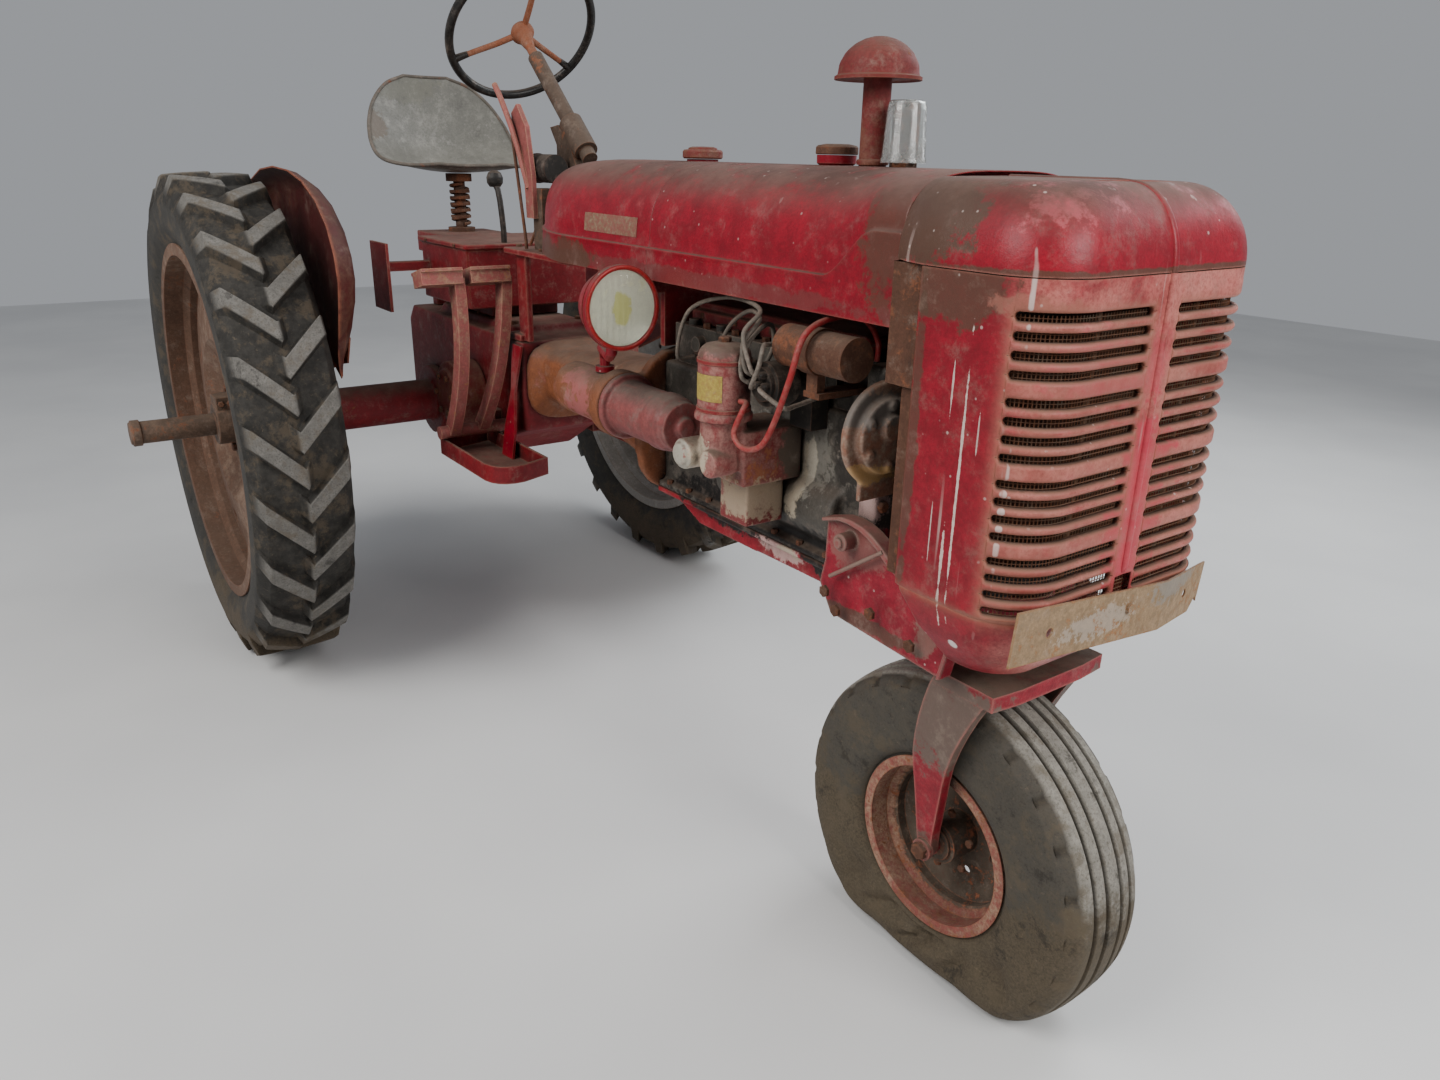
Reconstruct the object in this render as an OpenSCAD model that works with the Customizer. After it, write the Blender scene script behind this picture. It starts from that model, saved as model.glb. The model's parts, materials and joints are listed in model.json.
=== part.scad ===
// Vintage row-crop tractor with one front wheel, as it parks. Millimetres.
// X runs forward, Y to the tractor's left and Z up. Every piece is drawn from the point on
// the floor under the rear axle, and place() moves it so that the origin lies under the
// middle of the whole length.

/* [Layout] */
// Distance from the rear axle to the front axle
wheelbase = 2062; // [2040:1:2080]
// Distance between the middles of the two rear tyres
rear_track = 1418; // [1400:2:1500]
// Clear gap between pieces that sit on each other
seat_gap = 0.3; // [0.2:0.05:0.5]
// Radial clearance of a shaft in its bearing
run_gap = 0.05; // [0.02:0.01:0.1]

/* [Rear wheels] */
// Radius of the rear tyre over its lugs
rear_tyre_r = 660; // [650:1:680]
// Width of the rear tyre
rear_tyre_w = 236; // [225:1:250]
// Radius of the rim where the tyre sits
rear_seat_r = 457; // [450:1:462]
// Height of the rim's edge over its seat
rear_edge_h = 25; // [18:1:30]
// Width of the rear rim between its edges
rear_rim_w = 196; // [190:1:204]
// Number of lugs on each side of the tread
lug_count = 24; // [22:1:28]
// Height of a lug over the tread
lug_h = 26; // [18:1:32]
// Width of a lug
lug_w = 34; // [30:1:42]
// Slope of a lug against the wheel's axis
lug_slope = 45; // [35:1:50]
// Radius of the rear axle shaft
axle_r = 30; // [26:1:34]
// Length of axle shaft beyond the middle of the tyre
axle_reach = 283; // [240:1:320]

/* [Front wheel] */
// Radius of the front tyre where it is round
front_tyre_r = 322; // [312:1:328]
// Height of the front axle over the floor, with the tyre gone soft
front_axle_z = 252; // [245:1:262]
// Width of the front tyre
front_tyre_w = 186; // [176:1:200]
// Radius of the front rim where the tyre sits
front_seat_r = 150; // [140:1:155]
// Height of the front rim's edge over its seat
front_edge_h = 14; // [10:1:18]
// Width of the front rim between its edges
front_rim_w = 136; // [126:1:142]
// Radius of the front axle bolt
front_axle_r = 14; // [11:1:16]

/* [Fork] */
// Clear width between the fork's legs
fork_gap = 228; // [224:1:240]
// Thickness of a leg
fork_leg_t = 20; // [14:1:26]
// Underside of the plate that joins the legs
fork_crown_z = 606; // [600:1:620]
// Thickness of that plate
fork_crown_t = 26; // [20:1:32]
// Radius of the upright steering pivot
pivot_r = 28; // [24:1:34]
// Inner face of a leg at the axle, from the middle
leg_foot_y = 64; // [62:1:66]
// Distance of the pivot in front of the front axle
pivot_lead = 50; // [40:1:60]

/* [Grille shell] */
// How far the grille stands in front of the front axle
grille_lead = 234; // [225:1:245]
// Length of the grille shell's sides
shell_depth = 211; // [200:1:222]
// Half width of the shell
shell_half_w = 241; // [236:1:250]
// Radius of the shell's front corners
shell_corner_r = 92; // [70:1:110]
// Thickness of the shell's sheet
shell_t = 4; // [3:0.5:6]
// Height of the fold under the slots
shell_fold_z = 800; // [790:1:806]
// Lowest edge of the shell
shell_low_z = 700; // [690:1:710]
// Height of the seam between shell and crown
seam_z = 1255; // [1245:1:1262]
// Highest point of the crown
crown_top_z = 1367; // [1355:1:1380]
// Length of the crown
crown_depth = 286; // [270:1:296]
// Height of one slot
slot_h = 12.5; // [10:0.5:14]
// Distance from slot to slot within a group
slot_pitch = 24; // [22:0.5:25]
// Distance from group to group
group_pitch = 107; // [104:0.5:108]
// Middle of the lowest slot
slot_low_z = 815; // [812:1:817]
// End of a slot behind the front face, round the corner
slot_wrap = 53; // [40:1:60]
// Width of the raised rib down the middle
rib_w = 12; // [8:1:16]
// How far the rib stands out of the grille
rib_out = 5; // [3:1:8]

/* [Hood and tank] */
// Length of the hood
hood_len = 669; // [640:1:690]
// Distance of the tank's rear end from the rear axle
tank_rear_x = 752; // [745:1:780]
// Half width of the hood
hood_half_w = 206; // [200:1:212]
// Lower edge of the hood
hood_low_z = 1160; // [1155:1:1166]
// Height of the fold along the hood
crease_z = 1218; // [1210:1:1226]
// Highest line of the hood
hood_top_z = 1372; // [1366:1:1380]
// Length of the tank's rounded rear end
tank_round = 260; // [220:5:300]
// Thickness of the hood's sheet
hood_t = 3; // [2:0.5:5]

/* [Stacks and caps] */
// Distance of the fuel cap behind the seam of tank and hood
fuel_cap_back = 115; // [90:1:140]
// Distance of the short capped neck behind the block's front face
neck_back = 266; // [250:1:280]
// Distance of the air intake stack behind the block's front face
air_stack_back = 176; // [168:1:185]
// Distance of the exhaust stub behind the block's front face
exhaust_back = 105; // [95:1:112]
// Radius of the air stack's pipe
air_pipe_r = 23; // [20:1:26]
// Radius of the exhaust pipe
exhaust_r = 22; // [19:1:24]
// Highest point of the air stack's cap
stack_top_z = 1568; // [1550:1:1600]

/* [Engine] */
// Distance of the block's front face behind the front axle
engine_back = 162; // [150:1:170]
// Length of the engine block
engine_len = 638; // [620:1:650]
// Half width of the block
block_half_w = 115; // [110:1:120]
// Underside of the block
block_low_z = 712; // [705:1:718]
// Joint between block and cylinder head
head_joint_z = 985; // [980:1:990]
// Height of the cylinder head
head_h = 78; // [70:1:84]
// Height of the valve cover
cover_h = 44; // [40:1:50]
// Lowest point of the oil pan
pan_low_z = 656; // [645:1:665]

/* [Drive line] */
// Height of the drive line's middle
line_z = 860; // [850:1:870]
// Front face of the transmission case
case_front_x = 620; // [600:1:640]
// Rear face of the transmission case
case_rear_x = -210; // [-230:1:-190]
// Half width of the transmission case
case_half_w = 140; // [135:1:150]
// Top of the transmission case
case_top_z = 925; // [915:1:935]
// Underside of the transmission case
case_low_z = 560; // [550:1:575]
// Radius of an axle housing
housing_r = 62; // [56:1:68]
// Outer end of an axle housing, from the middle of the tractor
housing_end_y = 505; // [500:1:510]

/* [Driver's place] */
// Place and height of the steering wheel's hub
wheel_hub = [410, 0, 1667];
// Slope of the steering column
column_slope = 41; // [38:1:44]
// Outer radius of the steering wheel
steer_r = 200; // [190:1:228]
// Thickness of the steering wheel's rim
steer_rim_d = 22; // [18:1:26]
// Middle of the seat's lowest part
seat_at = [-80, 0, 1322];
// Half width of the seat
seat_half_w = 232; // [220:1:240]
// Thickness of the seat's sheet
seat_t = 5; // [4:0.5:7]
// Highest point of the fenders
fender_top_z = 1336; // [1325:1:1350]
// Place of a fender's flat face, from the middle of the tractor
fender_y = 515; // [512:1:522]
// Middle of the right lamp
lamp_at = [1380, -286, 1115];
// Radius of a lamp's rim
lamp_r = 79; // [70:1:86]

/* [Front plate] */
// Width of the blank plate on the nose
plate_w = 510; // [480:5:540]
// Height of the plate
plate_h = 78; // [60:1:90]
// Thickness of the plate
plate_t = 3; // [2:0.5:5]
// Bend of the plate's left end, backwards
plate_bend = 12; // [8:0.5:12.5]
// Where the bend begins, from the middle
plate_bend_y = 90; // [90:5:150]
// Gap between the plate and the rib behind it
plate_stand_off = 10; // [8:1:14]
// Slope of the plate, its right end up
plate_tilt = 5.5; // [0:0.5:6]

/* [Hidden] */
$fn = 48;

rear_edge_r = rear_seat_r + rear_edge_h;
front_axle_x = wheelbase;
pivot_x = front_axle_x + pivot_lead;
grille_x = front_axle_x + grille_lead;
shell_rear_x = grille_x - shell_depth;
plate_x = grille_x + rib_out + plate_stand_off;
crown_rear_x = grille_x - crown_depth;
tank_seam_x = crown_rear_x - hood_len;
fuel_cap_x = tank_seam_x - fuel_cap_back;
engine_front_x = front_axle_x - engine_back;
engine_rear_x = engine_front_x - engine_len;
neck_x = engine_front_x - neck_back;
air_stack_x = engine_front_x - air_stack_back;
exhaust_x = engine_front_x - exhaust_back;
mid_x = (front_axle_x + front_tyre_r - rear_tyre_r) / 2;
half_track = rear_track / 2;
column_axis = [cos(column_slope), 0, -sin(column_slope)];

// Colours a piece and moves it from the rear axle to the middle of the length
module place(shade) {
  color(shade) translate([-mid_x, 0, 0]) children();
}

// Draws its children once as they are and once mirrored to the left side
module both_sides() {
  children();
  mirror([0, 1, 0]) children();
}

// Draws its children from the front face of the engine block
module at_engine() {
  translate([engine_front_x, 0, 0]) children();
}

// Draws its children from the front face of the grille
module at_nose() {
  translate([grille_x, 0, 0]) children();
}

// Round bar from point a to point b
module bar(a, b, r) {
  v = b - a;
  translate(a) rotate([0, acos(v[2] / norm(v)), atan2(v[1], v[0])]) cylinder(r = r, h = norm(v));
}

// Path with its corners cut off once
function eased(p) = concat([p[0]], [for (i = [0 : len(p) - 2]) each [
  if (i > 0) p[i] * 0.75 + p[i + 1] * 0.25, if (i < len(p) - 2) p[i] * 0.25 + p[i + 1] * 0.75]], [p[len(p) - 1]]);

function unit(v) = v / norm(v);

// Ring of points round one point of a path, square to the path there
function ring(path, i, r, sides) =
  let (
    along = unit(path[min(i + 1, len(path) - 1)] - path[max(i - 1, 0)]),
    across = unit(cross([0.31, 0.9, 0.17], along)),
    up = cross(along, across))
  [for (k = [0 : sides - 1]) let (a = 360 * k / sides) path[i] + r * (cos(a) * across + sin(a) * up)];

// Bar or pipe along a list of points, with its corners eased
module bent_bar(points, r, sides = 10) {
  path = eased(points);
  skin([for (i = [0 : len(path) - 1]) ring(path, i, r, sides)]);
}

// Cylinder along X from x0 to x1
module barrel_x(x0, x1, y, z, r) {
  translate([x0, y, z]) rotate([0, 90, 0]) cylinder(r = r, h = x1 - x0);
}

// Cylinder along Y from y0 to y1
module barrel_y(y0, y1, x, z, r) {
  translate([x, y1, z]) rotate([90, 0, 0]) cylinder(r = r, h = y1 - y0);
}

// Block between two opposite corners
module block(low, high) {
  translate(low) cube(high - low);
}

// Outline in X and Z, given thickness from y0 to y1
module side_plate(y0, y1) {
  translate([0, y1, 0]) rotate([90, 0, 0]) linear_extrude(y1 - y0) children();
}

// Closed skin over a list of loops that all have the same number of points
module skin(loops) {
  n = len(loops[0]);
  last = len(loops) - 1;
  polyhedron(
    points = [for (loop = loops) each loop],
    faces = concat(
      [[for (i = [0 : n - 1]) i]],
      [for (k = [0 : last - 1], i = [0 : n - 1])
        each [[k * n + i, (k + 1) * n + i, (k + 1) * n + (i + 1) % n],
              [k * n + i, (k + 1) * n + (i + 1) % n, k * n + (i + 1) % n]]],
      [[for (i = [n - 1 : -1 : 0]) last * n + i]]));
}

// Sheet between two grids of points, its outer and its inner face, closed round the edges
module sheet(outer, inner) {
  rows = len(outer);
  n = len(outer[0]);
  far = rows * n;
  end = (rows - 1) * n;
  polyhedron(
    points = concat([for (row = outer) each row], [for (row = inner) each row]),
    faces = concat(
      [for (k = [0 : rows - 2], i = [0 : n - 2])
        let (a = k * n + i, b = a + n)
        each [[a, b, b + 1], [a, b + 1, a + 1], [far + a, far + b + 1, far + b], [far + a, far + a + 1, far + b + 1]]],
      [for (k = [0 : rows - 2])
        let (a = k * n, b = a + n, c = a + n - 1, d = c + n)
        each [[b, a, far + a], [b, far + a, far + b], [c, d, far + d], [c, far + d, far + c]]],
      [for (i = [0 : n - 2])
        let (a = i, b = end + i)
        each [[a, a + 1, far + a + 1], [a, far + a + 1, far + a], [b + 1, b, far + b], [b + 1, far + b, far + b + 1]]]));
}

// Point of a curve with one control point
function bend(a, c, b, t) = (1 - t) * (1 - t) * a + 2 * t * (1 - t) * c + t * t * b;
function bend_line(a, c, b, steps) = [for (i = [0 : steps]) bend(a, c, b, i / steps)];

// Arc of a circle in a plane, from angle a0 to a1
function arc(centre, r, a0, a1, steps) =
  [for (i = [0 : steps]) let (a = a0 + (a1 - a0) * i / steps) centre + r * [cos(a), sin(a)]];

/* Rear wheels, drawn with the axle at the origin along Y and the outer side towards -Y */

// A tyre is one skin of rows round the wheel. A fine row has four points for each lug, on the
// two edges of its foot and the two of its top, and a coarse row has two.
lug_turn = 360 / lug_count;
top_turn = lug_w / 2 / cos(lug_slope) / rear_tyre_r * 180 / PI;
foot_turn = top_turn + 6 / cos(lug_slope) / rear_tyre_r * 180 / PI;
rear_axle_z = rear_tyre_r * cos(top_turn);
right_turns = [-foot_turn, -top_turn, top_turn, foot_turn];
left_turns = [top_turn - lug_turn / 2, foot_turn - lug_turn / 2, lug_turn / 2 - foot_turn, lug_turn / 2 - top_turn];
right_on_top = [0, 1, 1, 0];
left_on_top = [1, 0, 0, 1];
// Width over which lugs of the two sides pass each other
lug_overlap = 22;

function on_wheel(r, y, turn) = [r * sin(turn), y, r * cos(turn)];
function trail(across) = -across / tan(lug_slope) / rear_tyre_r * 180 / PI;

// Fine row on one side: distance from the middle on the ground and on a lug, and radii there
function fine_row(side, ground_y, ground_r, top_y, top_r) =
  let (turns = side < 0 ? right_turns : left_turns, on_top = side < 0 ? right_on_top : left_on_top)
  [for (i = [0 : lug_count - 1], j = [0 : 3])
    let (y = on_top[j] ? top_y : ground_y)
    on_wheel(on_top[j] ? top_r : ground_r, side * y, i * lug_turn + turns[j] + trail(y))];

function middle_row(r) = [for (i = [0 : lug_count - 1], j = [0 : 3])
  on_wheel(r, right_on_top[j] ? lug_overlap : -lug_overlap, i * lug_turn + (right_turns[j] + left_turns[j]) / 2)];

function coarse_row(y, r) = [for (i = [0 : 2 * lug_count - 1])
  on_wheel(r, y, (i - 0.5) * lug_turn / 2 + trail(rear_tyre_w / 2))];

// Rows from the rim to the last one before the middle
function side_rows(side) =
  let (
    half = rear_tyre_w / 2,
    seat = rear_rim_w / 2 - seat_gap,
    round_up = 1 / cos(90 / lug_count),
    ground = rear_tyre_r - lug_h)
  [coarse_row(side * seat, (rear_seat_r + seat_gap) * round_up),
   coarse_row(side * seat, (rear_edge_r + seat_gap) * round_up),
   coarse_row(side * (half - 1), rear_edge_r + 50),
   coarse_row(side * half, ground - 46),
   fine_row(side, half - 8, ground - 30, half - 5, rear_tyre_r - 46),
   fine_row(side, half - 24, ground - 8, half - 20, rear_tyre_r - 6),
   fine_row(side, lug_overlap + 5, ground, 0, rear_tyre_r)];

// Faces between a row of n points from number a and one of m points from number b
function row_faces(a, n, b, m) =
  n == m ? [for (i = [0 : n - 1]) let (j = (i + 1) % n) each [[a + i, b + i, b + j], [a + i, b + j, a + j]]] :
  n > m ? [for (i = [0 : m - 1]) let (j = (i + 1) % m)
    each [[a + 2 * i, b + i, a + 2 * i + 1], [a + 2 * i + 1, b + i, b + j], [a + 2 * i + 1, b + j, a + (2 * i + 2) % n]]] :
  [for (i = [0 : n - 1]) let (j = (i + 1) % n)
    each [[a + i, b + 2 * i, b + 2 * i + 1], [a + i, b + 2 * i + 1, a + j], [a + j, b + 2 * i + 1, b + (2 * i + 2) % m]]];

module rear_tyre() {
  rows = concat(side_rows(-1), [middle_row(rear_tyre_r - lug_h)], reversed(side_rows(1)));
  sizes = [for (row = rows) len(row)];
  starts = [for (k = 0, at = 0; k < len(rows); at = at + sizes[k], k = k + 1) at];
  polyhedron(points = [for (row = rows) each row], faces = [for (k = [0 : len(rows) - 1])
    let (next = (k + 1) % len(rows))
    each row_faces(starts[k], sizes[k], starts[next], sizes[next])]);
}

// Rim: a seat with an edge each side and a deeper well between
module rear_rim_ring() {
  half = rear_rim_w / 2;
  t = 6;
  well = 18;
  rotate([90, 0, 0]) rotate_extrude() polygon([
    [rear_seat_r, -half], [rear_edge_r, -half], [rear_edge_r, -half - t],
    [rear_seat_r - t, -half - t], [rear_seat_r - t, -half * 0.55], [rear_seat_r - t - well, -half * 0.4],
    [rear_seat_r - t - well, half * 0.4], [rear_seat_r - t, half * 0.55], [rear_seat_r - t, half + t],
    [rear_edge_r, half + t], [rear_edge_r, half], [rear_seat_r, half], [rear_seat_r, half * 0.6],
    [rear_seat_r - well, half * 0.4], [rear_seat_r - well, -half * 0.4], [rear_seat_r, -half * 0.6]]);
}

disc_bolt_r = 95;
disc_hole_r = 45;
// Dished disc welded inside the rim, with a hole for the hub and its ring of bolts
module rear_disc() {
  t = 8;
  well_r = rear_seat_r - 24;
  dish = 46;
  rotate([90, 0, 0]) rotate_extrude() polygon([
    [disc_hole_r, -t / 2], [150, -t / 2], [230, -t / 2 + dish], [390, -t / 2 + dish * 0.55],
    [well_r + 1, -t / 2 + 14], [well_r + 1, t / 2 + 14], [390, t / 2 + dish * 0.55],
    [230, t / 2 + dish], [150, t / 2], [disc_hole_r, t / 2]]);
}

module rear_rim() {
  difference() {
    union() {
      rear_rim_ring();
      rear_disc();
    }
    for (a = [0 : 60 : 300]) rotate([0, a, 0]) translate([disc_bolt_r, 0, 0])
      rotate([90, 0, 0]) cylinder(r = 8, h = 60, center = true);
    for (a = [22.5 : 45 : 360]) rotate([0, a, 0]) translate([340, 0, 0])
      rotate([90, 0, 0]) cylinder(r = 22, h = 160, center = true);
  }
}

// Axle shaft with the hub casting that clamps on it
module rear_axle() {
  inner = half_track - housing_end_y + 84;
  barrel_y(-axle_reach, inner, 0, 0, axle_r);
  barrel_y(-axle_reach + 4, -axle_reach + 26, 0, 0, axle_r + 5);
  barrel_y(-74, -4 - seat_gap, 0, 0, disc_hole_r + 12);
  barrel_y(-20, -4 - seat_gap, 0, 0, disc_bolt_r + 24);
  barrel_y(-6, 14, 0, 0, disc_hole_r - seat_gap);
  block([-38, -70, disc_hole_r - 6], [38, -24, disc_hole_r + 34]);
}

module at_rear_axle(side) {
  translate([0, side * half_track, rear_axle_z]) mirror([0, side > 0 ? 1 : 0, 0]) children();
}

/* Front wheel and its fork */

front_hub_r = 40;
// Section of the soft tyre, as radius and half width
front_tyre_section = [
  [front_seat_r + seat_gap, 0.5 * front_rim_w - seat_gap],
  [front_seat_r + front_edge_h + 2, 0.5 * front_rim_w - seat_gap],
  [front_seat_r + 60, 0.48 * front_tyre_w], [front_tyre_r - 74, 0.5 * front_tyre_w],
  [front_tyre_r - 28, 0.45 * front_tyre_w], [front_tyre_r - 7, 0.33 * front_tyre_w],
  [front_tyre_r, 0.13 * front_tyre_w]];

// Point of the tyre at a turn. Where the floor is nearer than the tread, the part outside the bead
// is pressed together towards the rim.
front_bead_r = front_seat_r + front_edge_h + 3;
function soft_point(r, y, turn) =
  let (
    reach = cos(turn) > 0.1 ? front_axle_z / cos(turn) : front_tyre_r,
    share = min(1, (reach - front_bead_r) / (front_tyre_r - front_bead_r)),
    pressed = r > front_bead_r ? front_bead_r + (r - front_bead_r) * share : r)
  [pressed * sin(turn), y, -pressed * cos(turn)];

module front_tyre_ring() {
  turns = 36;
  side = [for (p = front_tyre_section) [p[0] < front_bead_r ? p[0] / cos(180 / turns) : p[0], -p[1]]];
  section = concat(side, [for (i = [len(side) - 1 : -1 : 0]) [side[i][0], -side[i][1]]]);
  n = len(section);
  polyhedron(
    points = [for (k = [0 : turns - 1], p = section) soft_point(p[0], p[1], k * 360 / turns)],
    faces = [for (k = [0 : turns - 1], i = [0 : n - 1])
      let (m = (k + 1) % turns)
      each [[k * n + i, m * n + (i + 1) % n, k * n + (i + 1) % n],
            [k * n + i, m * n + i, m * n + (i + 1) % n]]]);
}

module front_rim_ring() {
  half = front_rim_w / 2;
  t = 5;
  well = 16;
  edge_r = front_seat_r + front_edge_h;
  rotate([90, 0, 0]) rotate_extrude() polygon([
    [front_seat_r, -half], [edge_r, -half], [edge_r, -half - t], [front_seat_r - t, -half - t],
    [front_seat_r - t, -half * 0.5], [front_seat_r - t - well, -half * 0.3],
    [front_seat_r - t - well, half * 0.3], [front_seat_r - t, half * 0.5], [front_seat_r - t, half + t],
    [edge_r, half + t], [edge_r, half], [front_seat_r, half], [front_seat_r, half * 0.55],
    [front_seat_r - well, half * 0.35], [front_seat_r - well, -half * 0.35], [front_seat_r, -half * 0.55]]);
}

module front_rim_disc() {
  well_r = front_seat_r - 20;
  rotate([90, 0, 0]) rotate_extrude() polygon([
    [front_hub_r - 6, -14], [95, -20], [well_r, -3], [well_r, 3], [95, -14], [front_hub_r - 6, -8]]);
}

module front_wheel_rim() {
  hub_half = leg_foot_y - 6;
  difference() {
    union() {
      front_rim_ring();
      front_rim_disc();
      barrel_y(-hub_half, hub_half, 0, 0, front_hub_r - 8);
      barrel_y(-52, 52, 0, 0, front_hub_r);
    }
    barrel_y(-hub_half - 1, hub_half + 1, 0, 0, front_axle_r + run_gap);
    for (a = [0 : 60 : 300]) rotate([0, a + 15, 0]) barrel_y(-40, 40, 78, 0, 8);
  }
}

// Inner face of a leg at a height: outside the tyre, then in towards the hub within the rim
function leg_y(z) = lookup(z, [
  [front_axle_z - 12, leg_foot_y], [front_axle_z + front_seat_r - 50, leg_foot_y + 11],
  [front_axle_z + front_bead_r, front_rim_w / 2 + 22], [front_axle_z + front_bead_r + 46, front_tyre_w / 2 + 8],
  [fork_crown_z, fork_gap / 2]]);

// Leg of the fork: a blade bowed backwards, with X from the front axle
module fork_leg() {
  rear_edge = bend_line([28, crown_plate_top], [-46, 470], [-14, front_axle_z - 12], 10);
  front_edge = bend_line([142, crown_plate_top], [34, 470], [12, front_axle_z - 12], 10);
  rows = [for (i = [0 : 10]) [rear_edge[i], front_edge[i]]];
  translate([front_axle_x, 0, 0])
    sheet([for (row = rows) [for (p = row) [p[0], -leg_y(p[1]), p[1]]]],
      [for (row = rows) [for (p = row) [p[0], -leg_y(p[1]) - fork_leg_t, p[1]]]]);
}

// Plate that joins the legs, with a nose for the steering stop
module fork_crown() {
  y = fork_gap / 2 + fork_leg_t;
  translate([front_axle_x, 0, fork_crown_z]) linear_extrude(fork_crown_t) polygon([
    [24, -y], [142, -y], [148, -y + 60], [148, y - 60], [142, y], [24, y], [4, y - 60], [4, -y + 60]]);
}

/* Grille shell, crown and what stands behind them */

// Path round the nose in plan, from the right rear edge to the left one, drawn in by inset
function nose_path(inset, rear_x) =
  let (
    front = grille_x - inset,
    half = shell_half_w - inset,
    r = max(shell_corner_r - inset * 0.5, 20),
    right = concat([[rear_x, -half]], arc([front - r, -half + r], r, -90, 0, 8)))
  concat(right, [for (i = [len(right) - 1 : -1 : 0]) [right[i][0], -right[i][1]]]);

function reversed(list) = [for (i = [len(list) - 1 : -1 : 0]) list[i]];
function raise(path, z) = [for (p = path) [p[0], p[1], z]];
function nose_band(inset, rear_x) =
  concat(nose_path(inset, rear_x), reversed(nose_path(inset + shell_t, rear_x)));

// Levels of the panel under the slots: height, inset, rear edge's step to the front
shell_levels = [[shell_low_z, 42, 80], [shell_low_z + 48, 14, 40], [shell_fold_z, 0, 6]];
slot_rows = [for (group = [0 : 3], row = [0 : 3]) slot_low_z + group * group_pitch + row * slot_pitch];

// Cutter for one slot that wraps round the corner, open from the rib to the side
module slot_cutter(z) {
  inner_y = 34;
  end_x = grille_x - slot_wrap;
  outer_y = shell_half_w + 5;
  for (side = [-1, 1]) {
    y0 = side > 0 ? inner_y : -outer_y;
    block([end_x, y0, z - slot_h / 2], [grille_x + 10, y0 + outer_y - inner_y, z + slot_h / 2]);
    barrel_x(end_x + 20, grille_x + 10, side * inner_y, z, slot_h / 2);
    barrel_y(side > 0 ? outer_y - 40 : -outer_y, side > 0 ? outer_y : 40 - outer_y, end_x, z, slot_h / 2);
  }
}

// Plan of the nose with true round corners, open to the rear
module nose_plan(inset, rear_x) {
  front = grille_x - inset;
  half = shell_half_w - inset;
  r = shell_corner_r - inset;
  translate([rear_x, -half]) square([front - r - rear_x, 2 * half]);
  translate([front - r - 1, -half + r]) square([r + 1, 2 * (half - r)]);
  for (side = [-1, 1]) translate([front - r, side * (half - r)]) circle(r = r);
}

crank_hole = [26, 804, 836];
module grille_shell() {
  place("firebrick") {
    difference() {
      translate([0, 0, shell_fold_z]) linear_extrude(seam_z - shell_fold_z) difference() {
        nose_plan(0, shell_rear_x);
        nose_plan(shell_t, shell_rear_x - 10);
      }
      for (z = slot_rows) slot_cutter(z);
      block([grille_x - 30, -crank_hole[0], crank_hole[1]], [grille_x + 10, crank_hole[0], crank_hole[2]]);
    }
    sheet([for (level = shell_levels) raise(nose_path(level[1], shell_rear_x + level[2]), level[0])],
      [for (level = shell_levels) raise(nose_path(level[1] + shell_t, shell_rear_x + level[2]), level[0])]);
    block([grille_x - 1, -rib_w / 2, crank_hole[2]], [grille_x + rib_out, rib_w / 2, seam_z]);
  }
}

// Plan of the crown, drawn in towards the hood at its rear
function crown_path(inset) =
  let (
    front = grille_x - inset,
    half = shell_half_w - inset,
    r = max(shell_corner_r - inset * 0.4, 30),
    right = concat(
      [[crown_rear_x, -half + 30], [crown_rear_x + 40, -half + 12], [crown_rear_x + 100, -half]],
      arc([front - r, -half + r], r, -90, 0, 8)))
  concat(right, [for (i = [len(right) - 1 : -1 : 0]) [right[i][0], -right[i][1]]]);

// Height of the crown over its seam and its inset, by a turn from 0 at the seam to 90 on top
function crown_level(turn) = [sin(turn), 82 * (1 - cos(turn))];
crown_turns = [0, 12, 26, 40, 54, 68, 82];
crown_h = crown_top_z - seam_z;

module grille_crown() {
  z0 = seam_z + seat_gap;
  place("firebrick") {
    skin([for (turn = crown_turns)
      let (level = crown_level(turn))
      raise(crown_path(level[1]), z0 + (crown_h - 4) * level[0])]);
    skin([for (turn = concat(crown_turns, [88]))
      let (level = crown_level(turn), x = grille_x - level[1], z = z0 + (crown_h - 4) * level[0], dip = turn == 0 ? 0 : 2)
      [[x - 24, -rib_w / 2, z - dip], [x - 24, rib_w / 2, z - dip],
       [x + rib_out * cos(turn), rib_w / 2, z + rib_out * sin(turn)],
       [x + rib_out * cos(turn), -rib_w / 2, z + rib_out * sin(turn)]]]);
    block([crown_rear_x + 30, -rib_w / 2, crown_top_z - 8], [grille_x - 100, rib_w / 2, crown_top_z]);
  }
}

// Behind the grille: the radiator's rear face and its underside, and the fan
radiator_back = 184;
radiator_low_z = 785;
radiator_half_w = shell_half_w - 32;
fan_z = 1020;
fan_r = 185;

module radiator() {
  x = -radiator_back;
  place("dimgray") at_nose() {
    block([x, -radiator_half_w, 830], [x + 60, radiator_half_w, 1200]);
    block([x - 8, -radiator_half_w - 4, 1200], [x + 74, radiator_half_w + 4, seam_z]);
    block([x - 8, -radiator_half_w - 4, radiator_low_z], [x + 74, radiator_half_w + 4, 830]);
  }
}

module fan() {
  hub = 42;
  place("darkslategray") at_engine() {
    barrel_x(hub, 106, 0, fan_z, 24);
    barrel_x(hub + 18, hub + 42, 0, fan_z, 55);
    barrel_x(100, 110, 0, fan_z, 48);
    for (a = [45 : 90 : 315]) translate([106, 0, fan_z]) rotate([a, 0, 0])
      translate([0, 0, 30]) rotate([0, 0, 24]) translate([-3, -48, 0]) cube([6, 96, fan_r - 36]);
  }
}

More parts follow.
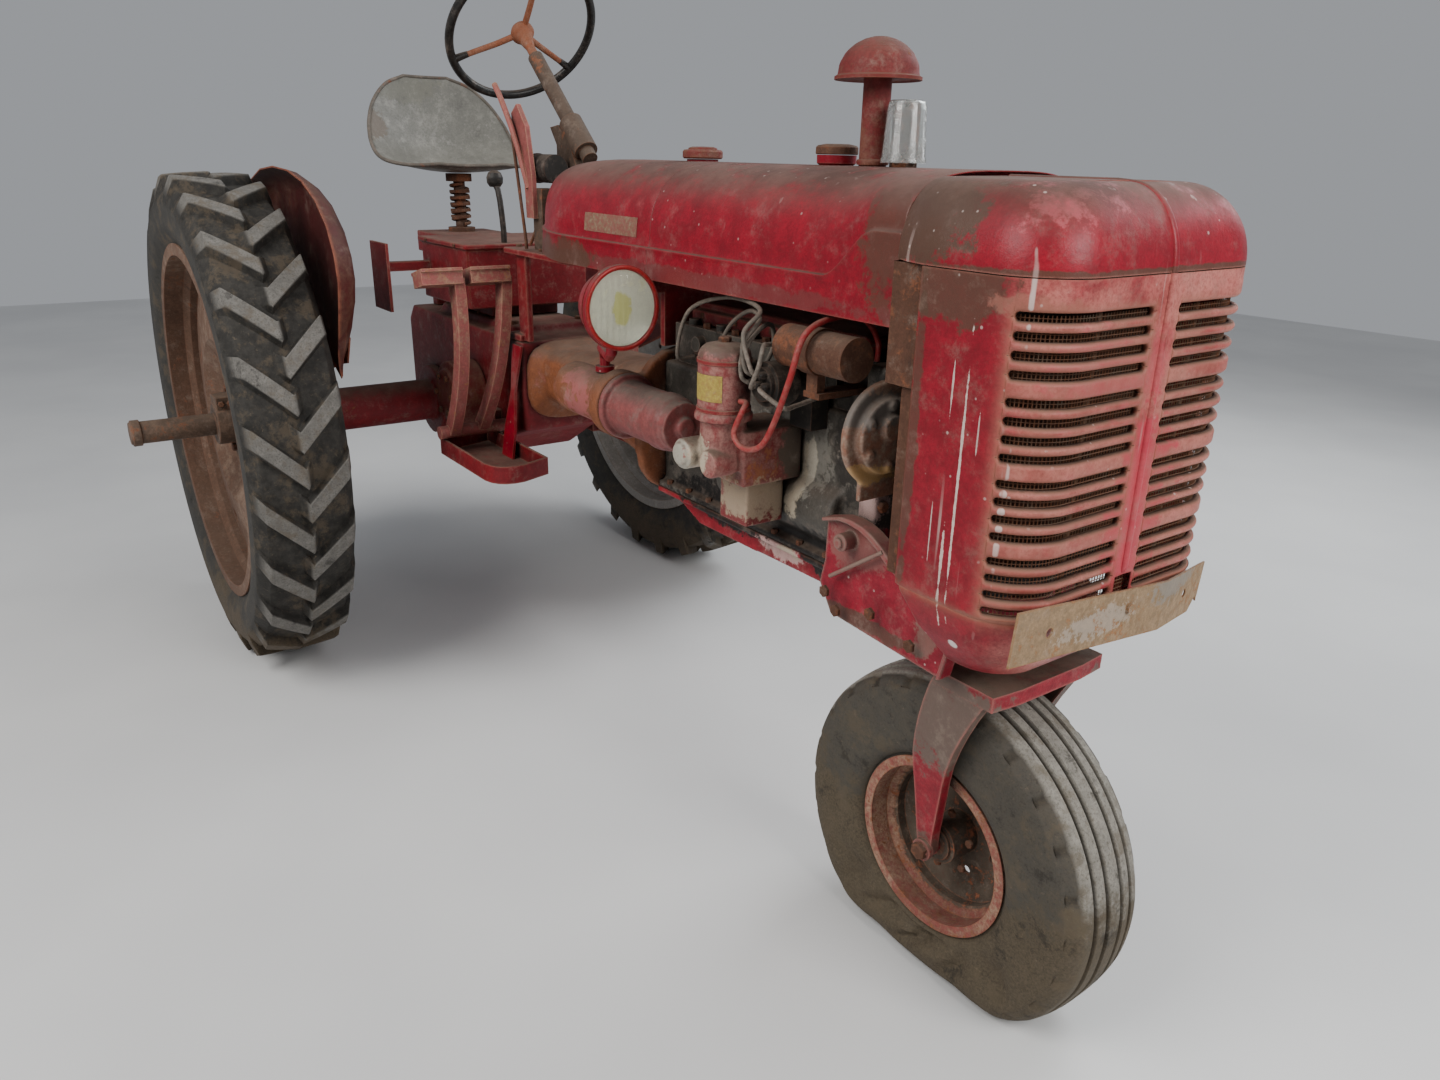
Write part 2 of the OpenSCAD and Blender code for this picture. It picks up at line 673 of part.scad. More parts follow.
// Shroud between fan and radiator, with a row of slots in each side
module fan_shroud() {
  half = radiator_half_w + 4;
  x = -radiator_back - 8 - seat_gap;
  place("saddlebrown") at_nose() difference() {
    block([x - 64, -half, 800], [x, half, 1225]);
    block([x - 60, -half + 4, 804], [x + 1, half - 4, 1221]);
    barrel_x(x - 70, x - 50, 0, fan_z, fan_r + 12);
    for (side = [-1, 1], z = [850 : 62 : 1180])
      block([x - 34, side * half - 6, z], [x - 22, side * half + 6, z + 42]);
  }
}

/* Hood, tank, stacks and caps */

// Section of hood and tank in Y and Z, from the right lower edge over the top to the left one
function body_section(half, low, crease, top, steps) =
  let (
    right = concat([[-half - 4, low], [-half, crease - 6], [-half + 4, crease]],
      [for (i = [1 : steps]) let (t = 90 * i / steps)
        [-(half - 6) * pow(cos(t), 0.62), crease + (top - crease) * pow(sin(t), 0.8)]]))
  concat(right, [for (i = [len(right) - 2 : -1 : 0]) [-right[i][0], right[i][1]]]);

// Runs a section in Y and Z along X
module run_x(x0, x1) {
  translate([x0, 0, 0]) rotate([90, 0, 90]) linear_extrude(x1 - x0) children();
}

module hood() {
  front_x = crown_rear_x - seat_gap;
  place("firebrick") {
    difference() {
      run_x(tank_seam_x + seat_gap, front_x)
        polygon(body_section(hood_half_w, hood_low_z, crease_z, hood_top_z, 9));
      run_x(tank_seam_x - 1, front_x + 1)
        polygon(body_section(hood_half_w - hood_t, hood_low_z - 1, crease_z, hood_top_z - hood_t, 9));
      translate([air_stack_x, 0, hood_low_z]) cylinder(r = air_pipe_r + 3, h = 300);
      translate([exhaust_x, 0, hood_low_z]) cylinder(r = exhaust_r + 4, h = 300);
    }
    translate([neck_x, 0, hood_top_z - hood_t - 6]) cylinder(r = 30, h = 26);
  }
}

// Loop of the tank at place x, drawn in by a share of its size about the middle of its height
function tank_loop(x, wide, high) =
  let (
    middle = (hood_low_z + hood_top_z) / 2 + 6,
    low = middle + (hood_low_z - middle) * high,
    crease = middle + (crease_z - middle) * high,
    top = middle + (hood_top_z - middle) * high)
  reversed([for (p = body_section(hood_half_w * wide, low, crease, top, 7)) [x, p[0], p[1]]]);

module fuel_tank() {
  place("firebrick") {
    skin(concat(
      [for (a = [12, 22, 34, 46, 60, 75, 90])
        tank_loop(tank_rear_x + tank_round * pow(1 - cos(a), 1.15), pow(sin(a), 0.72),
          0.42 + 0.58 * pow(sin(a), 0.8))],
      [tank_loop(tank_seam_x, 1, 1)]));
    translate([fuel_cap_x, 0, hood_top_z - 30]) cylinder(r = 32, h = 34);
  }
}

// Frame on the bell that carries the front of the tank
module tank_support() {
  place("firebrick") {
    block([bell_x + 4, -110, bell_top_z + seat_gap], [bell_x + 20, 110, hood_low_z - seat_gap]);
    both_sides() block([bell_x + 4, -150, hood_low_z - 40], [bell_x + 20, -100, hood_low_z - seat_gap]);
  }
}

module fuel_cap() {
  place("sienna") translate([fuel_cap_x, 0, hood_top_z + 4 + seat_gap]) {
    cylinder(r = 41, h = 18);
    cylinder(r = 30, h = 24);
  }
}

module filler_cap() {
  place("sienna") translate([neck_x, 0, hood_top_z - hood_t + 20 + seat_gap]) cylinder(r = 37, h = 18);
}

// Half circle cap on a pipe, open below
module mushroom(r, h) {
  rotate_extrude() polygon(concat([[0, 0], [r - 6, 0], [r + 5, -3], [r + 5, 2]],
    [for (i = [0 : 8]) let (t = 90 * i / 8) [r * cos(t), 4 + (h - 4) * sin(t)]]));
}

cleaner_at = [air_stack_x, 262];
cleaner_top_z = 1070;
// Height at which the pipes pass between the valve cover and the hood's lower edge
pass_z = 1134;
module air_stack() {
  cap_low = stack_top_z - 62;
  place("sienna") {
    translate([air_stack_x, 0, hood_low_z + 60]) cylinder(r = air_pipe_r, h = cap_low + 1 - hood_low_z - 60);
    bent_bar([[air_stack_x, 0, hood_low_z + 90], [air_stack_x, 0, hood_low_z + 30], [air_stack_x, 30, pass_z],
      [air_stack_x, 200, pass_z], [cleaner_at[0], cleaner_at[1], cleaner_top_z + 50],
      [cleaner_at[0], cleaner_at[1], cleaner_top_z + seat_gap]], air_pipe_r - 3, 14);
    translate([air_stack_x, 0, cap_low]) mushroom(66, 62);
  }
}

jar_low_z = 1378;
jar_h = 94;
jar_t = 3;
module exhaust_pipe() {
  top = jar_low_z + jar_h - jar_t - seat_gap;
  place("saddlebrown") {
    translate([exhaust_x, 0, hood_low_z + 60]) cylinder(r = exhaust_r, h = top - hood_low_z - 60);
    bent_bar([[exhaust_x, 0, hood_low_z + 90], [exhaust_x, 0, hood_low_z + 10], [exhaust_x, 140, pass_z - 10],
      [exhaust_x, 140, pass_z - 40], [exhaust_x, 140, head_joint_z + 70 + seat_gap]], exhaust_r - 2, 14);
  }
}

// Clear jar put upside down over the exhaust
module rain_jar() {
  place("whitesmoke") translate([exhaust_x, 0, jar_low_z]) rotate_extrude() polygon([
    [34, 0], [37, 0], [30, jar_h - 2], [26, jar_h], [0, jar_h], [0, jar_h - jar_t], [27, jar_h - jar_t]]);
}

/* Engine and what is bolted to it */

plate_front = 42;
// Height of the round plugs on the block's sides, and the bulges along them
plug_h = 6;
bulge_y = 84;
bulge_r = 62;
module engine_block() {
  rear = -engine_len;
  place("dimgray") at_engine() {
    block([rear, -block_half_w, block_low_z], [0, block_half_w, head_joint_z]);
    block([rear, -block_half_w - 16, block_low_z], [0, block_half_w + 16, block_low_z + 14]);
    difference() {
      block([0, -150, 735], [plate_front, 150, 1085]);
      for (side = [-1, 1]) barrel_x(-1, plate_front + 1, side * 175, 735, 70);
    }
    barrel_x(plate_front, plate_front + 18, 0, 832, 50);
    for (side = [-1, 1]) barrel_x(rear + 230, -70, side * bulge_y, 800, bulge_r);
    for (x = [-480 : 130 : -90]) both_sides() barrel_y(-block_half_w - plug_h, -block_half_w, x, 925, 22);
  }
}

module cylinder_head() {
  rear = -engine_len + 20;
  top = head_joint_z + head_h;
  place("dimgray") at_engine() {
    block([rear, -100, head_joint_z + seat_gap], [-6, 100, top]);
    for (x = [rear + 50 : 95 : -60]) both_sides() translate([x, -88, top - 1]) cylinder(r = 11, h = 14);
    for (x = [rear + 95 : 135 : -60]) barrel_y(-116, -100, x, top - 30, 15);
    block([-70, -34, top - 1], [-4, 34, 1140]);
    barrel_x(-20, plate_front - 8, 0, 1118, 30);
  }
}

module valve_cover() {
  z0 = head_joint_z + head_h + seat_gap;
  rear = -engine_len + 40;
  place("darkred") at_engine() {
    block([rear, -74, z0], [-80, 74, z0 + cover_h - 16]);
    side_plate(-62, 62) polygon([[rear + 8, z0], [rear + 8, z0 + cover_h - 8], [rear + 18, z0 + cover_h],
      [-98, z0 + cover_h], [-88, z0 + cover_h - 8], [-88, z0]]);
  }
}

module oil_pan() {
  top = block_low_z - seat_gap;
  rear = -engine_len;
  place("darkred") at_engine() {
    side_plate(-104, 104) polygon([
      [rear + 8, top - 12], [rear + 120, pan_low_z], [-120, pan_low_z + 2],
      [-20, pan_low_z + 36], [-4, top - 12]]);
    block([rear, -block_half_w - 16, top - 12], [-4, block_half_w + 16, top]);
  }
}

// Filter canister on its casting, with the oil pipe's boss
filter_at = [-222, -262];
module oil_filter() {
  face = -block_half_w - plug_h - seat_gap;
  x = filter_at[0];
  y = filter_at[1];
  place("crimson") at_engine() {
    translate([x, y, 976]) cylinder(r = 45, h = 100);
    translate([x, y, 0]) rotate_extrude() polygon([
      [0, 1070], [45, 1070], [43, 1082], [34, 1091], [14, 1096], [0, 1096]]);
    translate([x, y, 966]) cylinder(r = 50, h = 12);
    translate([x, y, 880]) cylinder(r = 40, h = 90);
    block([x - 62, y + 12, 850], [x + 44, face, 948]);
    block([x - 50, y + 32, 770], [x + 30, -bulge_y - bulge_r - seat_gap, 852]);
    barrel_y(y - 58, y, x - 40, 902, 27);
    barrel_y(y - 66, y - 58, x - 40, 902, 20);
    barrel_y(y - 48, y, x + 22, 896, 24);
  }
}

module distributor() {
  place("black") at_engine() {
    barrel_y(-232, -186, -150, 1034, 37);
    barrel_y(-240, -232, -150, 1034, 28);
    barrel_y(-187, -150, -150, 1034, 25);
    block([-178, -152, 950], [-122, -block_half_w - seat_gap, 1016]);
  }
}

coil_z = 1101;
module ignition_coil() {
  y = -205;
  place("saddlebrown") at_engine() {
    barrel_x(-126, 36, y, coil_z, 34);
    barrel_x(-130, -126, y, coil_z, 30);
    barrel_x(-148, -130, y, coil_z, 14);
    barrel_x(-70, -40, y, coil_z, 37);
    block([-68, y - 8, coil_z - 66], [-42, y + 8, coil_z - 34]);
    block([-74, y - 8, coil_z - 74], [-36, -100 - seat_gap, coil_z - 64]);
  }
}

plug_z = 1020;
lead_r = 4;
// Plugs on the head with their leads to the distributor, the coil's lead, and the thick lead
// from the head over the coil to the filter's side
module ignition_leads() {
  cap = [-150, -240 - seat_gap, 1034];
  // Place of the plug, start beside the cap's middle, height at which the lead passes the filter
  leads = [[-220, [-17, 0, 2], 1118], [-350, [-8, 0, 16], 1134], [-475, [8, 0, 17], 1150]];
  front_x = -90;
  // Straight stretch by which each lead leaves the cap square to its face
  out = [0, -11, 0];
  place("gray") at_engine() {
    for (x = [front_x, leads[0][0], leads[1][0], leads[2][0]]) {
      barrel_y(-128, -100 - seat_gap, x, plug_z, 12);
      barrel_y(-152, -127, x, plug_z, 8);
    }
    for (lead = leads)
      bent_bar([cap + lead[1], cap + lead[1] + out, cap + lead[1] + [-3, -25, 12], [-172, -262, lead[2] - 34],
        [-182, -222, lead[2]], [(lead[0] - 190) / 2, -178, lead[2]], [lead[0] + 12, -172, lead[2] - 40],
        [lead[0], -190, plug_z + 6], [lead[0], -150, plug_z]], lead_r, 6);
    bent_bar([cap + [17, 0, 0], cap + [17, 0, 0] + out, cap + [27, -20, -4], [front_x + 14, -252, 1012],
      [front_x, -215, 1008], [front_x, -150, plug_z]], lead_r, 6);
    bent_bar([cap, cap + out, [-140, -268, 1036], [-122, -268, 1070], [-128, -255, coil_z], [-139, -238, coil_z],
      [-139, -219 - seat_gap, coil_z]], lead_r, 6);
    bent_bar([[-40, -90, head_joint_z + head_h + seat_gap], [-40, -90, 1110], [-40, -130, 1150], [-38, -200, 1152],
      [-36, -250, 1130], [-41, -270, 1065], [-75, -270, 990], [-100, -276, 947], [-138, -282, 936], [-164, -282, 954],
      [-154, -275, 990], [-160, filter_at[1], 1004], [filter_at[0] + 45 + seat_gap, filter_at[1], 1004]], 5, 8);
  }
}

starter_at = [-208, 898];
starter_r = 54;
module starter() {
  y = starter_at[0];
  z = starter_at[1];
  x0 = -engine_len + seat_gap;
  place("rosybrown") at_engine() {
    barrel_x(x0, x0 + 16, y, z, starter_r + 14);
    barrel_x(x0 + 15, x0 + 190, y, z, starter_r);
    barrel_x(x0 + 150, x0 + 168, y, z, starter_r + 3);
    barrel_x(x0 + 189, x0 + 216, y, z, starter_r - 6);
    barrel_x(x0 + 215, x0 + 226, y, z, 20);
  }
}

module governor() {
  x0 = plate_front + seat_gap;
  place("dimgray") at_engine() {
    barrel_x(x0, x0 + 14, -152, 985, 84);
    barrel_x(x0 + 13, x0 + 28, -156, 985, 60);
    barrel_x(x0 + 27, x0 + 36, -156, 1000, 20);
    block([x0, -196, 880], [x0 + 10, -100, 985]);
    for (a = [30 : 60 : 330])
      barrel_x(x0 + 27, x0 + 33, -156 + 48 * cos(a), 985 + 48 * sin(a), 7);
  }
}

manifold_y = 140;
manifold_z = head_joint_z + 40;
module manifold() {
  place("saddlebrown") at_engine() {
    barrel_x(-520, -50, manifold_y, manifold_z, 30);
    for (x = [-480 : 130 : -90]) barrel_y(100 + seat_gap, manifold_y, x, manifold_z, 22);
  }
}

module carburettor() {
  top = manifold_z - 30 - seat_gap;
  y = manifold_y + 24;
  place("gray") at_engine() {
    translate([-275, y, 880]) cylinder(r = 34, h = 52);
    translate([-275, manifold_y, 930]) cylinder(r = 20, h = top - 930);
    barrel_x(-340, -305, y, 915, 24);
    block([-312, y - 26, 900], [-240, y + 24, 934]);
  }
}

module air_cleaner() {
  x = cleaner_at[0];
  y = cleaner_at[1];
  place("firebrick") {
    translate([x, y, 820]) cylinder(r = 82, h = cleaner_top_z - 820);
    translate([x, y, 800]) cylinder(r = 74, h = 21);
    translate([x, y, 900]) cylinder(r = 85, h = 16);
    block([x - 16, block_half_w + seat_gap, 870], [x + 44, y - 70, 930]);
  }
}

module generator() {
  place("dimgray") at_engine() {
    barrel_x(-470, -300, 213, 800, 56);
    barrel_x(-301, -280, 213, 800, 62);
    barrel_x(-480, -469, 213, 800, 48);
    block([-400, bulge_y + bulge_r + seat_gap, 790], [-320, 175, 812]);
  }
}

/* Front frame and drive line */

crown_plate_top = fork_crown_z + fork_crown_t;
// Outline of a side plate in X and Z, with X from the front axle
module bolster_outline() {
  low = crown_plate_top + 8;
  polygon(concat(
    [[-190, 654], [-222, 702], [-212, 744], [-210, 824]],
    bend_line([-163, 838], [-100, 846], [-50, 802], 5),
    [[-8, 779], [30, 753], [72, 722], [88, 709], [74, low + 6], [52, low]]));
}

// Frame on the engine's front that carries the radiator and the fork
module front_bolster() {
  low = crown_plate_top + 6;
  half = 168;
  axle = front_axle_x;
  face = engine_front_x + plate_front + seat_gap;
  rear = grille_x - radiator_back;
  place("firebrick") difference() {
    union() {
      both_sides() translate([axle, 0, 0]) {
        side_plate(-half, -half + 14) bolster_outline();
        side_plate(-half - 14, -half + 1) difference() {
          bolster_outline();
          translate([-9, -9]) bolster_outline();
        }
        barrel_y(-half - 26, -half + 1, -150, 800, 15);
        barrel_y(-half - 32, -half - 25, -150, 800, 9);
      }
      block([axle - 100, -half + 10, 690], [axle + 70, half - 10, 712]);
      translate([pivot_x, 0, low]) cylinder(r = 62, h = 120);
      block([face, -half + 10, 690], [face + 24, half - 10, 770]);
      block([face, -half + 10, 690], [axle - 90, half - 10, 712]);
      block([rear - 8, -half + 30, 700], [rear + 20, half - 30, radiator_low_z - seat_gap]);
    }
    translate([pivot_x, 0, low - 1]) cylinder(r = pivot_r + run_gap, h = 130);
  }
}

// Rounded section of a casting in Y and Z, with its flats on the stated sides
function housing_section(half, low, high) =
  let (flat = pow(cos(9), 0.6))
  [for (i = [0 : 19]) let (a = 360 * i / 20 + 9)
    [half * sign(cos(a)) * pow(abs(cos(a)), 0.6) / flat,
     (low + high) / 2 + (high - low) / 2 * sign(sin(a)) * pow(abs(sin(a)), 0.6) / flat]];

bell_half_w = 176;
bell_top_z = 1010;
bell_x = engine_rear_x - 26;
pocket_len = 196;
// Round pocket beside the bell for the starter's drive; its top carries a lamp's foot
pocket_r = 56;
pocket_top_z = starter_at[1] + pocket_r;
module clutch_housing() {
  start = case_front_x + seat_gap;
  run = bell_x - start;
  // Stations: share of the way to the bell, half width, underside, top
  stations = [
    [0, 132, 720, case_top_z], [0.04, 132, 720, case_top_z], [0.10, 112, 770, 915],
    [0.60, 114, 755, 930], [0.84, 122, 728, 955], [1, 136, 706, 985]];
  place("peru") {
    skin([for (s = stations) [for (p = housing_section(s[1], s[2], s[3])) [start + s[0] * run, p[0], p[1]]]]);
    run_x(bell_x - 1, engine_rear_x - seat_gap) polygon(housing_section(bell_half_w, 690, bell_top_z));
    both_sides() {
      barrel_x(bell_x - pocket_len, bell_x, starter_at[0], starter_at[1], pocket_r);
      barrel_x(bell_x - pocket_len - 12, bell_x - pocket_len + 1, starter_at[0], starter_at[1], pocket_r - 14);
      barrel_x(bell_x - 12, engine_rear_x - seat_gap, starter_at[0], starter_at[1], pocket_r + 14);
      block([bell_x - pocket_len + 30, starter_at[0], starter_at[1] - 40], [bell_x, -100, starter_at[1] + 20]);
    }
  }
}

module transmission_case() {
  place("firebrick") {
    side_plate(-case_half_w, case_half_w) polygon([
      [case_rear_x, 600], [case_rear_x + 60, case_low_z], [340, case_low_z], [480, 640],
      [case_front_x, 690], [case_front_x, case_top_z], [case_rear_x + 40, case_top_z], [case_rear_x, 880]]);
    block([0, -110, case_top_z], [520, 110, case_top_z + 26]);
    barrel_x(case_rear_x - 24, case_rear_x, 0, 720, 70);
    barrel_x(case_rear_x - 90, case_rear_x - 24, 0, 720, 17.4);
  }
}

module axle_housings() {
  y0 = case_half_w + seat_gap;
  place("firebrick") both_sides() difference() {
    union() {
      barrel_y(-housing_end_y, -y0, 0, rear_axle_z, housing_r);
      barrel_y(-y0 - 26, -y0, 0, rear_axle_z, 105);
      barrel_y(-housing_end_y, -housing_end_y + 40, 0, rear_axle_z, housing_r + 22);
    }
    barrel_y(-housing_end_y - 1, -housing_end_y + 86, 0, rear_axle_z, axle_r + run_gap);
  }
}

brake_at = [300, 738];
module brakes() {
  y0 = case_half_w + seat_gap;
  place("sienna") both_sides() {
    barrel_y(-y0 - 80, -y0, brake_at[0], brake_at[1], 92);
    barrel_y(-y0 - 92, -y0 - 80, brake_at[0], brake_at[1], 70);
  }
}

/* Driver's place */

platform_z = 620;
module foot_platforms() {
  inner = case_half_w + seat_gap;
  place("firebrick") both_sides() {
    difference() {
      translate([0, 0, platform_z]) linear_extrude(44) polygon(concat(
        [[420, -inner - 20], [470, -318]], bend_line([760, -318], [830, -310], [820, -240], 5), [[790, -inner - 20]]));
      translate([0, 0, platform_z + 5]) linear_extrude(44) polygon(concat(
        [[428, -inner - 26], [476, -312]], bend_line([756, -312], [822, -304], [813, -240], 5), [[784, -inner - 26]]));
    }
    block([430, -inner - 22, platform_z], [476, -inner, 720]);
  }
}

pedal_x = 548;
pedal_z = 1083;
// Rows of the pads and of the arms' feet, from the middle of the tractor
pedal_rows = [[-317, -292], [-190, -211]];
// One pedal: a bowed arm beside its box-shaped pad, with its foot on the cross shaft
module pedal(pad_y, foot_y) {
  top_y = pad_y + 46;
  arm = concat(
    bend_line([pedal_x + 14, pedal_z + 4], [pedal_x + 84, 870], [pedal_x - 30, 676], 8),
    bend_line([pedal_x - 66, 692], [pedal_x + 44, 870], [pedal_x - 20, pedal_z - 24], 8));
  slant = atan((foot_y - top_y) / (pedal_z - 684));
  translate([0, top_y, pedal_z]) rotate([slant, 0, 0]) translate([0, 0, -pedal_z]) side_plate(-14, 14) polygon(arm);
  translate([pedal_x - 8, pad_y, pedal_z]) rotate([0, -14, 0]) {
    cube([62, 106, 34], center = true);
    translate([0, 0, 18]) cube([74, 106, 8], center = true);
  }
}

pedal_shaft_z = 684;
module brake_pedals() {
  place("peru") {
    for (row = pedal_rows) pedal(row[0], row[1]);
    barrel_y(-330, -case_half_w - seat_gap, pedal_x - 48, pedal_shaft_z, 17);
  }
}

module clutch_pedal() {
  place("peru") {
    mirror([0, 1, 0]) pedal(-250, -230);
    barrel_y(case_half_w + seat_gap, 268, pedal_x - 48, pedal_shaft_z, 17);
  }
}

// Stations of the seat from its front lip to the top of its back:
// place and height from its lowest part, half width as a share, rise of the sides, lean
seat_stations = [
  [118, 18, 0.42, 4, 0], [96, 6, 0.74, 12, 2], [45, 0, 0.95, 26, 4], [-25, 0, 1.00, 42, 8],
  [-90, 18, 1.00, 56, 22], [-140, 60, 0.98, 60, 45], [-172, 122, 0.93, 52, 66],
  [-192, 186, 0.80, 36, 74], [-204, 240, 0.58, 18, 78], [-210, 268, 0.30, 4, 80]];

function seat_row(p, drop) = [for (j = [0 : 12])
  let (v = -1 + j / 6, rise = p[3] * v * v - drop)
  [p[0] + rise * sin(p[4]), v * p[2] * seat_half_w, p[1] + rise * cos(p[4])]];

module seat_pan() {
  rows = reversed(seat_stations);
  place("gray") translate(seat_at)
    sheet([for (p = rows) seat_row(p, seat_t)], [for (p = rows) seat_row(p, 0)]);
}

box_top_z = 1150;
seat_stem = [-70, 0];
module seat_post() {
  top = seat_at[2] - seat_t - seat_gap;
  place("black") {
    translate([seat_stem[0], 0, box_top_z + seat_gap]) cylinder(r = 17, h = top - box_top_z - 20);
    translate([seat_stem[0], 0, top - 22]) cylinder(r = 38, h = 22);
    translate([seat_stem[0], 0, box_top_z + seat_gap]) cylinder(r = 40, h = 12);
    for (z = [box_top_z + 40 : 18 : top - 40]) translate([seat_stem[0], 0, z]) cylinder(r = 30, h = 7);
  }
}

module tool_box() {
  z0 = case_top_z + 26 + seat_gap;
  place("firebrick") {
    block([60, -178, z0 + 30], [392, 178, box_top_z - 14]);
    block([50, -186, box_top_z - 14], [400, 186, box_top_z]);
    block([100, -100, z0], [360, 100, z0 + 30]);
    block([-160, -110, box_top_z - 60], [50, 110, box_top_z]);
    block([-150, -80, case_top_z + seat_gap], [-110, 80, box_top_z - 59]);
  }
}

// Panels that stand beside the box, in front of the fenders
module side_panels() {
  place("maroon") both_sides() {
    block([70, -330, 960], [200, -322, box_top_z - 8]);
    block([90, -322, 1060], [120, -178 - seat_gap, 1085]);
  }
}

// Leaf-shaped outline of a fender, from its rear tip over the top to its front lower tip:
// place, distance below the highest point, share of the rolled edge's depth
fender_leaf = [
  [-330, 186, 0.1], [-318, 150, 0.7], [-262, 96, 1], [-160, 42, 1], [-30, 10, 1], [110, 0, 1],
  [250, 6, 1], [370, 28, 1], [470, 68, 1], [540, 122, 1], [578, 186, 1], [588, 246, 1],
  [570, 308, 1], [526, 370, 0.9], [462, 430, 0.7], [400, 480, 0.4], [352, 514, 0.1]];

// Loop of the fender, drawn in by inset towards its middle and moved out by a depth
function fender_loop(inset, depth, lift) =
  let (middle = [130, 246])
  [for (p = fender_leaf)
    let (v = [p[0], p[1]] - middle, q = middle + v * (1 - inset / norm(v)))
    [q[0], -fender_y - lift - depth * p[2], fender_top_z - q[1]]];

// Flat face with a rolled edge that flares towards the tyre, and the strap down to the axle housing
module fenders() {
  place("saddlebrown") both_sides() {
    skin([fender_loop(62, 0, 4), fender_loop(33, 12, 4), fender_loop(12, 33, 4), fender_loop(4, 54, 4),
      fender_loop(0, 54, 4), fender_loop(0, 54, 3), fender_loop(8, 34, 0), fender_loop(30, 12, 0), fender_loop(62, 0, 0)]);
    side_plate(-fender_y - 4, -fender_y) polygon([[-26, 740], [30, 740], [300, 850], [400, 870], [440, 940],
      [260, 960], [-26, 960]]);
    block([-30, -fender_y, rear_axle_z + housing_r + 22 + seat_gap], [30, -housing_end_y + 40, rear_axle_z + 250]);
  }
}

// Lamp bowl on its bracket, which stands on the starter's pocket and its twin
module lamp_bodies() {
  foot = [bell_x - 60, starter_at[0], pocket_top_z + seat_gap];
  place("crimson") both_sides() {
    translate(lamp_at) rotate([0, 90, 0]) rotate_extrude() polygon(concat(
      [[0, -96]], [for (i = [1 : 6]) let (t = 15 * i) [(lamp_r - 8) * sin(t), -8 - 88 * cos(t)]],
      [[lamp_r - 4, -6], [lamp_r, -4], [lamp_r, 8], [lamp_r - 9, 8], [lamp_r - 9, -2], [0, -2]]));
    bent_bar([lamp_at + [-40, 0, -48], lamp_at + [-44, 4, -104], foot + [40, -30, 60], foot + [0, 0, 40], foot], 11);
    translate(foot) cylinder(r = 20, h = 12);
  }
}

module lamp_glass() {
  place("khaki") both_sides() translate(lamp_at) rotate([0, 90, 0]) rotate_extrude() polygon([
    [0, -2 + seat_gap], [lamp_r - 9 - seat_gap, -2 + seat_gap], [lamp_r - 9 - seat_gap, 6],
    [lamp_r * 0.6, 11], [0, 14]]);
}

column_low = 455;
shelf_z = 1155;
post_x = 610;
post_y = 118;
// Posts on the transmission case and the shelf on them, with the pad under the tank's rear
module support_frame() {
  foot_z = case_top_z + seat_gap;
  place("firebrick") {
    block([post_x - 70, -140, shelf_z - 14], [tank_rear_x + 148, 140, shelf_z]);
    block([tank_rear_x + 118, -60, shelf_z - 1], [tank_rear_x + 148, 60, hood_low_z + 4]);
    both_sides() {
      block([post_x - 26, -post_y - 8, foot_z], [post_x + 26, -post_y + 8, shelf_z - 13]);
      block([post_x - 60, -case_half_w, foot_z], [post_x + 8, -post_y + 8, foot_z + 18]);
    }
  }
}

// Waisted plates that lean out from the case's sides down to the foot platforms
module shield_plates() {
  t = 6;
  top = 916;
  // Levels: height, rear edge, front edge
  levels = [[platform_z + 5 + seat_gap, -34, 30], [690, -34, 30], [800, -16, 8], [top, -34, 22]];
  face = -case_half_w - seat_gap;
  place("firebrick") both_sides()
    sheet([for (p = levels) let (y = face - t - 0.15 * (top - p[0])) [[post_x + p[1], y, p[0]], [post_x + p[2], y, p[0]]]],
      [for (p = levels) let (y = face - 0.15 * (top - p[0])) [[post_x + p[1], y, p[0]], [post_x + p[2], y, p[0]]]]);
}

// Tube that holds the steering shaft, the casting under it and the drums beside it
module steering_column() {
  start = wheel_hub + column_axis * 96;
  stop = wheel_hub + column_axis * column_low;
  place("dimgray") difference() {
    union() {
      bar(start, stop, 19);
      bar(wheel_hub + column_axis * 330, wheel_hub + column_axis * 430, 29);
      side_plate(-26, 26) polygon([[636, shelf_z + seat_gap], [716, shelf_z + seat_gap], [742, 1330], [700, 1402],
        [640, 1445], [600, 1440], [632, 1400]]);
      block([620, -60, shelf_z + seat_gap], [736, 60, shelf_z + 16]);
      block([640, -100, shelf_z + seat_gap], [690, -60, 1300]);
    }
    bar(wheel_hub + column_axis * 90, wheel_hub + column_axis * 210, 11 + run_gap);
  }
}

// Gauge and light switch drums on the column's casting
module gauges() {
  place("darkslategray") {
    barrel_y(-64, -26 - seat_gap, 668, 1348, 20);
    barrel_x(606, 700, -64, 1345, 33);
    barrel_x(600, 607, -64, 1345, 35);
  }
}

module steering_wheel() {
  place("black") {
    translate(wheel_hub) rotate([0, -90 + column_slope, 0]) rotate([0, 0, 180]) {
      rotate_extrude() translate([steer_r - steer_rim_d / 2, 0]) circle(r = steer_rim_d / 2);
      translate([0, 0, -26]) cylinder(r = 30, h = 46);
      for (a = [60, 180, 300]) rotate([0, 0, a])
        bar([24, 0, -4], [steer_r - steer_rim_d / 2, 0, 0], 8);
    }
    bar(wheel_hub, wheel_hub + column_axis * 200, 11);
  }
}

module throttle_lever() {
  y = -100 - seat_gap;
  place("rosybrown") {
    side_plate(y - 12, y) polygon([[628, 1230], [668, 1230], [664, 1330], [640, 1440], [596, 1490],
      [566, 1470], [570, 1410], [622, 1330]]);
    bent_bar([[640, y - 10, 1300], [600, y - 22, 1420], [540, y - 24, 1500], [505, y - 24, 1535]], 7);
  }
}

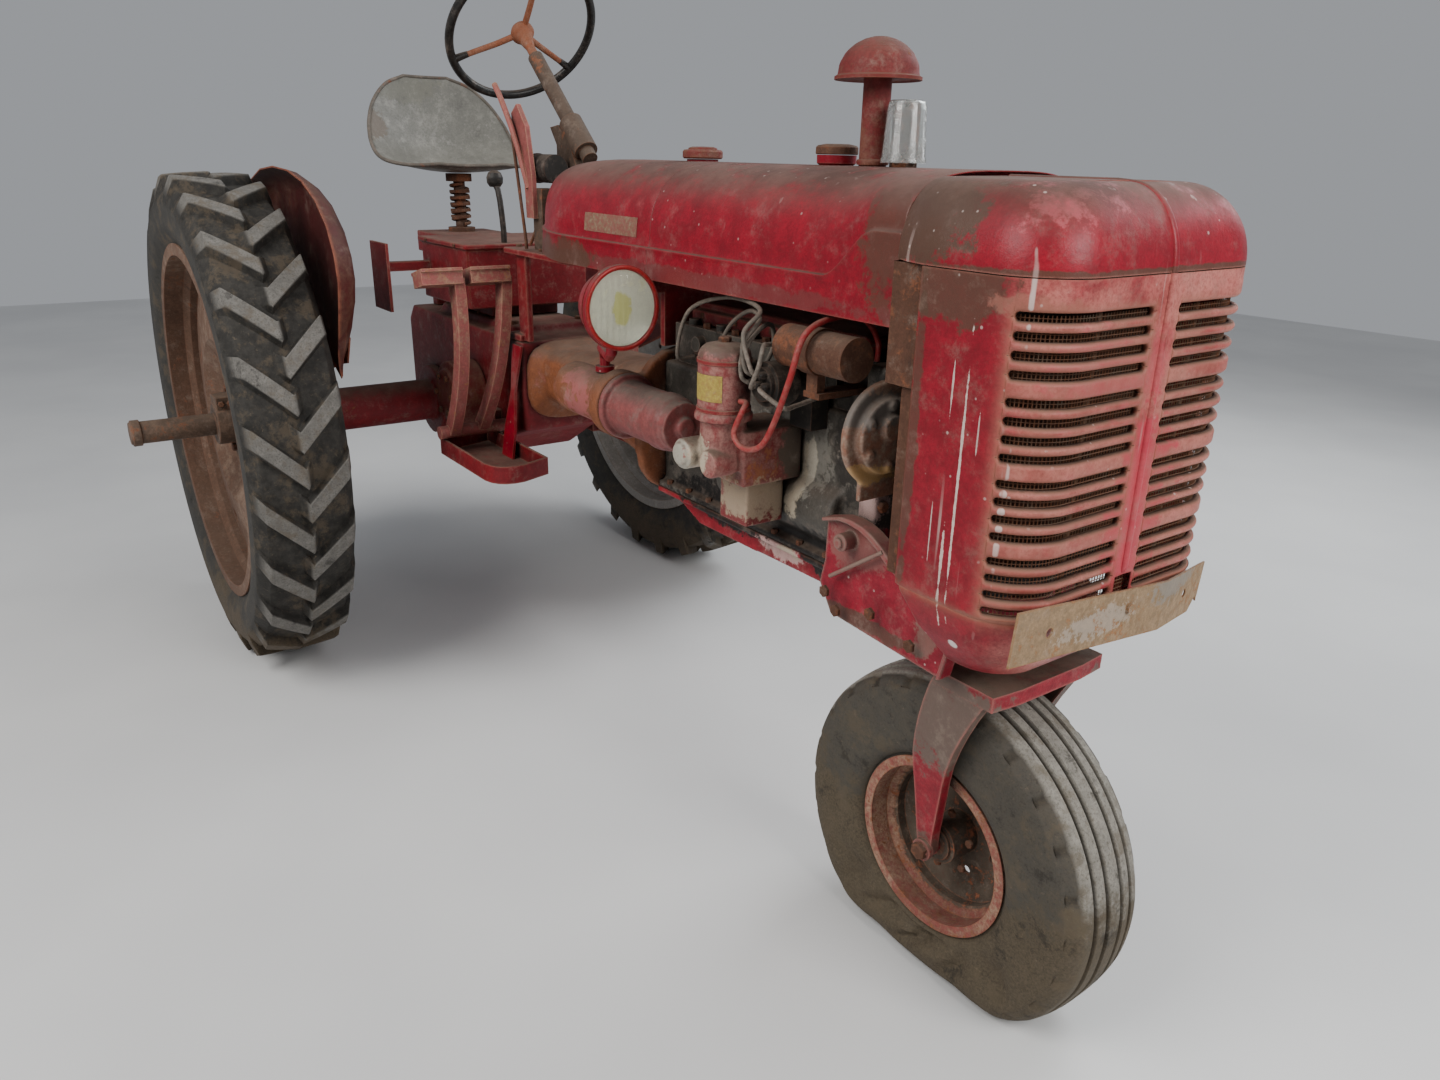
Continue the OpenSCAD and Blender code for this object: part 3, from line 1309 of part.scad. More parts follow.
module gear_lever() {
  z0 = box_top_z + seat_gap;
  place("darkolivegreen") {
    bent_bar([[370, -60, z0], [370, -60, z0 + 40], [352, -60, 1280], [330, -60, 1300]], 8);
    translate([330, -60, 1292]) rotate_extrude() polygon([
      [0, 0], [14, 0], [21, 10], [22, 24], [17, 36], [8, 42], [0, 42]]);
  }
}

module drawbar() {
  z = case_low_z - 12;
  place("saddlebrown") difference() {
    union() {
      block([-470, -38, z - 20], [120, 38, z]);
      translate([-470, 0, z - 20]) cylinder(r = 38, h = 20);
      block([-60, -90, z], [60, 90, case_low_z - seat_gap]);
    }
    translate([-470, 0, z - 30]) cylinder(r = 13, h = 40);
  }
}

module front_plate() {
  half = plate_w / 2;
  bend_at = [0, plate_bend_y];
  tip = bend_at + (half - plate_bend_y) * [-sin(plate_bend), cos(plate_bend)];
  back = rib_out + plate_stand_off + 0.5;
  place("darkkhaki") translate([plate_x, 0, 780]) {
    rotate([-plate_tilt, 0, 0]) difference() {
      translate([0, 0, -plate_h / 2]) linear_extrude(plate_h) polygon([
        [0, -half], [plate_t, -half], bend_at + [plate_t, 0], tip + [plate_t, 0], tip, bend_at]);
      translate([0, half - 14, -plate_h / 2]) rotate([45, 0, 0]) cube([120, 30, 30], center = true);
      for (y = [-180, 180]) barrel_x(-60, 30, y, 0, 7);
    }
    barrel_x(-back, plate_t + 5, 0, 10, 7);
  }
}

module fork() {
  y = leg_foot_y;
  place("firebrick") {
    both_sides() fork_leg();
    fork_crown();
    translate([pivot_x, 0, fork_crown_z + fork_crown_t]) cylinder(r = pivot_r, h = 112);
    barrel_y(-y - fork_leg_t - 12, y + fork_leg_t + 12, front_axle_x, front_axle_z, front_axle_r);
    both_sides() barrel_y(-y - fork_leg_t - 9, -y - fork_leg_t + 1, front_axle_x, front_axle_z, 20);
  }
}

module at_front_axle() {
  translate([front_axle_x, 0, front_axle_z]) children();
}

module front_rim() {
  place("firebrick") at_front_axle() front_wheel_rim();
}

module front_tyre() {
  place("darkslategray") at_front_axle() front_tyre_ring();
}

grille_shell();
grille_crown();
radiator();
fan();
fan_shroud();
hood();
fuel_tank();
tank_support();
fuel_cap();
filler_cap();
air_stack();
exhaust_pipe();
rain_jar();
engine_block();
cylinder_head();
valve_cover();
oil_pan();
oil_filter();
distributor();
ignition_coil();
ignition_leads();
starter();
governor();
manifold();
carburettor();
air_cleaner();
generator();
front_bolster();
clutch_housing();
transmission_case();
axle_housings();
brakes();
foot_platforms();
brake_pedals();
clutch_pedal();
seat_pan();
seat_post();
tool_box();
side_panels();
fenders();
lamp_bodies();
lamp_glass();
support_frame();
shield_plates();
steering_column();
gauges();
throttle_lever();
gear_lever();
drawbar();
front_plate();
fork();
front_rim();
front_tyre();
place("saddlebrown") at_rear_axle(-1) rear_rim();  // rear_rim_right
place("silver") at_rear_axle(1) rear_rim();  // rear_rim_left
place("sienna") at_rear_axle(-1) rear_axle();  // rear_axle_right
place("sienna") at_rear_axle(1) rear_axle();  // rear_axle_left
place("darkslategray") at_rear_axle(-1) rear_tyre();  // rear_tyre_right
place("darkslategray") at_rear_axle(1) rear_tyre();  // rear_tyre_left
steering_wheel();
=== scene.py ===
"""Looks of an old row-crop tractor with one front wheel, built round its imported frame.

Pieces are drawn in metres from the point on the floor under the rear axle, with X forward, Y to
the tractor's left and Z up. Yard.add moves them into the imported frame.
"""

import json
import logging
import math
from dataclasses import dataclass, field
from enum import Enum

import bmesh
import bpy
import numpy as np
from mathutils import Matrix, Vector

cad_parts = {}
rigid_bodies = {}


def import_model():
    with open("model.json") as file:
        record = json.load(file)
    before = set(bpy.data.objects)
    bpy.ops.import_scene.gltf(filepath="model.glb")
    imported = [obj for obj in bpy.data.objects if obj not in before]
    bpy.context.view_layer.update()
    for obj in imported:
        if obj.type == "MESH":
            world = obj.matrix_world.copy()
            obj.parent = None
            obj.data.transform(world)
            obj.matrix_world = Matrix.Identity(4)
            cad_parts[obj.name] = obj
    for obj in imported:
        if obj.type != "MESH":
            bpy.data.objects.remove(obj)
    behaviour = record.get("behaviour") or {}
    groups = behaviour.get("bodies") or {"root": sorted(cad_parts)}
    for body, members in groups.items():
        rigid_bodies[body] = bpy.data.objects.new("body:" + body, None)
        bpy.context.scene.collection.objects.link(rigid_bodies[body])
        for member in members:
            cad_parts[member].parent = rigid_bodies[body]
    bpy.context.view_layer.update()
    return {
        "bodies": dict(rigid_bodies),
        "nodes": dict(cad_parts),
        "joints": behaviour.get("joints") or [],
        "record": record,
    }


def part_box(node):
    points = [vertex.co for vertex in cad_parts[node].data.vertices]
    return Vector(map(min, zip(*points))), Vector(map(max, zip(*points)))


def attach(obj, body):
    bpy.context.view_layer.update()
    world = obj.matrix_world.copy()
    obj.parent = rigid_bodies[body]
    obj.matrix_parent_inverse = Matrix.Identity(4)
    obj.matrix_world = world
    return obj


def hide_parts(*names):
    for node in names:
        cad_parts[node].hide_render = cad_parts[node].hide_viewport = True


log = logging.getLogger("tractor")
Point = tuple[float, float, float]
Colour = tuple[float, float, float]
Socket = bpy.types.NodeSocket
# Points nearer to each other than this are merged
MERGE = 2e-5
# Mirrors points in the plane Y = 0
FLIP_Y = np.array([1, -1, 1])


class Body(Enum):
    """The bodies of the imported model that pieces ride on."""

    CHASSIS = "chassis"
    FORK = "fork"
    FRONT_WHEEL = "front_wheel"
    REAR_RIGHT = "rear_wheel_right"
    REAR_LEFT = "rear_wheel_left"
    STEERING = "steering_wheel"


# Shapes as arrays


@dataclass
class Sheet:
    """Points and faces of one mesh, with an optional wear value for each point."""

    points: np.ndarray
    faces: list[tuple[int, ...]]
    wear: np.ndarray | None = None


def grid_faces(
    rows: int, cols: int, wrap_rows: bool = False, wrap_cols: bool = False
) -> list[tuple[int, ...]]:
    """Quads of a grid: the corners (r, c), (r, c+1), (r+1, c+1), (r+1, c).

    Args:
        rows: number of rows of points.
        cols: number of points in a row.
        wrap_rows: joins the last row to the first.
        wrap_cols: joins the last point of a row to its first.

    Returns:
        The quads as index tuples.
    """
    r = np.arange(rows if wrap_rows else rows - 1)[:, None]
    c = np.arange(cols if wrap_cols else cols - 1)[None, :]
    r1, c1 = (r + 1) % rows, (c + 1) % cols
    quads = np.stack([r * cols + c, r * cols + c1, r1 * cols + c1, r1 * cols + c], axis=-1)
    return [tuple(q) for q in quads.reshape(-1, 4).tolist()]


def grid_sheet(
    points: np.ndarray, wrap_rows: bool = False, wrap_cols: bool = False, caps: bool = False
) -> Sheet:
    """Turns an array of rows x cols x 3 points into a mesh.

    Args:
        points: the grid.
        wrap_rows: closes the rows.
        wrap_cols: closes the columns.
        caps: closes the first and the last row with a face each.

    Returns:
        The mesh.
    """
    rows, cols = points.shape[:2]
    faces = grid_faces(rows, cols, wrap_rows, wrap_cols)
    if caps:
        faces.append(tuple(range(cols - 1, -1, -1)))
        faces.append(tuple(range((rows - 1) * cols, rows * cols)))
    return Sheet(points.reshape(-1, 3), faces)


def spread(x: np.ndarray | float, y: np.ndarray | float, z: np.ndarray | float) -> np.ndarray:
    """Points from their coordinates, which are repeated where one has fewer rows or columns.

    Args:
        x: X of the points.
        y: Y of the points.
        z: Z of the points.

    Returns:
        The points, whose last axis holds X, Y and Z.
    """
    return np.stack(np.broadcast_arrays(x, y, z), axis=-1)


def joined(sheets: list[Sheet]) -> Sheet:
    """Puts several meshes into one, one after the other.

    Args:
        sheets: the meshes; one without wear counts as unworn when another has it.

    Returns:
        The one mesh.
    """
    faces: list[tuple[int, ...]] = []
    start = 0
    for s in sheets:
        faces += [tuple(i + start for i in f) for f in s.faces]
        start += len(s.points)
    wear = None
    if any(s.wear is not None for s in sheets):
        wear = np.concatenate([s.wear if s.wear is not None else np.zeros(len(s.points)) for s in sheets])
    return Sheet(np.concatenate([s.points for s in sheets]), faces, wear)


def smooth_path(points: list[Point] | np.ndarray, steps: int = 8) -> np.ndarray:
    """Catmull-Rom curve through points: the cubic whose slope at a point is half the step across it.

    Args:
        points: the points that the curve goes through, with three numbers each or more.
        steps: points on each stretch.

    Returns:
        The curve, one row for each of its points.
    """
    p = np.array(points, float)
    p = np.concatenate([[2 * p[0] - p[1]], p, [2 * p[-1] - p[-2]]])
    t = (np.arange(steps) / steps)[None, :, None]
    a, b, c, d = p[:-3, None], p[1:-2, None], p[2:-1, None], p[3:, None]
    curve = 0.5 * (
        2 * b + (c - a) * t + (2 * a - 5 * b + 4 * c - d) * t**2 + (3 * b - a - 3 * c + d) * t**3)
    return np.concatenate([curve.reshape(-1, p.shape[1]), p[-2:-1]])


def frames_along(path: np.ndarray) -> tuple[np.ndarray, np.ndarray]:
    """Two directions across each point of a path, carried along it with as little twist as possible.

    Args:
        path: n x 3 points.

    Returns:
        The first and the second direction at each point.
    """
    odd_way = [0.31, 0.2, 0.93]
    along = np.gradient(path, axis=0)
    along /= np.linalg.norm(along, axis=1, keepdims=True)
    start = np.cross(along[0], odd_way)
    across = np.empty_like(along)
    across[0] = start / np.linalg.norm(start)
    for i in range(1, len(along)):
        step = across[i - 1] - along[i] * np.dot(across[i - 1], along[i])
        across[i] = step / np.linalg.norm(step)
    return across, np.cross(along, across)


def tube(path: np.ndarray, radius: float | np.ndarray, sides: int = 10) -> Sheet:
    """Round tube: at each point p of the path the ring p + r (cos a U + sin a V).

    Args:
        path: n x 3 points.
        radius: one radius, or one for each point.
        sides: points round the ring.

    Returns:
        The closed mesh.
    """
    u, v = frames_along(path)
    a = np.linspace(0, 2 * math.pi, sides, endpoint=False)
    r = np.broadcast_to(np.asarray(radius, float), (len(path),))[:, None, None]
    ring = np.cos(a)[None, :, None] * u[:, None] + np.sin(a)[None, :, None] * v[:, None]
    return grid_sheet(path[:, None] + r * ring, wrap_cols=True, caps=True)


def turned(profile: list[tuple[float, float]], centre: Point, axis: str, sides: int = 48) -> Sheet:
    """Turned shape: each (radius, along) pair of the profile goes round the axis through the centre.

    Args:
        profile: pairs of radius and distance along the axis, closed when it ends on the axis twice.
        centre: the point from which the distances count.
        axis: "x", "y" or "z".
        sides: steps round the axis.

    Returns:
        The mesh.
    """
    p = np.array(profile, float)
    a = np.linspace(0, 2 * math.pi, sides, endpoint=False)
    r, h = p[:, 0][:, None], np.broadcast_to(p[:, 1][:, None], (len(p), len(a)))
    first, second = r * np.cos(a), r * np.sin(a)
    order = {"x": (h, first, second), "y": (second, h, first), "z": (first, second, h)}[axis]
    points = np.stack(order, axis=-1) + np.array(centre)
    return grid_sheet(points, wrap_cols=True)


def hex_heads(places: list[Point], axis: str, radius: float = 0.008, height: float = 0.006) -> Sheet:
    """Six-sided bolt heads with a chamfered top, one at each place, all along one axis.

    Args:
        places: middle of each head's foot.
        axis: "x", "y" or "z".
        radius: from the middle to a corner.
        height: height of a head, below zero where it points the other way.

    Returns:
        All heads as one mesh.
    """
    sunk, chamfer = -0.002, 0.8
    profile = [
        (0, sunk), (radius, sunk), (radius, height * chamfer), (radius * chamfer, height), (0, height)]
    base = turned(profile, (0, 0, 0), axis, 6)
    return joined([Sheet(base.points + np.array(p), base.faces) for p in places])


def around(centre: Point, radius: float, start: int, y: float) -> list[Point]:
    """Six places in a ring round a centre, all at one Y.

    Args:
        centre: the middle; its Y isn't used.
        radius: of the ring.
        start: angle of the first place in degrees.
        y: Y of the places.

    Returns:
        The places.
    """
    turns = np.radians(np.arange(start, start + 360, 60))
    return [(centre[0] + radius * math.cos(a), y, centre[2] + radius * math.sin(a)) for a in turns]


def both_sides(sheet: Sheet) -> Sheet:
    """A mesh with its mirror image in the plane Y = 0, whose faces are turned round.

    Args:
        sheet: the mesh.

    Returns:
        Both as one mesh.
    """
    twin = Sheet(sheet.points * FLIP_Y, [tuple(reversed(f)) for f in sheet.faces], sheet.wear)
    return joined([sheet, twin])


def linked(name: str, data: bpy.types.ID) -> bpy.types.Object:
    """An object with its data, put into the scene.

    Args:
        name: the object's name.
        data: its mesh, light or camera.

    Returns:
        The object.
    """
    obj = bpy.data.objects.new(name, data)
    bpy.context.scene.collection.objects.link(obj)
    return obj


def standing(
    x_axis: np.ndarray, y_axis: np.ndarray, z_axis: np.ndarray, at: np.ndarray | Point
) -> Matrix:
    """Matrix of an object.

    Args:
        x_axis: its X axis.
        y_axis: its Y axis.
        z_axis: its Z axis.
        at: its place.

    Returns:
        The matrix, with these four as its columns.
    """
    matrix = np.eye(4)
    matrix[:3] = np.stack([x_axis, y_axis, z_axis, at], axis=-1)
    return Matrix(matrix.tolist())


def smoothed(mesh: bpy.types.Mesh) -> None:
    """Shades all faces of a mesh smooth."""
    mesh.polygons.foreach_set("use_smooth", np.ones(len(mesh.polygons), bool))


# Finishes


def toned(colour: Colour, factor: float, lift: float = 0.0) -> Colour:
    """A lighter or darker colour.

    Args:
        colour: the colour.
        factor: multiplies each part.
        lift: is added to each part.

    Returns:
        The colour, with no part over 1.
    """
    return tuple(min(1.0, c * factor + lift) for c in colour)


class Graph:
    """Builder of one node material round a Principled shader."""

    def __init__(self, name: str, shift: float = 0.0) -> None:
        """Makes an empty material with its shader and output.

        Args:
            name: the material's name.
            shift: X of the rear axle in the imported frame.
        """
        self.shift = shift
        self.material = bpy.data.materials.new(name)
        self.material.use_nodes = True
        self.tree = self.material.node_tree
        self.tree.nodes.clear()
        self.shader = self.add("ShaderNodeBsdfPrincipled")
        out = self.add("ShaderNodeOutputMaterial")
        self.tree.links.new(self.shader.outputs[0], out.inputs["Surface"])
        self.place = self.add("ShaderNodeTexCoord")
        self.split = self.add("ShaderNodeSeparateXYZ", Vector=self.place.outputs["Object"])

    def add(self, kind: str, **inputs: object) -> bpy.types.Node:
        """Adds a node and sets or links its named inputs.

        Args:
            kind: the node's type.
            inputs: values or sockets by input name, with _ for a space.

        Returns:
            The node.
        """
        node = self.tree.nodes.new(kind)
        for key, value in inputs.items():
            self.put(node.inputs[key.replace("_", " ")], value)
        return node

    def put(self, socket: Socket, value: object) -> None:
        """Links a socket to a socket, or sets it to a value.

        Args:
            socket: the input.
            value: an output to link, or a value. A colour of three parts gets a fourth of 1.
        """
        if isinstance(value, Socket):
            self.tree.links.new(value, socket)
        elif isinstance(value, tuple) and len(value) == 3 and len(socket.default_value) == 4:
            socket.default_value = (*value, 1.0)
        else:
            socket.default_value = value

    def shade(self, **inputs: object) -> None:
        """Sets or links inputs of the shader, named with _ for a space."""
        for key, value in inputs.items():
            self.put(self.shader.inputs[key.replace("_", " ")], value)

    def noise(
        self, scale: float, detail: float = 4.0, rough: float = 0.6, stretch: Point = (1, 1, 1),
        shift: float = 0.0
    ) -> Socket:
        """Noise on Object coordinates.

        Args:
            scale: waves to a metre.
            detail: number of octaves.
            rough: weight of the finer octaves.
            stretch: a scale for each axis.
            shift: moves the pattern, so that two noises differ.

        Returns:
            The noise.
        """
        spot = self.add(
            "ShaderNodeMapping", Vector=self.place.outputs["Object"], Scale=stretch,
            Location=(shift, shift * 0.7, shift * 1.3))
        return self.add(
            "ShaderNodeTexNoise", Vector=spot.outputs[0], Scale=scale, Detail=detail, Roughness=rough
        ).outputs["Fac"]

    def band(self, value: object, low: float, high: float, top: float = 1.0) -> Socket:
        """Smooth step.

        Args:
            value: what is looked at.
            low: value at which the step gives 0.
            high: value at which it gives its top.
            top: what it rises to.

        Returns:
            The step.
        """
        node = self.add("ShaderNodeMapRange")
        node.interpolation_type = "SMOOTHSTEP"
        for key, v in (
            ("Value", value), ("From Min", low), ("From Max", high), ("To Min", 0.0), ("To Max", top)
        ):
            self.put(node.inputs[key], v)
        return node.outputs["Result"]

    def cover(self, value: object, low: float, high: float, drop: float, top: float = 1.0) -> Socket:
        """Band whose ends are drawn down, so that more of the surface is covered.

        Args:
            value: what is looked at.
            low: lower end of the band before it is drawn down.
            high: its upper end.
            drop: how far both go down.
            top: what the band rises to.

        Returns:
            The covered share.
        """
        return self.band(value, low - drop, high - drop, top)

    def calc(self, operation: str, a: object, b: object) -> Socket:
        """One sum on two values.

        Args:
            operation: the sum's name in Blender.
            a: the first value.
            b: the second value.

        Returns:
            The result, kept between 0 and 1.
        """
        node = self.add("ShaderNodeMath")
        node.operation = operation
        node.use_clamp = True
        self.put(node.inputs[0], a)
        self.put(node.inputs[1], b)
        return node.outputs[0]

    def times(self, a: object, b: object) -> Socket:
        """Product of two values, kept between 0 and 1."""
        return self.calc("MULTIPLY", a, b)

    def plus(self, a: object, b: object) -> Socket:
        """Sum of two values, kept between 0 and 1."""
        return self.calc("ADD", a, b)

    def blend(self, a: Socket, a_share: float, b: Socket, b_share: float) -> Socket:
        """Sum of two values with a share each, kept between 0 and 1."""
        return self.plus(self.times(a, a_share), self.times(b, b_share))

    def fray(self, noise: Socket, width: float, value: Socket) -> Socket:
        """A value plus noise of a width, not kept between 0 and 1.

        Args:
            noise: the noise.
            width: what it is multiplied by.
            value: what it is added to.

        Returns:
            The sum.
        """
        node = self.add("ShaderNodeMath")
        node.operation = "MULTIPLY_ADD"
        for socket, v in zip(node.inputs, (noise, width, value)):
            self.put(socket, v)
        return node.outputs[0]

    def vector(self, operation: str, a: object, b: object = (0.0, 0.0, 0.0)) -> bpy.types.Node:
        """One sum on vectors.

        Args:
            operation: the sum's name in Blender.
            a: the first vector.
            b: the second vector, where the sum has one.

        Returns:
            The node, with a vector and a number as its outputs.
        """
        node = self.add("ShaderNodeVectorMath")
        node.operation = operation
        self.put(node.inputs[0], a)
        self.put(node.inputs[1], b)
        return node

    def mix(self, share: object, a: object, b: object) -> Socket:
        """Colour between two colours.

        Args:
            share: 0 for the first, 1 for the second.
            a: the first colour.
            b: the second colour.

        Returns:
            The colour.
        """
        node = self.add("ShaderNodeMix")
        node.data_type = "RGBA"
        for place, value in ((0, share), (6, a), (7, b)):
            self.put(node.inputs[place], value)
        return node.outputs[2]

    def upward(self) -> Socket:
        """Height part of the surface's normal."""
        return self.add("ShaderNodeSeparateXYZ", Vector=self.place.outputs["Normal"]).outputs[2]

    def edges(self, width: float) -> Socket:
        """Share by which a rounded normal leaves the flat one, high along edges.

        Args:
            width: radius of the rounding.

        Returns:
            The share.
        """
        rounded = self.add("ShaderNodeBevel", Radius=width)
        rounded.samples = 3
        flat = self.add("ShaderNodeNewGeometry")
        dot = self.vector("DOT_PRODUCT", rounded.outputs[0], flat.outputs["Normal"])
        return self.band(dot.outputs["Value"], 0.995, 0.86)

    def attribute(self, name: str) -> Socket:
        """A value that the mesh carries for each point.

        Args:
            name: the value's name.

        Returns:
            The value, 0 where the mesh doesn't have it.
        """
        node = self.add("ShaderNodeAttribute")
        node.attribute_name = name
        return node.outputs["Fac"]

    def bump(self, height: object, distance: float, strength: float = 0.7) -> None:
        """Raises the surface by a height pattern.

        Args:
            height: the pattern.
            distance: height of its full value, in metres.
            strength: share of the effect.
        """
        node = self.add("ShaderNodeBump", Height=height, Distance=distance, Strength=strength)
        self.shade(Normal=node.outputs[0])


@dataclass(frozen=True)
class Noises:
    """Noises from coarse to fine, and one drawn out into drips, that the layers of a finish share."""

    large: Socket
    blotch: Socket
    medium: Socket
    fine: Socket
    drip: Socket


@dataclass(frozen=True)
class StainAndPaintedLight:
    """Patch of another colour round a place, with a ragged edge: mostly a stain, on a few finishes a painted
    highlight or glow. Its size is half its length each way.
    """

    at: Point
    size: Point
    colour: Colour
    strength: float = 0.9
    ragged: float = 1.1

    def lay(self, g: Graph, colour: Socket, noise: Socket) -> Socket:
        """Mixes the patch into a colour. Its share falls with the length of (place - middle) / size
        plus noise.

        Args:
            g: the graph.
            colour: the colour below.
            noise: noise that frays the edge.

        Returns:
            The new colour.
        """
        away = g.vector(
            "SUBTRACT", g.place.outputs["Object"], (self.at[0] + g.shift, self.at[1], self.at[2]))
        share = g.vector("DIVIDE", away.outputs[0], self.size)
        length = g.vector("LENGTH", share.outputs[0])
        frayed = g.fray(noise, self.ragged * 2, length.outputs["Value"])
        return g.mix(
            g.band(frayed, 1.0 + self.ragged, 0.75 + self.ragged, self.strength), colour, self.colour)


@dataclass(frozen=True)
class Disc:
    """Patch of another colour round a wheel's axle, out to where its edge lies between two radii."""

    x: float
    z: float
    low: float
    high: float
    colour: Colour
    ragged: float = 0.03

    def lay(self, g: Graph, colour: Socket, n: Noises) -> Socket:
        """Mixes the disc into a colour by the distance from the axle plus noise.

        Args:
            g: the graph.
            colour: the colour below.
            n: its noises.

        Returns:
            The new colour.
        """
        side = g.add("ShaderNodeCombineXYZ", X=g.split.outputs[0], Z=g.split.outputs[2])
        away = g.vector("DISTANCE", side.outputs[0], (self.x + g.shift, 0.0, self.z))
        reach = g.fray(n.medium, self.ragged, away.outputs["Value"])
        inner = g.mix(g.band(n.blotch, 0.35, 0.65, 0.7), self.colour, toned(self.colour, 0.45))
        return g.mix(g.band(reach, self.low + self.ragged / 2, self.high + self.ragged / 2), inner, colour)


@dataclass(frozen=True)
class Shares:
    """How much of a finish rust, dust and grime cover and how much of it has faded, each 0 to 1."""

    rust: float
    dust: float
    grime: float
    fade: float


@dataclass(frozen=True)
class Weathered:
    """Paint or bare metal that has stood outside: a colour that varies, rust, dust, grime and worn edges,
    with painted shade in hollows and, on a few finishes, patches of painted light.
    """

    name: str
    base: Colour
    faded: Colour
    share: Shares
    rust: Colour = (0.13, 0.045, 0.02)
    dust: Colour = (0.16, 0.115, 0.085)
    # Colour of grime in drips, also used for the painted shade in hollows.
    grime: Colour = (0.014, 0.010, 0.008)
    edge: Colour | None = None
    edge_wear: float = 0.5
    edge_width: float = 0.004
    roughness: float = 0.5
    metallic: float = 0.0
    rough_surface: float = 0.0006
    patch: float = 9.0
    scratches: float = 0.0
    specks: float = 0.0
    # Share of painted shade in hollows, found by ambient occlusion and drawn in the grime colour as grime and
    # shade.
    hollow_grime_and_shade: float = 0.0
    mottle: float = 0.75
    film: float = 1.0
    # Painted light: X range over which the front face is drawn toward the pale faded colour, standing for the
    # light on it.
    lit_front_x: tuple[float, float] | None = None
    disc: Disc | None = None
    # Stains, and on a few finishes patches of painted light.
    stains_and_painted_light: tuple[StainAndPaintedLight, ...] = ()
    scratch: Colour = (0.55, 0.42, 0.38)
    chip: Colour = (0.60, 0.50, 0.45)

    def build(self, shift: float) -> bpy.types.Material:
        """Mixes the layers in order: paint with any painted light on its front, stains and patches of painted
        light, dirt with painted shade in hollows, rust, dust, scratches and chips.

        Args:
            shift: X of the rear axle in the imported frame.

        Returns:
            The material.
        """
        g = Graph(self.name, shift)
        n = Noises(
            g.noise(1.9, 3, 0.5), g.noise(self.patch, 8, 0.72, shift=3.1),
            g.noise(self.patch * 4.1, 6, 0.72, shift=17.0), g.noise(210, 4, 0.75, shift=7.0),
            g.noise(13, 6, 0.66, (1.0, 1.0, 0.13), 11.0))
        colour = self.painted(g, n)
        # Stains, and patches of painted light where a finish has them.
        for stain_and_light in self.stains_and_painted_light:
            colour = stain_and_light.lay(g, colour, n.medium)
        colour, rusty = self.rusted(g, n, self.dirtied_and_shaded(g, n, colour))
        dusty = g.times(g.band(g.upward(), 0.30, 0.97, self.share.dust), g.band(n.medium, 0.15, 0.5))
        dust = g.mix(g.band(n.blotch, 0.35, 0.65), self.dust, toned(self.dust, 0.55))
        g.shade(Base_Color=self.marked(g, n, g.mix(dusty, colour, dust)))
        self.surface(g, n, rusty, dusty)
        return g.material

    def painted(self, g: Graph, n: Noises) -> Socket:
        """Paint in its shades, with what has faded, painted light on the front face where the finish has a
        front band, and the disc round the axle.

        Args:
            g: the graph.
            n: its noises.

        Returns:
            The colour.
        """
        shade = g.mix(g.band(n.medium, 0.32, 0.68, self.mottle), self.base, toned(self.base, 0.5))
        fade = g.cover(g.blend(n.large, 0.45, n.medium, 0.55), 0.66, 0.82, 0.36 * self.share.fade)
        # Painted light: the front face is drawn toward the pale faded colour, which stands for the light
        # falling on it.
        if self.lit_front_x:
            front = g.band(g.split.outputs[0], self.lit_front_x[0] + g.shift, self.lit_front_x[1] + g.shift)
            fade = g.plus(fade, g.times(front, g.band(n.blotch, 0.30, 0.60, 0.95)))
        colour = g.mix(fade, shade, self.faded)
        colour = g.mix(g.band(n.fine, 0.42, 0.66, self.mottle * 0.55), colour, toned(self.base, 0.45))
        return self.disc.lay(g, colour, n) if self.disc else colour

    def dirtied_and_shaded(self, g: Graph, n: Noises, colour: Socket) -> Socket:
        """Grime in drips, grime and painted shade in hollows by ambient occlusion, then a film that is pale
        here and dark there.

        Args:
            g: the graph.
            n: its noises.
            colour: the colour below.

        Returns:
            The new colour.
        """
        dirt = g.cover(g.blend(n.drip, 0.6, n.blotch, 0.4), 0.74, 0.88, 0.4 * self.share.grime, 0.85)
        # Painted shade: ambient occlusion darkens the hollows towards the grime colour, which stands for
        # grime and for shade at once.
        if self.hollow_grime_and_shade:
            occlusion_shade = g.add("ShaderNodeAmbientOcclusion", Distance=0.045)
            occlusion_shade.samples = 3
            dirt = g.plus(dirt, g.band(occlusion_shade.outputs["AO"], 0.86, 0.35, self.hollow_grime_and_shade))
        colour = g.mix(dirt, colour, self.grime)
        film = g.noise(self.patch * 2.1, 9, 0.8, shift=41.0)
        colour = g.mix(g.band(film, 0.50, 0.72, 0.42 * self.film), colour, toned(self.dust, 1.5, 0.05))
        return g.mix(g.band(film, 0.46, 0.30, 0.55 * self.film), colour, toned(self.base, 0.35))

    def rusted(self, g: Graph, n: Noises, colour: Socket) -> tuple[Socket, Socket]:
        """Worn edges, in their own colour where the finish has one, and rust.

        Args:
            g: the graph.
            n: its noises.
            colour: the colour below.

        Returns:
            The new colour and the share of rust.
        """
        worn = g.times(
            g.edges(self.edge_width), g.band(n.medium, 0.30, 0.55, min(1.0, self.edge_wear * 1.6)))
        worn = g.plus(worn, g.times(g.attribute("wear"), g.band(n.medium, 0.25, 0.55)))
        if self.edge:
            colour = g.mix(worn, colour, self.edge)
            worn = g.times(worn, 0.25)
        patches = g.cover(g.blend(n.blotch, 0.5, n.medium, 0.5), 0.72, 0.80, 0.36 * self.share.rust)
        rusty = g.plus(worn, patches)
        return g.mix(
            rusty, colour, g.mix(g.band(n.fine, 0.3, 0.7), self.rust, toned(self.rust, 1.9))), rusty

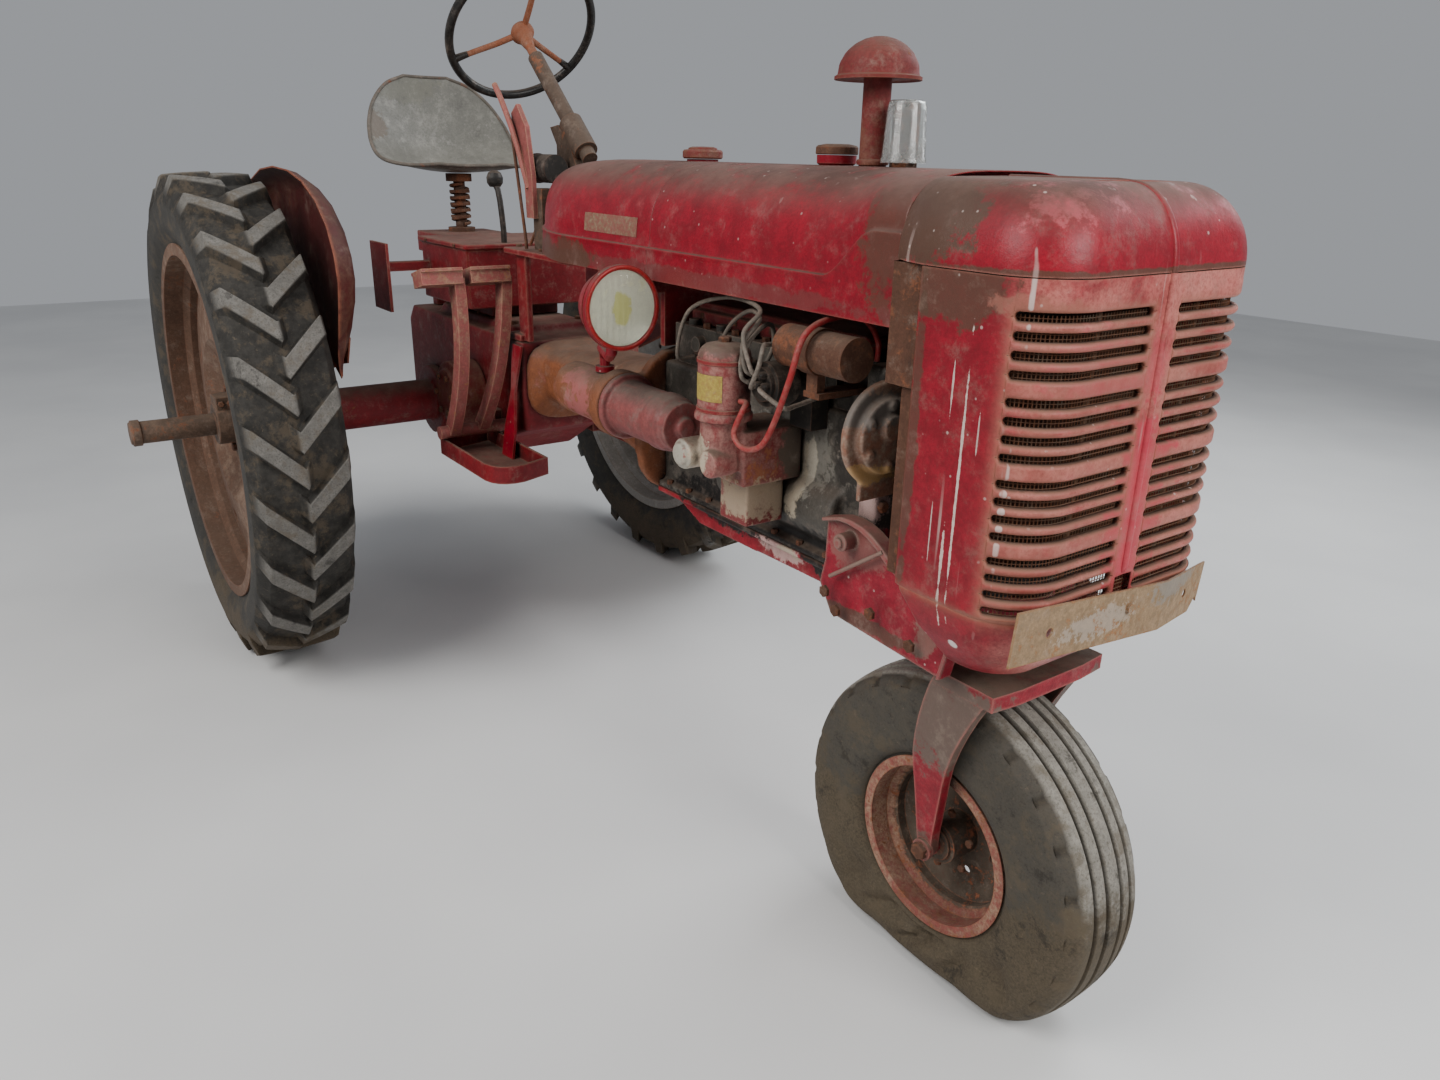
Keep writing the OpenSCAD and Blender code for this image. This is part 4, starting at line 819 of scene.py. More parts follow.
    def marked(self, g: Graph, n: Noises, colour: Socket) -> Socket:
        """Upright scratches and small chips, where the finish has them.

        Args:
            g: the graph.
            n: its noises.
            colour: the colour below.

        Returns:
            The new colour.
        """
        if self.scratches:
            lines = g.noise(46, 2, 0.5, (1.0, 1.0, 0.03), 21.0)
            where = g.band(g.noise(3.4, 2, 0.5, shift=29.0), 0.50, 0.62)
            colour = g.mix(g.times(g.band(lines, 0.69, 0.73, self.scratches), where), colour, self.scratch)
        if self.specks:
            dots = g.add("ShaderNodeTexVoronoi", Vector=g.place.outputs["Object"], Scale=34.0)
            chip = g.band(dots.outputs["Distance"], 0.10, 0.05, self.specks)
            colour = g.mix(g.times(chip, g.band(n.blotch, 0.45, 0.55)), colour, self.chip)
        return colour

    def surface(self, g: Graph, n: Noises, rusty: Socket, dusty: Socket) -> None:
        """Sets roughness, metal and bumps, with rust and dust duller than paint.

        Args:
            g: the graph.
            n: its noises.
            rusty: share of rust.
            dusty: share of dust.
        """
        dull = g.times(g.plus(rusty, dusty), max(0.0, 0.9 - self.roughness))
        g.shade(
            Roughness=g.plus(dull, g.plus(self.roughness - 0.1, g.times(n.medium, 0.22))),
            Specular_IOR_Level=0.3)
        if self.metallic:
            g.shade(Metallic=g.times(g.calc("SUBTRACT", 1.0, rusty), self.metallic))
        height = g.plus(g.blend(n.medium, 0.5, n.fine, 0.5), g.times(rusty, 0.3))
        g.bump(height, self.rough_surface + 0.0005)


@dataclass(frozen=True)
class Rubber:
    """Dusty tyre rubber: black in the grooves, grey where the tread's wear value is high, muddy low down."""

    name: str
    black: Colour = (0.011, 0.010, 0.0095)
    grey: Colour = (0.165, 0.155, 0.14)
    mud: Colour = (0.105, 0.078, 0.05)
    mud_share: float = 0.35
    mud_height: float = 0.32

    def build(self, shift: float) -> bpy.types.Material:
        """Mixes rubber, worn tread and dried mud.

        Args:
            shift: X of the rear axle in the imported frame, which this finish doesn't need.

        Returns:
            The material.
        """
        g = Graph(self.name)
        fine = g.noise(230, 5, 0.8)
        blotch = g.noise(9, 7, 0.7, shift=5.0)
        medium = g.noise(42, 6, 0.72, shift=9.0)
        colour = g.mix(g.band(medium, 0.35, 0.7, 0.8), self.black, toned(self.black, 2.8))
        tread = g.mix(g.band(medium, 0.3, 0.65, 0.6), self.grey, toned(self.grey, 0.5))
        colour = g.mix(g.times(g.attribute("wear"), g.band(fine, 0.20, 0.55)), colour, tread)
        low = g.band(g.split.outputs[2], self.mud_height, 0.02, 0.5)
        caked = g.plus(g.plus(low, g.times(blotch, 0.75)), g.times(medium, 0.25))
        mud = g.mix(g.band(fine, 0.3, 0.7), self.mud, toned(self.mud, 0.45))
        colour = g.mix(g.cover(caked, 0.82, 0.98, 0.4 * self.mud_share, 0.92), colour, mud)
        patchy = g.noise(15, 8, 0.75, shift=27.0)
        colour = g.mix(g.band(patchy, 0.50, 0.62, 0.55), colour, toned(self.mud, 0.9))
        colour = g.mix(g.band(patchy, 0.44, 0.34, 0.7), colour, self.black)
        spots = g.noise(75, 7, 0.8, shift=33.0)
        colour = g.mix(g.band(spots, 0.58, 0.74, 0.6), colour, toned(self.mud, 1.9))
        g.shade(Base_Color=colour, Roughness=g.plus(0.60, g.times(medium, 0.35)), Specular_IOR_Level=0.3)
        g.bump(g.blend(fine, 0.5, medium, 0.8), 0.0016)
        return g.material


@dataclass(frozen=True)
class Glass:
    """Dusty glass that lets through a share of the light and bends it."""

    name: str
    colour: Colour
    through: float
    dirt: float
    roughness: float = 0.08
    bend: float = 1.45
    dust: Colour = (0.42, 0.40, 0.33)

    def build(self, shift: float) -> bpy.types.Material:
        """Mixes the glass colour with patches of dust.

        Args:
            shift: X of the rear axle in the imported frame, which this finish doesn't need.

        Returns:
            The material.
        """
        g = Graph(self.name)
        patch = g.noise(40, 6, 0.7)
        dusty = g.band(patch, 0.42, 0.75, self.dirt)
        g.shade(
            Base_Color=g.mix(dusty, self.colour, self.dust), Roughness=g.plus(self.roughness, dusty),
            Transmission_Weight=self.through, IOR=self.bend)
        g.bump(patch, 0.0002)
        return g.material


CREAM = (0.50, 0.42, 0.31)
OIL = (0.009, 0.007, 0.006)
BROWN = (0.075, 0.040, 0.025)
RED_BODY = Weathered(
    "red_body", (0.27, 0.004, 0.016), (0.34, 0.05, 0.055), Shares(0.16, 0.97, 0.16, 0.28), edge_wear=0.35,
    roughness=0.36, patch=5.0, edge=(0.20, 0.08, 0.06), dust=(0.145, 0.082, 0.066), scratches=0.35,
    specks=0.3,
    stains_and_painted_light=(
        StainAndPaintedLight((1.98, -0.19, 1.28), (0.06, 0.06, 0.13), BROWN, 0.8),
        StainAndPaintedLight((1.36, -0.2, 1.175), (0.7, 0.06, 0.018), (0.13, 0.03, 0.028), 0.75),
        StainAndPaintedLight((0.95, -0.16, 1.17), (0.25, 0.2, 0.05), BROWN, 0.85),
        StainAndPaintedLight((1.98, 0.19, 1.28), (0.06, 0.06, 0.13), BROWN, 0.8)))
RED_NOSE = Weathered(
    "red_nose", (0.28, 0.005, 0.018), (0.52, 0.185, 0.15), Shares(0.17, 0.9, 0.1, 0.12), edge_wear=0.3,
    roughness=0.42, patch=6.0, edge=(0.33, 0.13, 0.09), dust=(0.14, 0.085, 0.06), scratches=0.9, specks=0.5,
    # Painted light: the nose's front face is drawn toward its pale faded colour, as if lit.
    lit_front_x=(2.215, 2.275),
    stains_and_painted_light=(
        StainAndPaintedLight((2.13, -0.24, 1.235), (0.12, 0.06, 0.055), BROWN, 0.85),
        StainAndPaintedLight((2.25, -0.20, 1.22), (0.05, 0.08, 0.02), (0.30, 0.11, 0.08), 0.7),
        StainAndPaintedLight((2.296, 0.0, 0.93), (0.05, 0.075, 0.16), (0.44, 0.02, 0.05), 0.75),
        StainAndPaintedLight((2.296, -0.1, 1.14), (0.05, 0.14, 0.05), (0.45, 0.06, 0.08), 0.5),
        StainAndPaintedLight((2.183, -0.241, 0.97), (0.0024, 0.05, 0.19), (0.60, 0.48, 0.43), 1.0, 1.5),
        StainAndPaintedLight((2.168, -0.241, 0.845), (0.0030, 0.05, 0.08), (0.58, 0.46, 0.40), 1.0, 1.5),
        StainAndPaintedLight((2.158, -0.241, 1.11), (0.0016, 0.05, 0.045), (0.52, 0.40, 0.36), 1.0, 1.3),
        StainAndPaintedLight((2.208, -0.241, 1.05), (0.0014, 0.05, 0.035), (0.52, 0.40, 0.36), 0.9, 1.3),
        StainAndPaintedLight((2.143, -0.241, 0.90), (0.0014, 0.05, 0.05), (0.52, 0.40, 0.36), 0.9, 1.3),
        StainAndPaintedLight((2.19, -0.215, 0.742), (0.010, 0.05, 0.008), (0.66, 0.58, 0.55), 1.0, 0.5),
        StainAndPaintedLight((2.093, -0.24, 1.0), (0.012, 0.05, 0.3), BROWN, 0.8, 1.3),
        StainAndPaintedLight((2.2, 0.0, 0.802), (0.14, 0.3, 0.008), (0.20, 0.10, 0.07), 0.7, 0.8)))
RED_CROWN = Weathered(
    "red_crown", (0.29, 0.005, 0.018), (0.40, 0.09, 0.09), Shares(0.16, 0.9, 0.12, 0.25), roughness=0.38,
    patch=5.0, edge=(0.42, 0.16, 0.13), dust=(0.12, 0.072, 0.055), scratches=0.4, specks=0.5,
    stains_and_painted_light=(
        StainAndPaintedLight((2.06, -0.19, 1.31), (0.11, 0.12, 0.085), (0.075, 0.043, 0.028), 0.95, 1.3),
        StainAndPaintedLight((2.10, 0.0, 1.37), (0.13, 0.2, 0.03), (0.10, 0.06, 0.045), 0.7, 1.2),
        # Painted highlight: pale pink patch on the crown's front right.
        StainAndPaintedLight((2.225, -0.13, 1.32), (0.05, 0.09, 0.05), (0.52, 0.10, 0.12), 0.65),
        StainAndPaintedLight((2.245, -0.155, 1.29), (0.006, 0.01, 0.008), (0.75, 0.68, 0.64), 1.0, 0.4),
        StainAndPaintedLight((2.16, -0.13, 1.352), (0.010, 0.012, 0.02), (0.45, 0.38, 0.32), 0.9, 0.6),
        StainAndPaintedLight((2.2, 0.0, 1.258), (0.2, 0.4, 0.007), BROWN, 0.85, 0.9)))
RED_IRON = Weathered(
    "red_iron", (0.22, 0.009, 0.014), (0.32, 0.085, 0.075), Shares(0.34, 0.75, 0.38, 0.38), edge_wear=0.9,
    edge_width=0.006, roughness=0.55, hollow_grime_and_shade=0.9, rough_surface=0.0014, edge=(0.34, 0.15, 0.11))
RED_BOLSTER = Weathered(
    "red_bolster", (0.32, 0.008, 0.026), (0.34, 0.075, 0.07), Shares(0.22, 0.6, 0.2, 0.3), edge_wear=1.2,
    edge_width=0.009, hollow_grime_and_shade=0.7, rough_surface=0.0012, edge=(0.24, 0.20, 0.165), specks=0.5, patch=7.0,
    stains_and_painted_light=(
        StainAndPaintedLight((1.93, -0.18, 0.80), (0.09, 0.05, 0.055), (0.24, 0.095, 0.08), 0.8),
        StainAndPaintedLight((1.95, -0.18, 0.665), (0.16, 0.05, 0.016), BROWN, 0.85),
        StainAndPaintedLight((2.09, -0.18, 0.70), (0.03, 0.05, 0.05), (0.20, 0.13, 0.10), 0.7)))
FORK_IRON = Weathered(
    "fork_iron", (0.30, 0.010, 0.024), (0.36, 0.11, 0.10), Shares(0.28, 0.9, 0.25, 0.3), edge_wear=1.2,
    edge_width=0.007, roughness=0.55, hollow_grime_and_shade=0.6, rough_surface=0.0014, edge=(0.42, 0.16, 0.14),
    stains_and_painted_light=(
        StainAndPaintedLight((2.10, -0.12, 0.56), (0.13, 0.07, 0.13), (0.115, 0.085, 0.066), 0.95),
        StainAndPaintedLight((2.10, 0.12, 0.56), (0.13, 0.07, 0.13), (0.115, 0.085, 0.066), 0.95),
        StainAndPaintedLight((2.06, -0.085, 0.26), (0.03, 0.03, 0.035), (0.12, 0.08, 0.06), 0.8)))
PAN_RED = Weathered(
    "pan_red", (0.34, 0.008, 0.022), (0.40, 0.12, 0.10), Shares(0.15, 0.3, 0.5, 0.2), edge_wear=0.6,
    roughness=0.45, hollow_grime_and_shade=0.6, grime=OIL,
    stains_and_painted_light=(
        StainAndPaintedLight((1.66, -0.12, 0.695), (0.085, 0.10, 0.032), (0.58, 0.36, 0.33), 1.0),
        StainAndPaintedLight((1.70, -0.12, 0.70), (0.03, 0.10, 0.02), CREAM, 0.9),
        StainAndPaintedLight((1.775, -0.12, 0.70), (0.035, 0.10, 0.045), OIL, 1.0),
        StainAndPaintedLight((1.50, -0.12, 0.715), (0.16, 0.20, 0.038), OIL, 1.0),
        StainAndPaintedLight((1.6, -0.12, 0.738), (0.4, 0.2, 0.016), OIL, 1.0),
        StainAndPaintedLight((1.85, -0.12, 0.69), (0.035, 0.10, 0.03), (0.50, 0.03, 0.06), 0.9)))
BELL_IRON = Weathered(
    "bell_iron", (0.26, 0.085, 0.035), (0.36, 0.12, 0.10), Shares(0.45, 0.75, 0.35, 0.4), edge_wear=0.8,
    roughness=0.65, patch=8.0, hollow_grime_and_shade=1.0, rust=(0.21, 0.085, 0.035), rough_surface=0.002,
    edge=(0.46, 0.33, 0.24),
    stains_and_painted_light=(
        StainAndPaintedLight((1.15, -0.2, 0.90), (0.09, 0.1, 0.07), (0.34, 0.10, 0.10), 0.8),
        StainAndPaintedLight((0.98, -0.12, 0.86), (0.05, 0.1, 0.08), (0.36, 0.25, 0.16), 0.8),
        StainAndPaintedLight((1.0, 0.0, 0.995), (0.3, 0.2, 0.05), (0.10, 0.075, 0.06), 0.9)))
PEDAL_IRON = Weathered(
    "pedal_iron", (0.33, 0.09, 0.08), (0.40, 0.25, 0.16), Shares(0.45, 0.3, 0.32, 0.42), edge_wear=1.0,
    roughness=0.62, patch=13.0, hollow_grime_and_shade=0.6, rust=(0.22, 0.085, 0.035), rough_surface=0.0012,
    edge=(0.48, 0.28, 0.19))
GREASE_IRON = Weathered(
    "grease_iron", (0.085, 0.075, 0.062), (0.23, 0.20, 0.165), Shares(0.22, 0.55, 0.55, 0.45), patch=10.0,
    hollow_grime_and_shade=1.0, grime=OIL, rough_surface=0.0018, edge=(0.30, 0.24, 0.19),
    stains_and_painted_light=(
        StainAndPaintedLight((1.70, -0.12, 0.895), (0.11, 0.2, 0.085), (0.21, 0.195, 0.165), 0.9),
        StainAndPaintedLight((1.725, -0.12, 0.845), (0.026, 0.2, 0.075), CREAM, 1.0, 0.9),
        StainAndPaintedLight((1.745, -0.12, 0.88), (0.014, 0.2, 0.05), (0.50, 0.45, 0.36), 1.0, 0.9),
        StainAndPaintedLight((1.60, -0.12, 0.735), (0.32, 0.3, 0.045), OIL, 1.0),
        StainAndPaintedLight((1.85, -0.13, 0.93), (0.05, 0.2, 0.10), (0.03, 0.026, 0.022), 0.9),
        StainAndPaintedLight((1.92, -0.15, 0.96), (0.03, 0.05, 0.05), (0.45, 0.28, 0.24), 0.9),
        StainAndPaintedLight((1.92, -0.15, 0.86), (0.03, 0.05, 0.06), (0.50, 0.33, 0.30), 0.95),
        StainAndPaintedLight((1.92, -0.15, 0.80), (0.03, 0.05, 0.03), (0.42, 0.04, 0.06), 0.9)))
FILTER_IRON = Weathered(
    "filter_iron", (0.24, 0.028, 0.032), (0.33, 0.15, 0.125), Shares(0.32, 0.9, 0.42, 0.6), edge_wear=0.8,
    roughness=0.45, hollow_grime_and_shade=1.0, patch=12.0, rough_surface=0.0014, edge=(0.46, 0.26, 0.20),
    stains_and_painted_light=(
        StainAndPaintedLight((1.66, -0.27, 0.89), (0.05, 0.08, 0.055), CREAM, 0.95),
        StainAndPaintedLight((1.63, -0.32, 0.90), (0.035, 0.03, 0.035), (0.36, 0.34, 0.28), 0.9),
        StainAndPaintedLight((1.65, -0.20, 0.87), (0.09, 0.07, 0.06), (0.33, 0.12, 0.055), 0.85),
        StainAndPaintedLight((1.68, -0.19, 0.82), (0.09, 0.08, 0.05), (0.40, 0.32, 0.22), 0.85),
        StainAndPaintedLight((1.70, -0.14, 0.90), (0.09, 0.04, 0.07), (0.10, 0.08, 0.06), 0.95),
        StainAndPaintedLight((1.678, -0.26, 1.085), (0.05, 0.06, 0.02), (0.11, 0.065, 0.05), 0.9)))
GREY_METAL = Weathered(
    "grey_metal", (0.11, 0.10, 0.09), (0.20, 0.18, 0.16), Shares(0.35, 0.5, 0.42, 0.5), metallic=0.3,
    hollow_grime_and_shade=0.8)
STARTER_IRON = Weathered(
    "starter_iron", (0.27, 0.075, 0.07), (0.20, 0.15, 0.125), Shares(0.25, 0.85, 0.3, 0.5), edge_wear=0.8,
    hollow_grime_and_shade=0.9, patch=12.0, edge=(0.44, 0.25, 0.20), dust=(0.13, 0.105, 0.085))
GOVERNOR_IRON = Weathered(
    "governor_iron", (0.27, 0.12, 0.075), (0.34, 0.24, 0.18), Shares(0.35, 0.4, 0.35, 0.5), edge_wear=0.9,
    roughness=0.55, hollow_grime_and_shade=1.0, patch=18.0, rust=(0.24, 0.05, 0.03), edge=(0.30, 0.26, 0.22),
    stains_and_painted_light=(
        StainAndPaintedLight((1.96, -0.2, 1.03), (0.05, 0.1, 0.03), (0.14, 0.125, 0.11), 0.9),
        StainAndPaintedLight((1.96, -0.2, 0.925), (0.05, 0.1, 0.02), (0.50, 0.30, 0.12), 0.8)))
SEAT_GREY = Weathered(
    "seat_grey", (0.17, 0.165, 0.145), (0.26, 0.25, 0.225), Shares(0.1, 0.5, 0.14, 0.5), edge_wear=0.9,
    patch=7.0, dust=(0.21, 0.20, 0.17), rust=(0.10, 0.05, 0.03), rough_surface=0.0010,
    stains_and_painted_light=(
        StainAndPaintedLight((-0.27, -0.1, 1.56), (0.05, 0.16, 0.05), (0.13, 0.125, 0.10), 0.7),
        StainAndPaintedLight((-0.2, -0.2, 1.45), (0.08, 0.05, 0.05), (0.12, 0.085, 0.06), 0.7)))
SEAT_DARK = Weathered(
    "seat_dark", (0.10, 0.09, 0.075), (0.15, 0.135, 0.115), Shares(0.5, 0.3, 0.25, 0.5), roughness=0.6,
    rust=(0.12, 0.05, 0.03))
RUSTY_STEEL = Weathered(
    "rusty_steel", (0.10, 0.042, 0.024), (0.17, 0.085, 0.05), Shares(0.6, 0.4, 0.42, 0.5), roughness=0.78,
    rough_surface=0.0014, hollow_grime_and_shade=0.6, rust=(0.11, 0.04, 0.02))
RUSTY_RED = Weathered(
    "rusty_red", (0.17, 0.020, 0.018), (0.18, 0.07, 0.045), Shares(0.5, 0.45, 0.35, 0.5), roughness=0.65,
    rough_surface=0.001, rust=(0.12, 0.04, 0.022))
FENDER_RED = Weathered(
    "fender_red", (0.085, 0.014, 0.013), (0.11, 0.045, 0.03), Shares(0.35, 0.3, 0.45, 0.5), roughness=0.55,
    edge_wear=1.2, edge_width=0.012, rust=(0.10, 0.032, 0.018), edge=(0.38, 0.12, 0.065))
PALE_RIM = Weathered(
    "pale_rim", (0.36, 0.34, 0.31), (0.44, 0.42, 0.38), Shares(0.3, 0.2, 0.3, 0.5), roughness=0.6,
    rust=(0.16, 0.08, 0.045))
# Right rear rim: rusty brown, and darker than the left rim as painted shade.
RUST_AND_SHADE_RIM = Weathered(
    "rust_and_shade_rim", (0.14, 0.075, 0.048), (0.23, 0.155, 0.11), Shares(0.5, 0.3, 0.42, 0.5), roughness=0.75,
    rough_surface=0.0012, rust=(0.12, 0.05, 0.028))
CORAL_RIM = Weathered(
    "coral_rim", (0.27, 0.075, 0.058), (0.37, 0.235, 0.155), Shares(0.52, 0.3, 0.42, 0.62), roughness=0.8,
    rough_surface=0.003, patch=19.0, hollow_grime_and_shade=0.9, rust=(0.17, 0.06, 0.03),
    disc=Disc(2.062, 0.252, 0.130, 0.136, (0.105, 0.078, 0.056)))
BLACK_PART = Weathered(
    "black_part", (0.012, 0.011, 0.010), (0.035, 0.03, 0.026), Shares(0.1, 0.45, 0.1, 0.5), roughness=0.34,
    edge_wear=0.2)
BLACK_IRON = Weathered(
    "black_iron", (0.020, 0.018, 0.016), (0.06, 0.048, 0.038), Shares(0.35, 0.5, 0.2, 0.5), roughness=0.55,
    edge_wear=0.4, hollow_grime_and_shade=0.5, rust=(0.07, 0.032, 0.018))
ORANGE_RUST = Weathered(
    "orange_rust", (0.27, 0.085, 0.038), (0.30, 0.13, 0.075), Shares(0.45, 0.3, 0.25, 0.5), roughness=0.7,
    rust=(0.15, 0.055, 0.025))
COLUMN_IRON = Weathered(
    "column_iron", (0.085, 0.055, 0.038), (0.15, 0.095, 0.065), Shares(0.5, 0.4, 0.4, 0.5), roughness=0.65,
    hollow_grime_and_shade=0.6, rust=(0.13, 0.05, 0.025))
PLATE_RUST = Weathered(
    "plate_rust", (0.33, 0.22, 0.125), (0.44, 0.36, 0.27), Shares(0.52, 0.3, 0.12, 0.42), roughness=0.75,
    patch=17.0, rust=(0.20, 0.095, 0.042), edge_wear=1.2,
    stains_and_painted_light=(
        StainAndPaintedLight((2.31, -0.07, 0.785), (0.05, 0.09, 0.022), (0.36, 0.31, 0.26), 0.6, 1.5),
        StainAndPaintedLight((2.31, 0.13, 0.80), (0.05, 0.08, 0.03), (0.20, 0.19, 0.17), 0.7, 1.3)))
RED_GLOSS = Weathered(
    "red_gloss", (0.36, 0.014, 0.016), (0.40, 0.07, 0.06), Shares(0.12, 0.4, 0.12, 0.3), edge_wear=0.3,
    roughness=0.32, patch=16.0)
RED_WIRE = Weathered(
    "red_wire", (0.34, 0.018, 0.022), (0.36, 0.08, 0.07), Shares(0.08, 0.6, 0.2, 0.5), patch=20.0)
PANEL_TAN = Weathered(
    "panel_tan", (0.24, 0.175, 0.105), (0.22, 0.07, 0.055), Shares(0.35, 0.3, 0.25, 0.65), patch=26.0,
    roughness=0.6)
LABEL = Weathered(
    "label", (0.44, 0.33, 0.07), (0.36, 0.20, 0.06), Shares(0.18, 0.2, 0.22, 0.45), patch=34.0,
    roughness=0.6)
WIRE = Weathered(
    "wire", (0.16, 0.115, 0.08), (0.26, 0.20, 0.145), Shares(0.35, 0.3, 0.3, 0.5), roughness=0.7)
ROD_TAN = Weathered(
    "rod_tan", (0.24, 0.14, 0.09), (0.30, 0.20, 0.13), Shares(0.4, 0.3, 0.3, 0.5), roughness=0.7)
CORE = Weathered(
    "core", (0.014, 0.012, 0.011), (0.035, 0.03, 0.027), Shares(0.2, 0.3, 0.3, 0.5), roughness=0.6)
MIRROR = Weathered(
    "mirror", (0.93, 0.93, 0.80), (0.80, 0.78, 0.50), Shares(0.0, 0.1, 0.0, 0.3), roughness=0.25,
    metallic=0.1, rough_surface=0.0, mottle=0.16, film=0.08,
    # Yellow patch at each lamp's middle: the bulb's colour and a painted glow round it.
    stains_and_painted_light=(
        StainAndPaintedLight((1.38, -0.286, 1.112), (0.05, 0.020, 0.034), (0.80, 0.78, 0.22), 0.8, 0.7),
        StainAndPaintedLight((1.38, 0.286, 1.112), (0.05, 0.020, 0.034), (0.80, 0.78, 0.22), 0.8, 0.7)))
LEAD = Weathered(
    "lead", (0.13, 0.115, 0.095), (0.25, 0.22, 0.185), Shares(0.12, 0.5, 0.35, 0.5), roughness=0.6,
    patch=20.0)
TYRE_BLACK = Rubber("tyre_black", (0.017, 0.0155, 0.0135), mud_share=0.34)
TYRE_BROWN = Rubber(
    "tyre_brown", (0.022, 0.018, 0.013), (0.27, 0.25, 0.215), (0.105, 0.080, 0.050), mud_share=0.58,
    mud_height=0.45)
LENS_GLASS = Glass("lens_glass", (0.97, 0.98, 0.92), 0.97, 0.05, 0.04, 1.5)
JAR_GLASS = Glass("jar_glass", (0.92, 0.95, 0.94), 0.9, 0.35)
Finish = Weathered | Rubber | Glass


# The yard that holds the pieces


class Yard:
    """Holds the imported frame, makes each finish once and puts pieces on their bodies. An edge of a
    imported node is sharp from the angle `sharp` on, in degrees."""

    sharp = 32

    def __init__(self, frame: dict) -> None:
        """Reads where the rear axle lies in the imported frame.
        """
        self.frame = frame
        low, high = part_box("rear_tyre_left")
        self.shift = np.array([(low[0] + high[0]) / 2, 0.0, 0.0])
        self.made: dict[str, bpy.types.Material] = {}
        self.count = 0

    def finish(self, finish: Finish) -> bpy.types.Material:
        """The material of a finish.

        Args:
            finish: the finish.

        Returns:
            Its material, built when it is first asked for.
        """
        if finish.name not in self.made:
            self.made[finish.name] = finish.build(float(self.shift[0]))
        return self.made[finish.name]

    def place(
        self, obj: bpy.types.Object, finish: Finish, body: Body, slot: str, replaces: tuple[str, ...] = ()
    ) -> None:
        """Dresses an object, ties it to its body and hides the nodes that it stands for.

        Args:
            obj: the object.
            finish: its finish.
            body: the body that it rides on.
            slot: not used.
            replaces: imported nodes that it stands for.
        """
        obj.data.materials.clear()
        obj.data.materials.append(self.finish(finish))
        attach(obj, body.value)
        if replaces:
            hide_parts(*replaces)
        self.count += 1
        log.info("piece %s on %s", obj.name, body.value)

    def add(
        self, name: str, sheet: Sheet, finish: Finish, body: Body = Body.CHASSIS, slot: str = "red_paint",
        replaces: tuple[str, ...] = (), smooth: float | None = 35.0, bevel: float = 0.0, weld: bool = False
    ) -> bpy.types.Object:
        """Makes a piece from a mesh in the rear axle's frame.

        Args:
            name: the piece's name.
            sheet: its mesh.
            finish: its finish.
            body: the body that it rides on.
            slot: the record's slot that it belongs to.
            replaces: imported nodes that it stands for.
            smooth: angle up to which edges are shaded smooth, or None for flat.
            bevel: width of a bevel on its sharp edges.
            weld: merges points that lie on each other.

        Returns:
            The object.
        """
        mesh = bpy.data.meshes.new(name)
        mesh.from_pydata((sheet.points + self.shift).tolist(), [], sheet.faces)
        if sheet.wear is not None:
            mesh.attributes.new("wear", "FLOAT", "POINT").data.foreach_set(
                "value", sheet.wear.astype(np.float32))
        self.clean(mesh, weld)
        obj = linked(name, mesh)
        self.soften(obj, bevel, smooth)
        self.place(obj, finish, body, slot, replaces)
        return obj

    def clean(self, mesh: bpy.types.Mesh, weld: bool) -> None:
        """Turns all faces outwards.

        Args:
            mesh: the mesh.
            weld: merges points that lie on each other first.
        """
        bm = bmesh.new()
        bm.from_mesh(mesh)
        if weld:
            bmesh.ops.remove_doubles(bm, verts=bm.verts, dist=MERGE)
        bmesh.ops.recalc_face_normals(bm, faces=bm.faces)
        bm.to_mesh(mesh)
        bm.free()

    def soften(self, obj: bpy.types.Object, bevel: float, smooth: float | None) -> None:
        """Bevels sharp edges and shades the rest smooth.

        Args:
            obj: the object.
            bevel: width of the bevel, or 0 for none.
            smooth: angle up to which edges are shaded smooth, or None for flat.
        """
        if bevel:
            rounding = obj.modifiers.new("bevel", "BEVEL")
            rounding.width = bevel
            rounding.segments = 2
            rounding.limit_method = "ANGLE"
            rounding.angle_limit = math.radians(self.sharp)
            rounding.harden_normals = False
        if smooth is not None:
            smoothed(obj.data)
            bm = bmesh.new()
            bm.from_mesh(obj.data)
            limit = math.radians(smooth)
            for e in bm.edges:
                e.smooth = len(e.link_faces) != 2 or e.calc_face_angle(0.0) < limit
            bm.to_mesh(obj.data)
            bm.free()

    def copied(self, node: str, flat: float = 0.0) -> bpy.types.Object:
        """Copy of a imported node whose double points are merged.

        Args:
            node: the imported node.
            flat: angle in degrees up to which neighbouring faces are joined, or 0 to keep them.

        Returns:
            The copy, in the scene.
        """
        mesh = self.frame["nodes"][node].data.copy()
        mesh.name = node + "_cast"
        bm = bmesh.new()
        bm.from_mesh(mesh)
        bmesh.ops.remove_doubles(bm, verts=bm.verts, dist=MERGE)
        if flat:
            bmesh.ops.dissolve_limit(bm, angle_limit=math.radians(flat), verts=bm.verts, edges=bm.edges)
        bm.to_mesh(mesh)
        bm.free()
        return linked(node + "_cast", mesh)

    def recast(
        self, node: str, finish: Finish, bevel: float, body: Body = Body.CHASSIS, flat: float = 0.6
    ) -> bpy.types.Object:
        """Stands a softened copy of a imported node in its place: merged, flat faces joined, edges bevelled.

        Args:
            node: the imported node.
            finish: the copy's finish.
            bevel: width of the rounding on its edges.
            body: the body that it rides on.
            flat: angle in degrees up to which neighbouring faces are joined, or 0 to keep them.

        Returns:
            The copy.
        """
        obj = self.copied(node, flat)
        self.soften(obj, bevel, self.sharp)
        self.place(obj, finish, body, self.slot_of(node), (node,))
        return obj

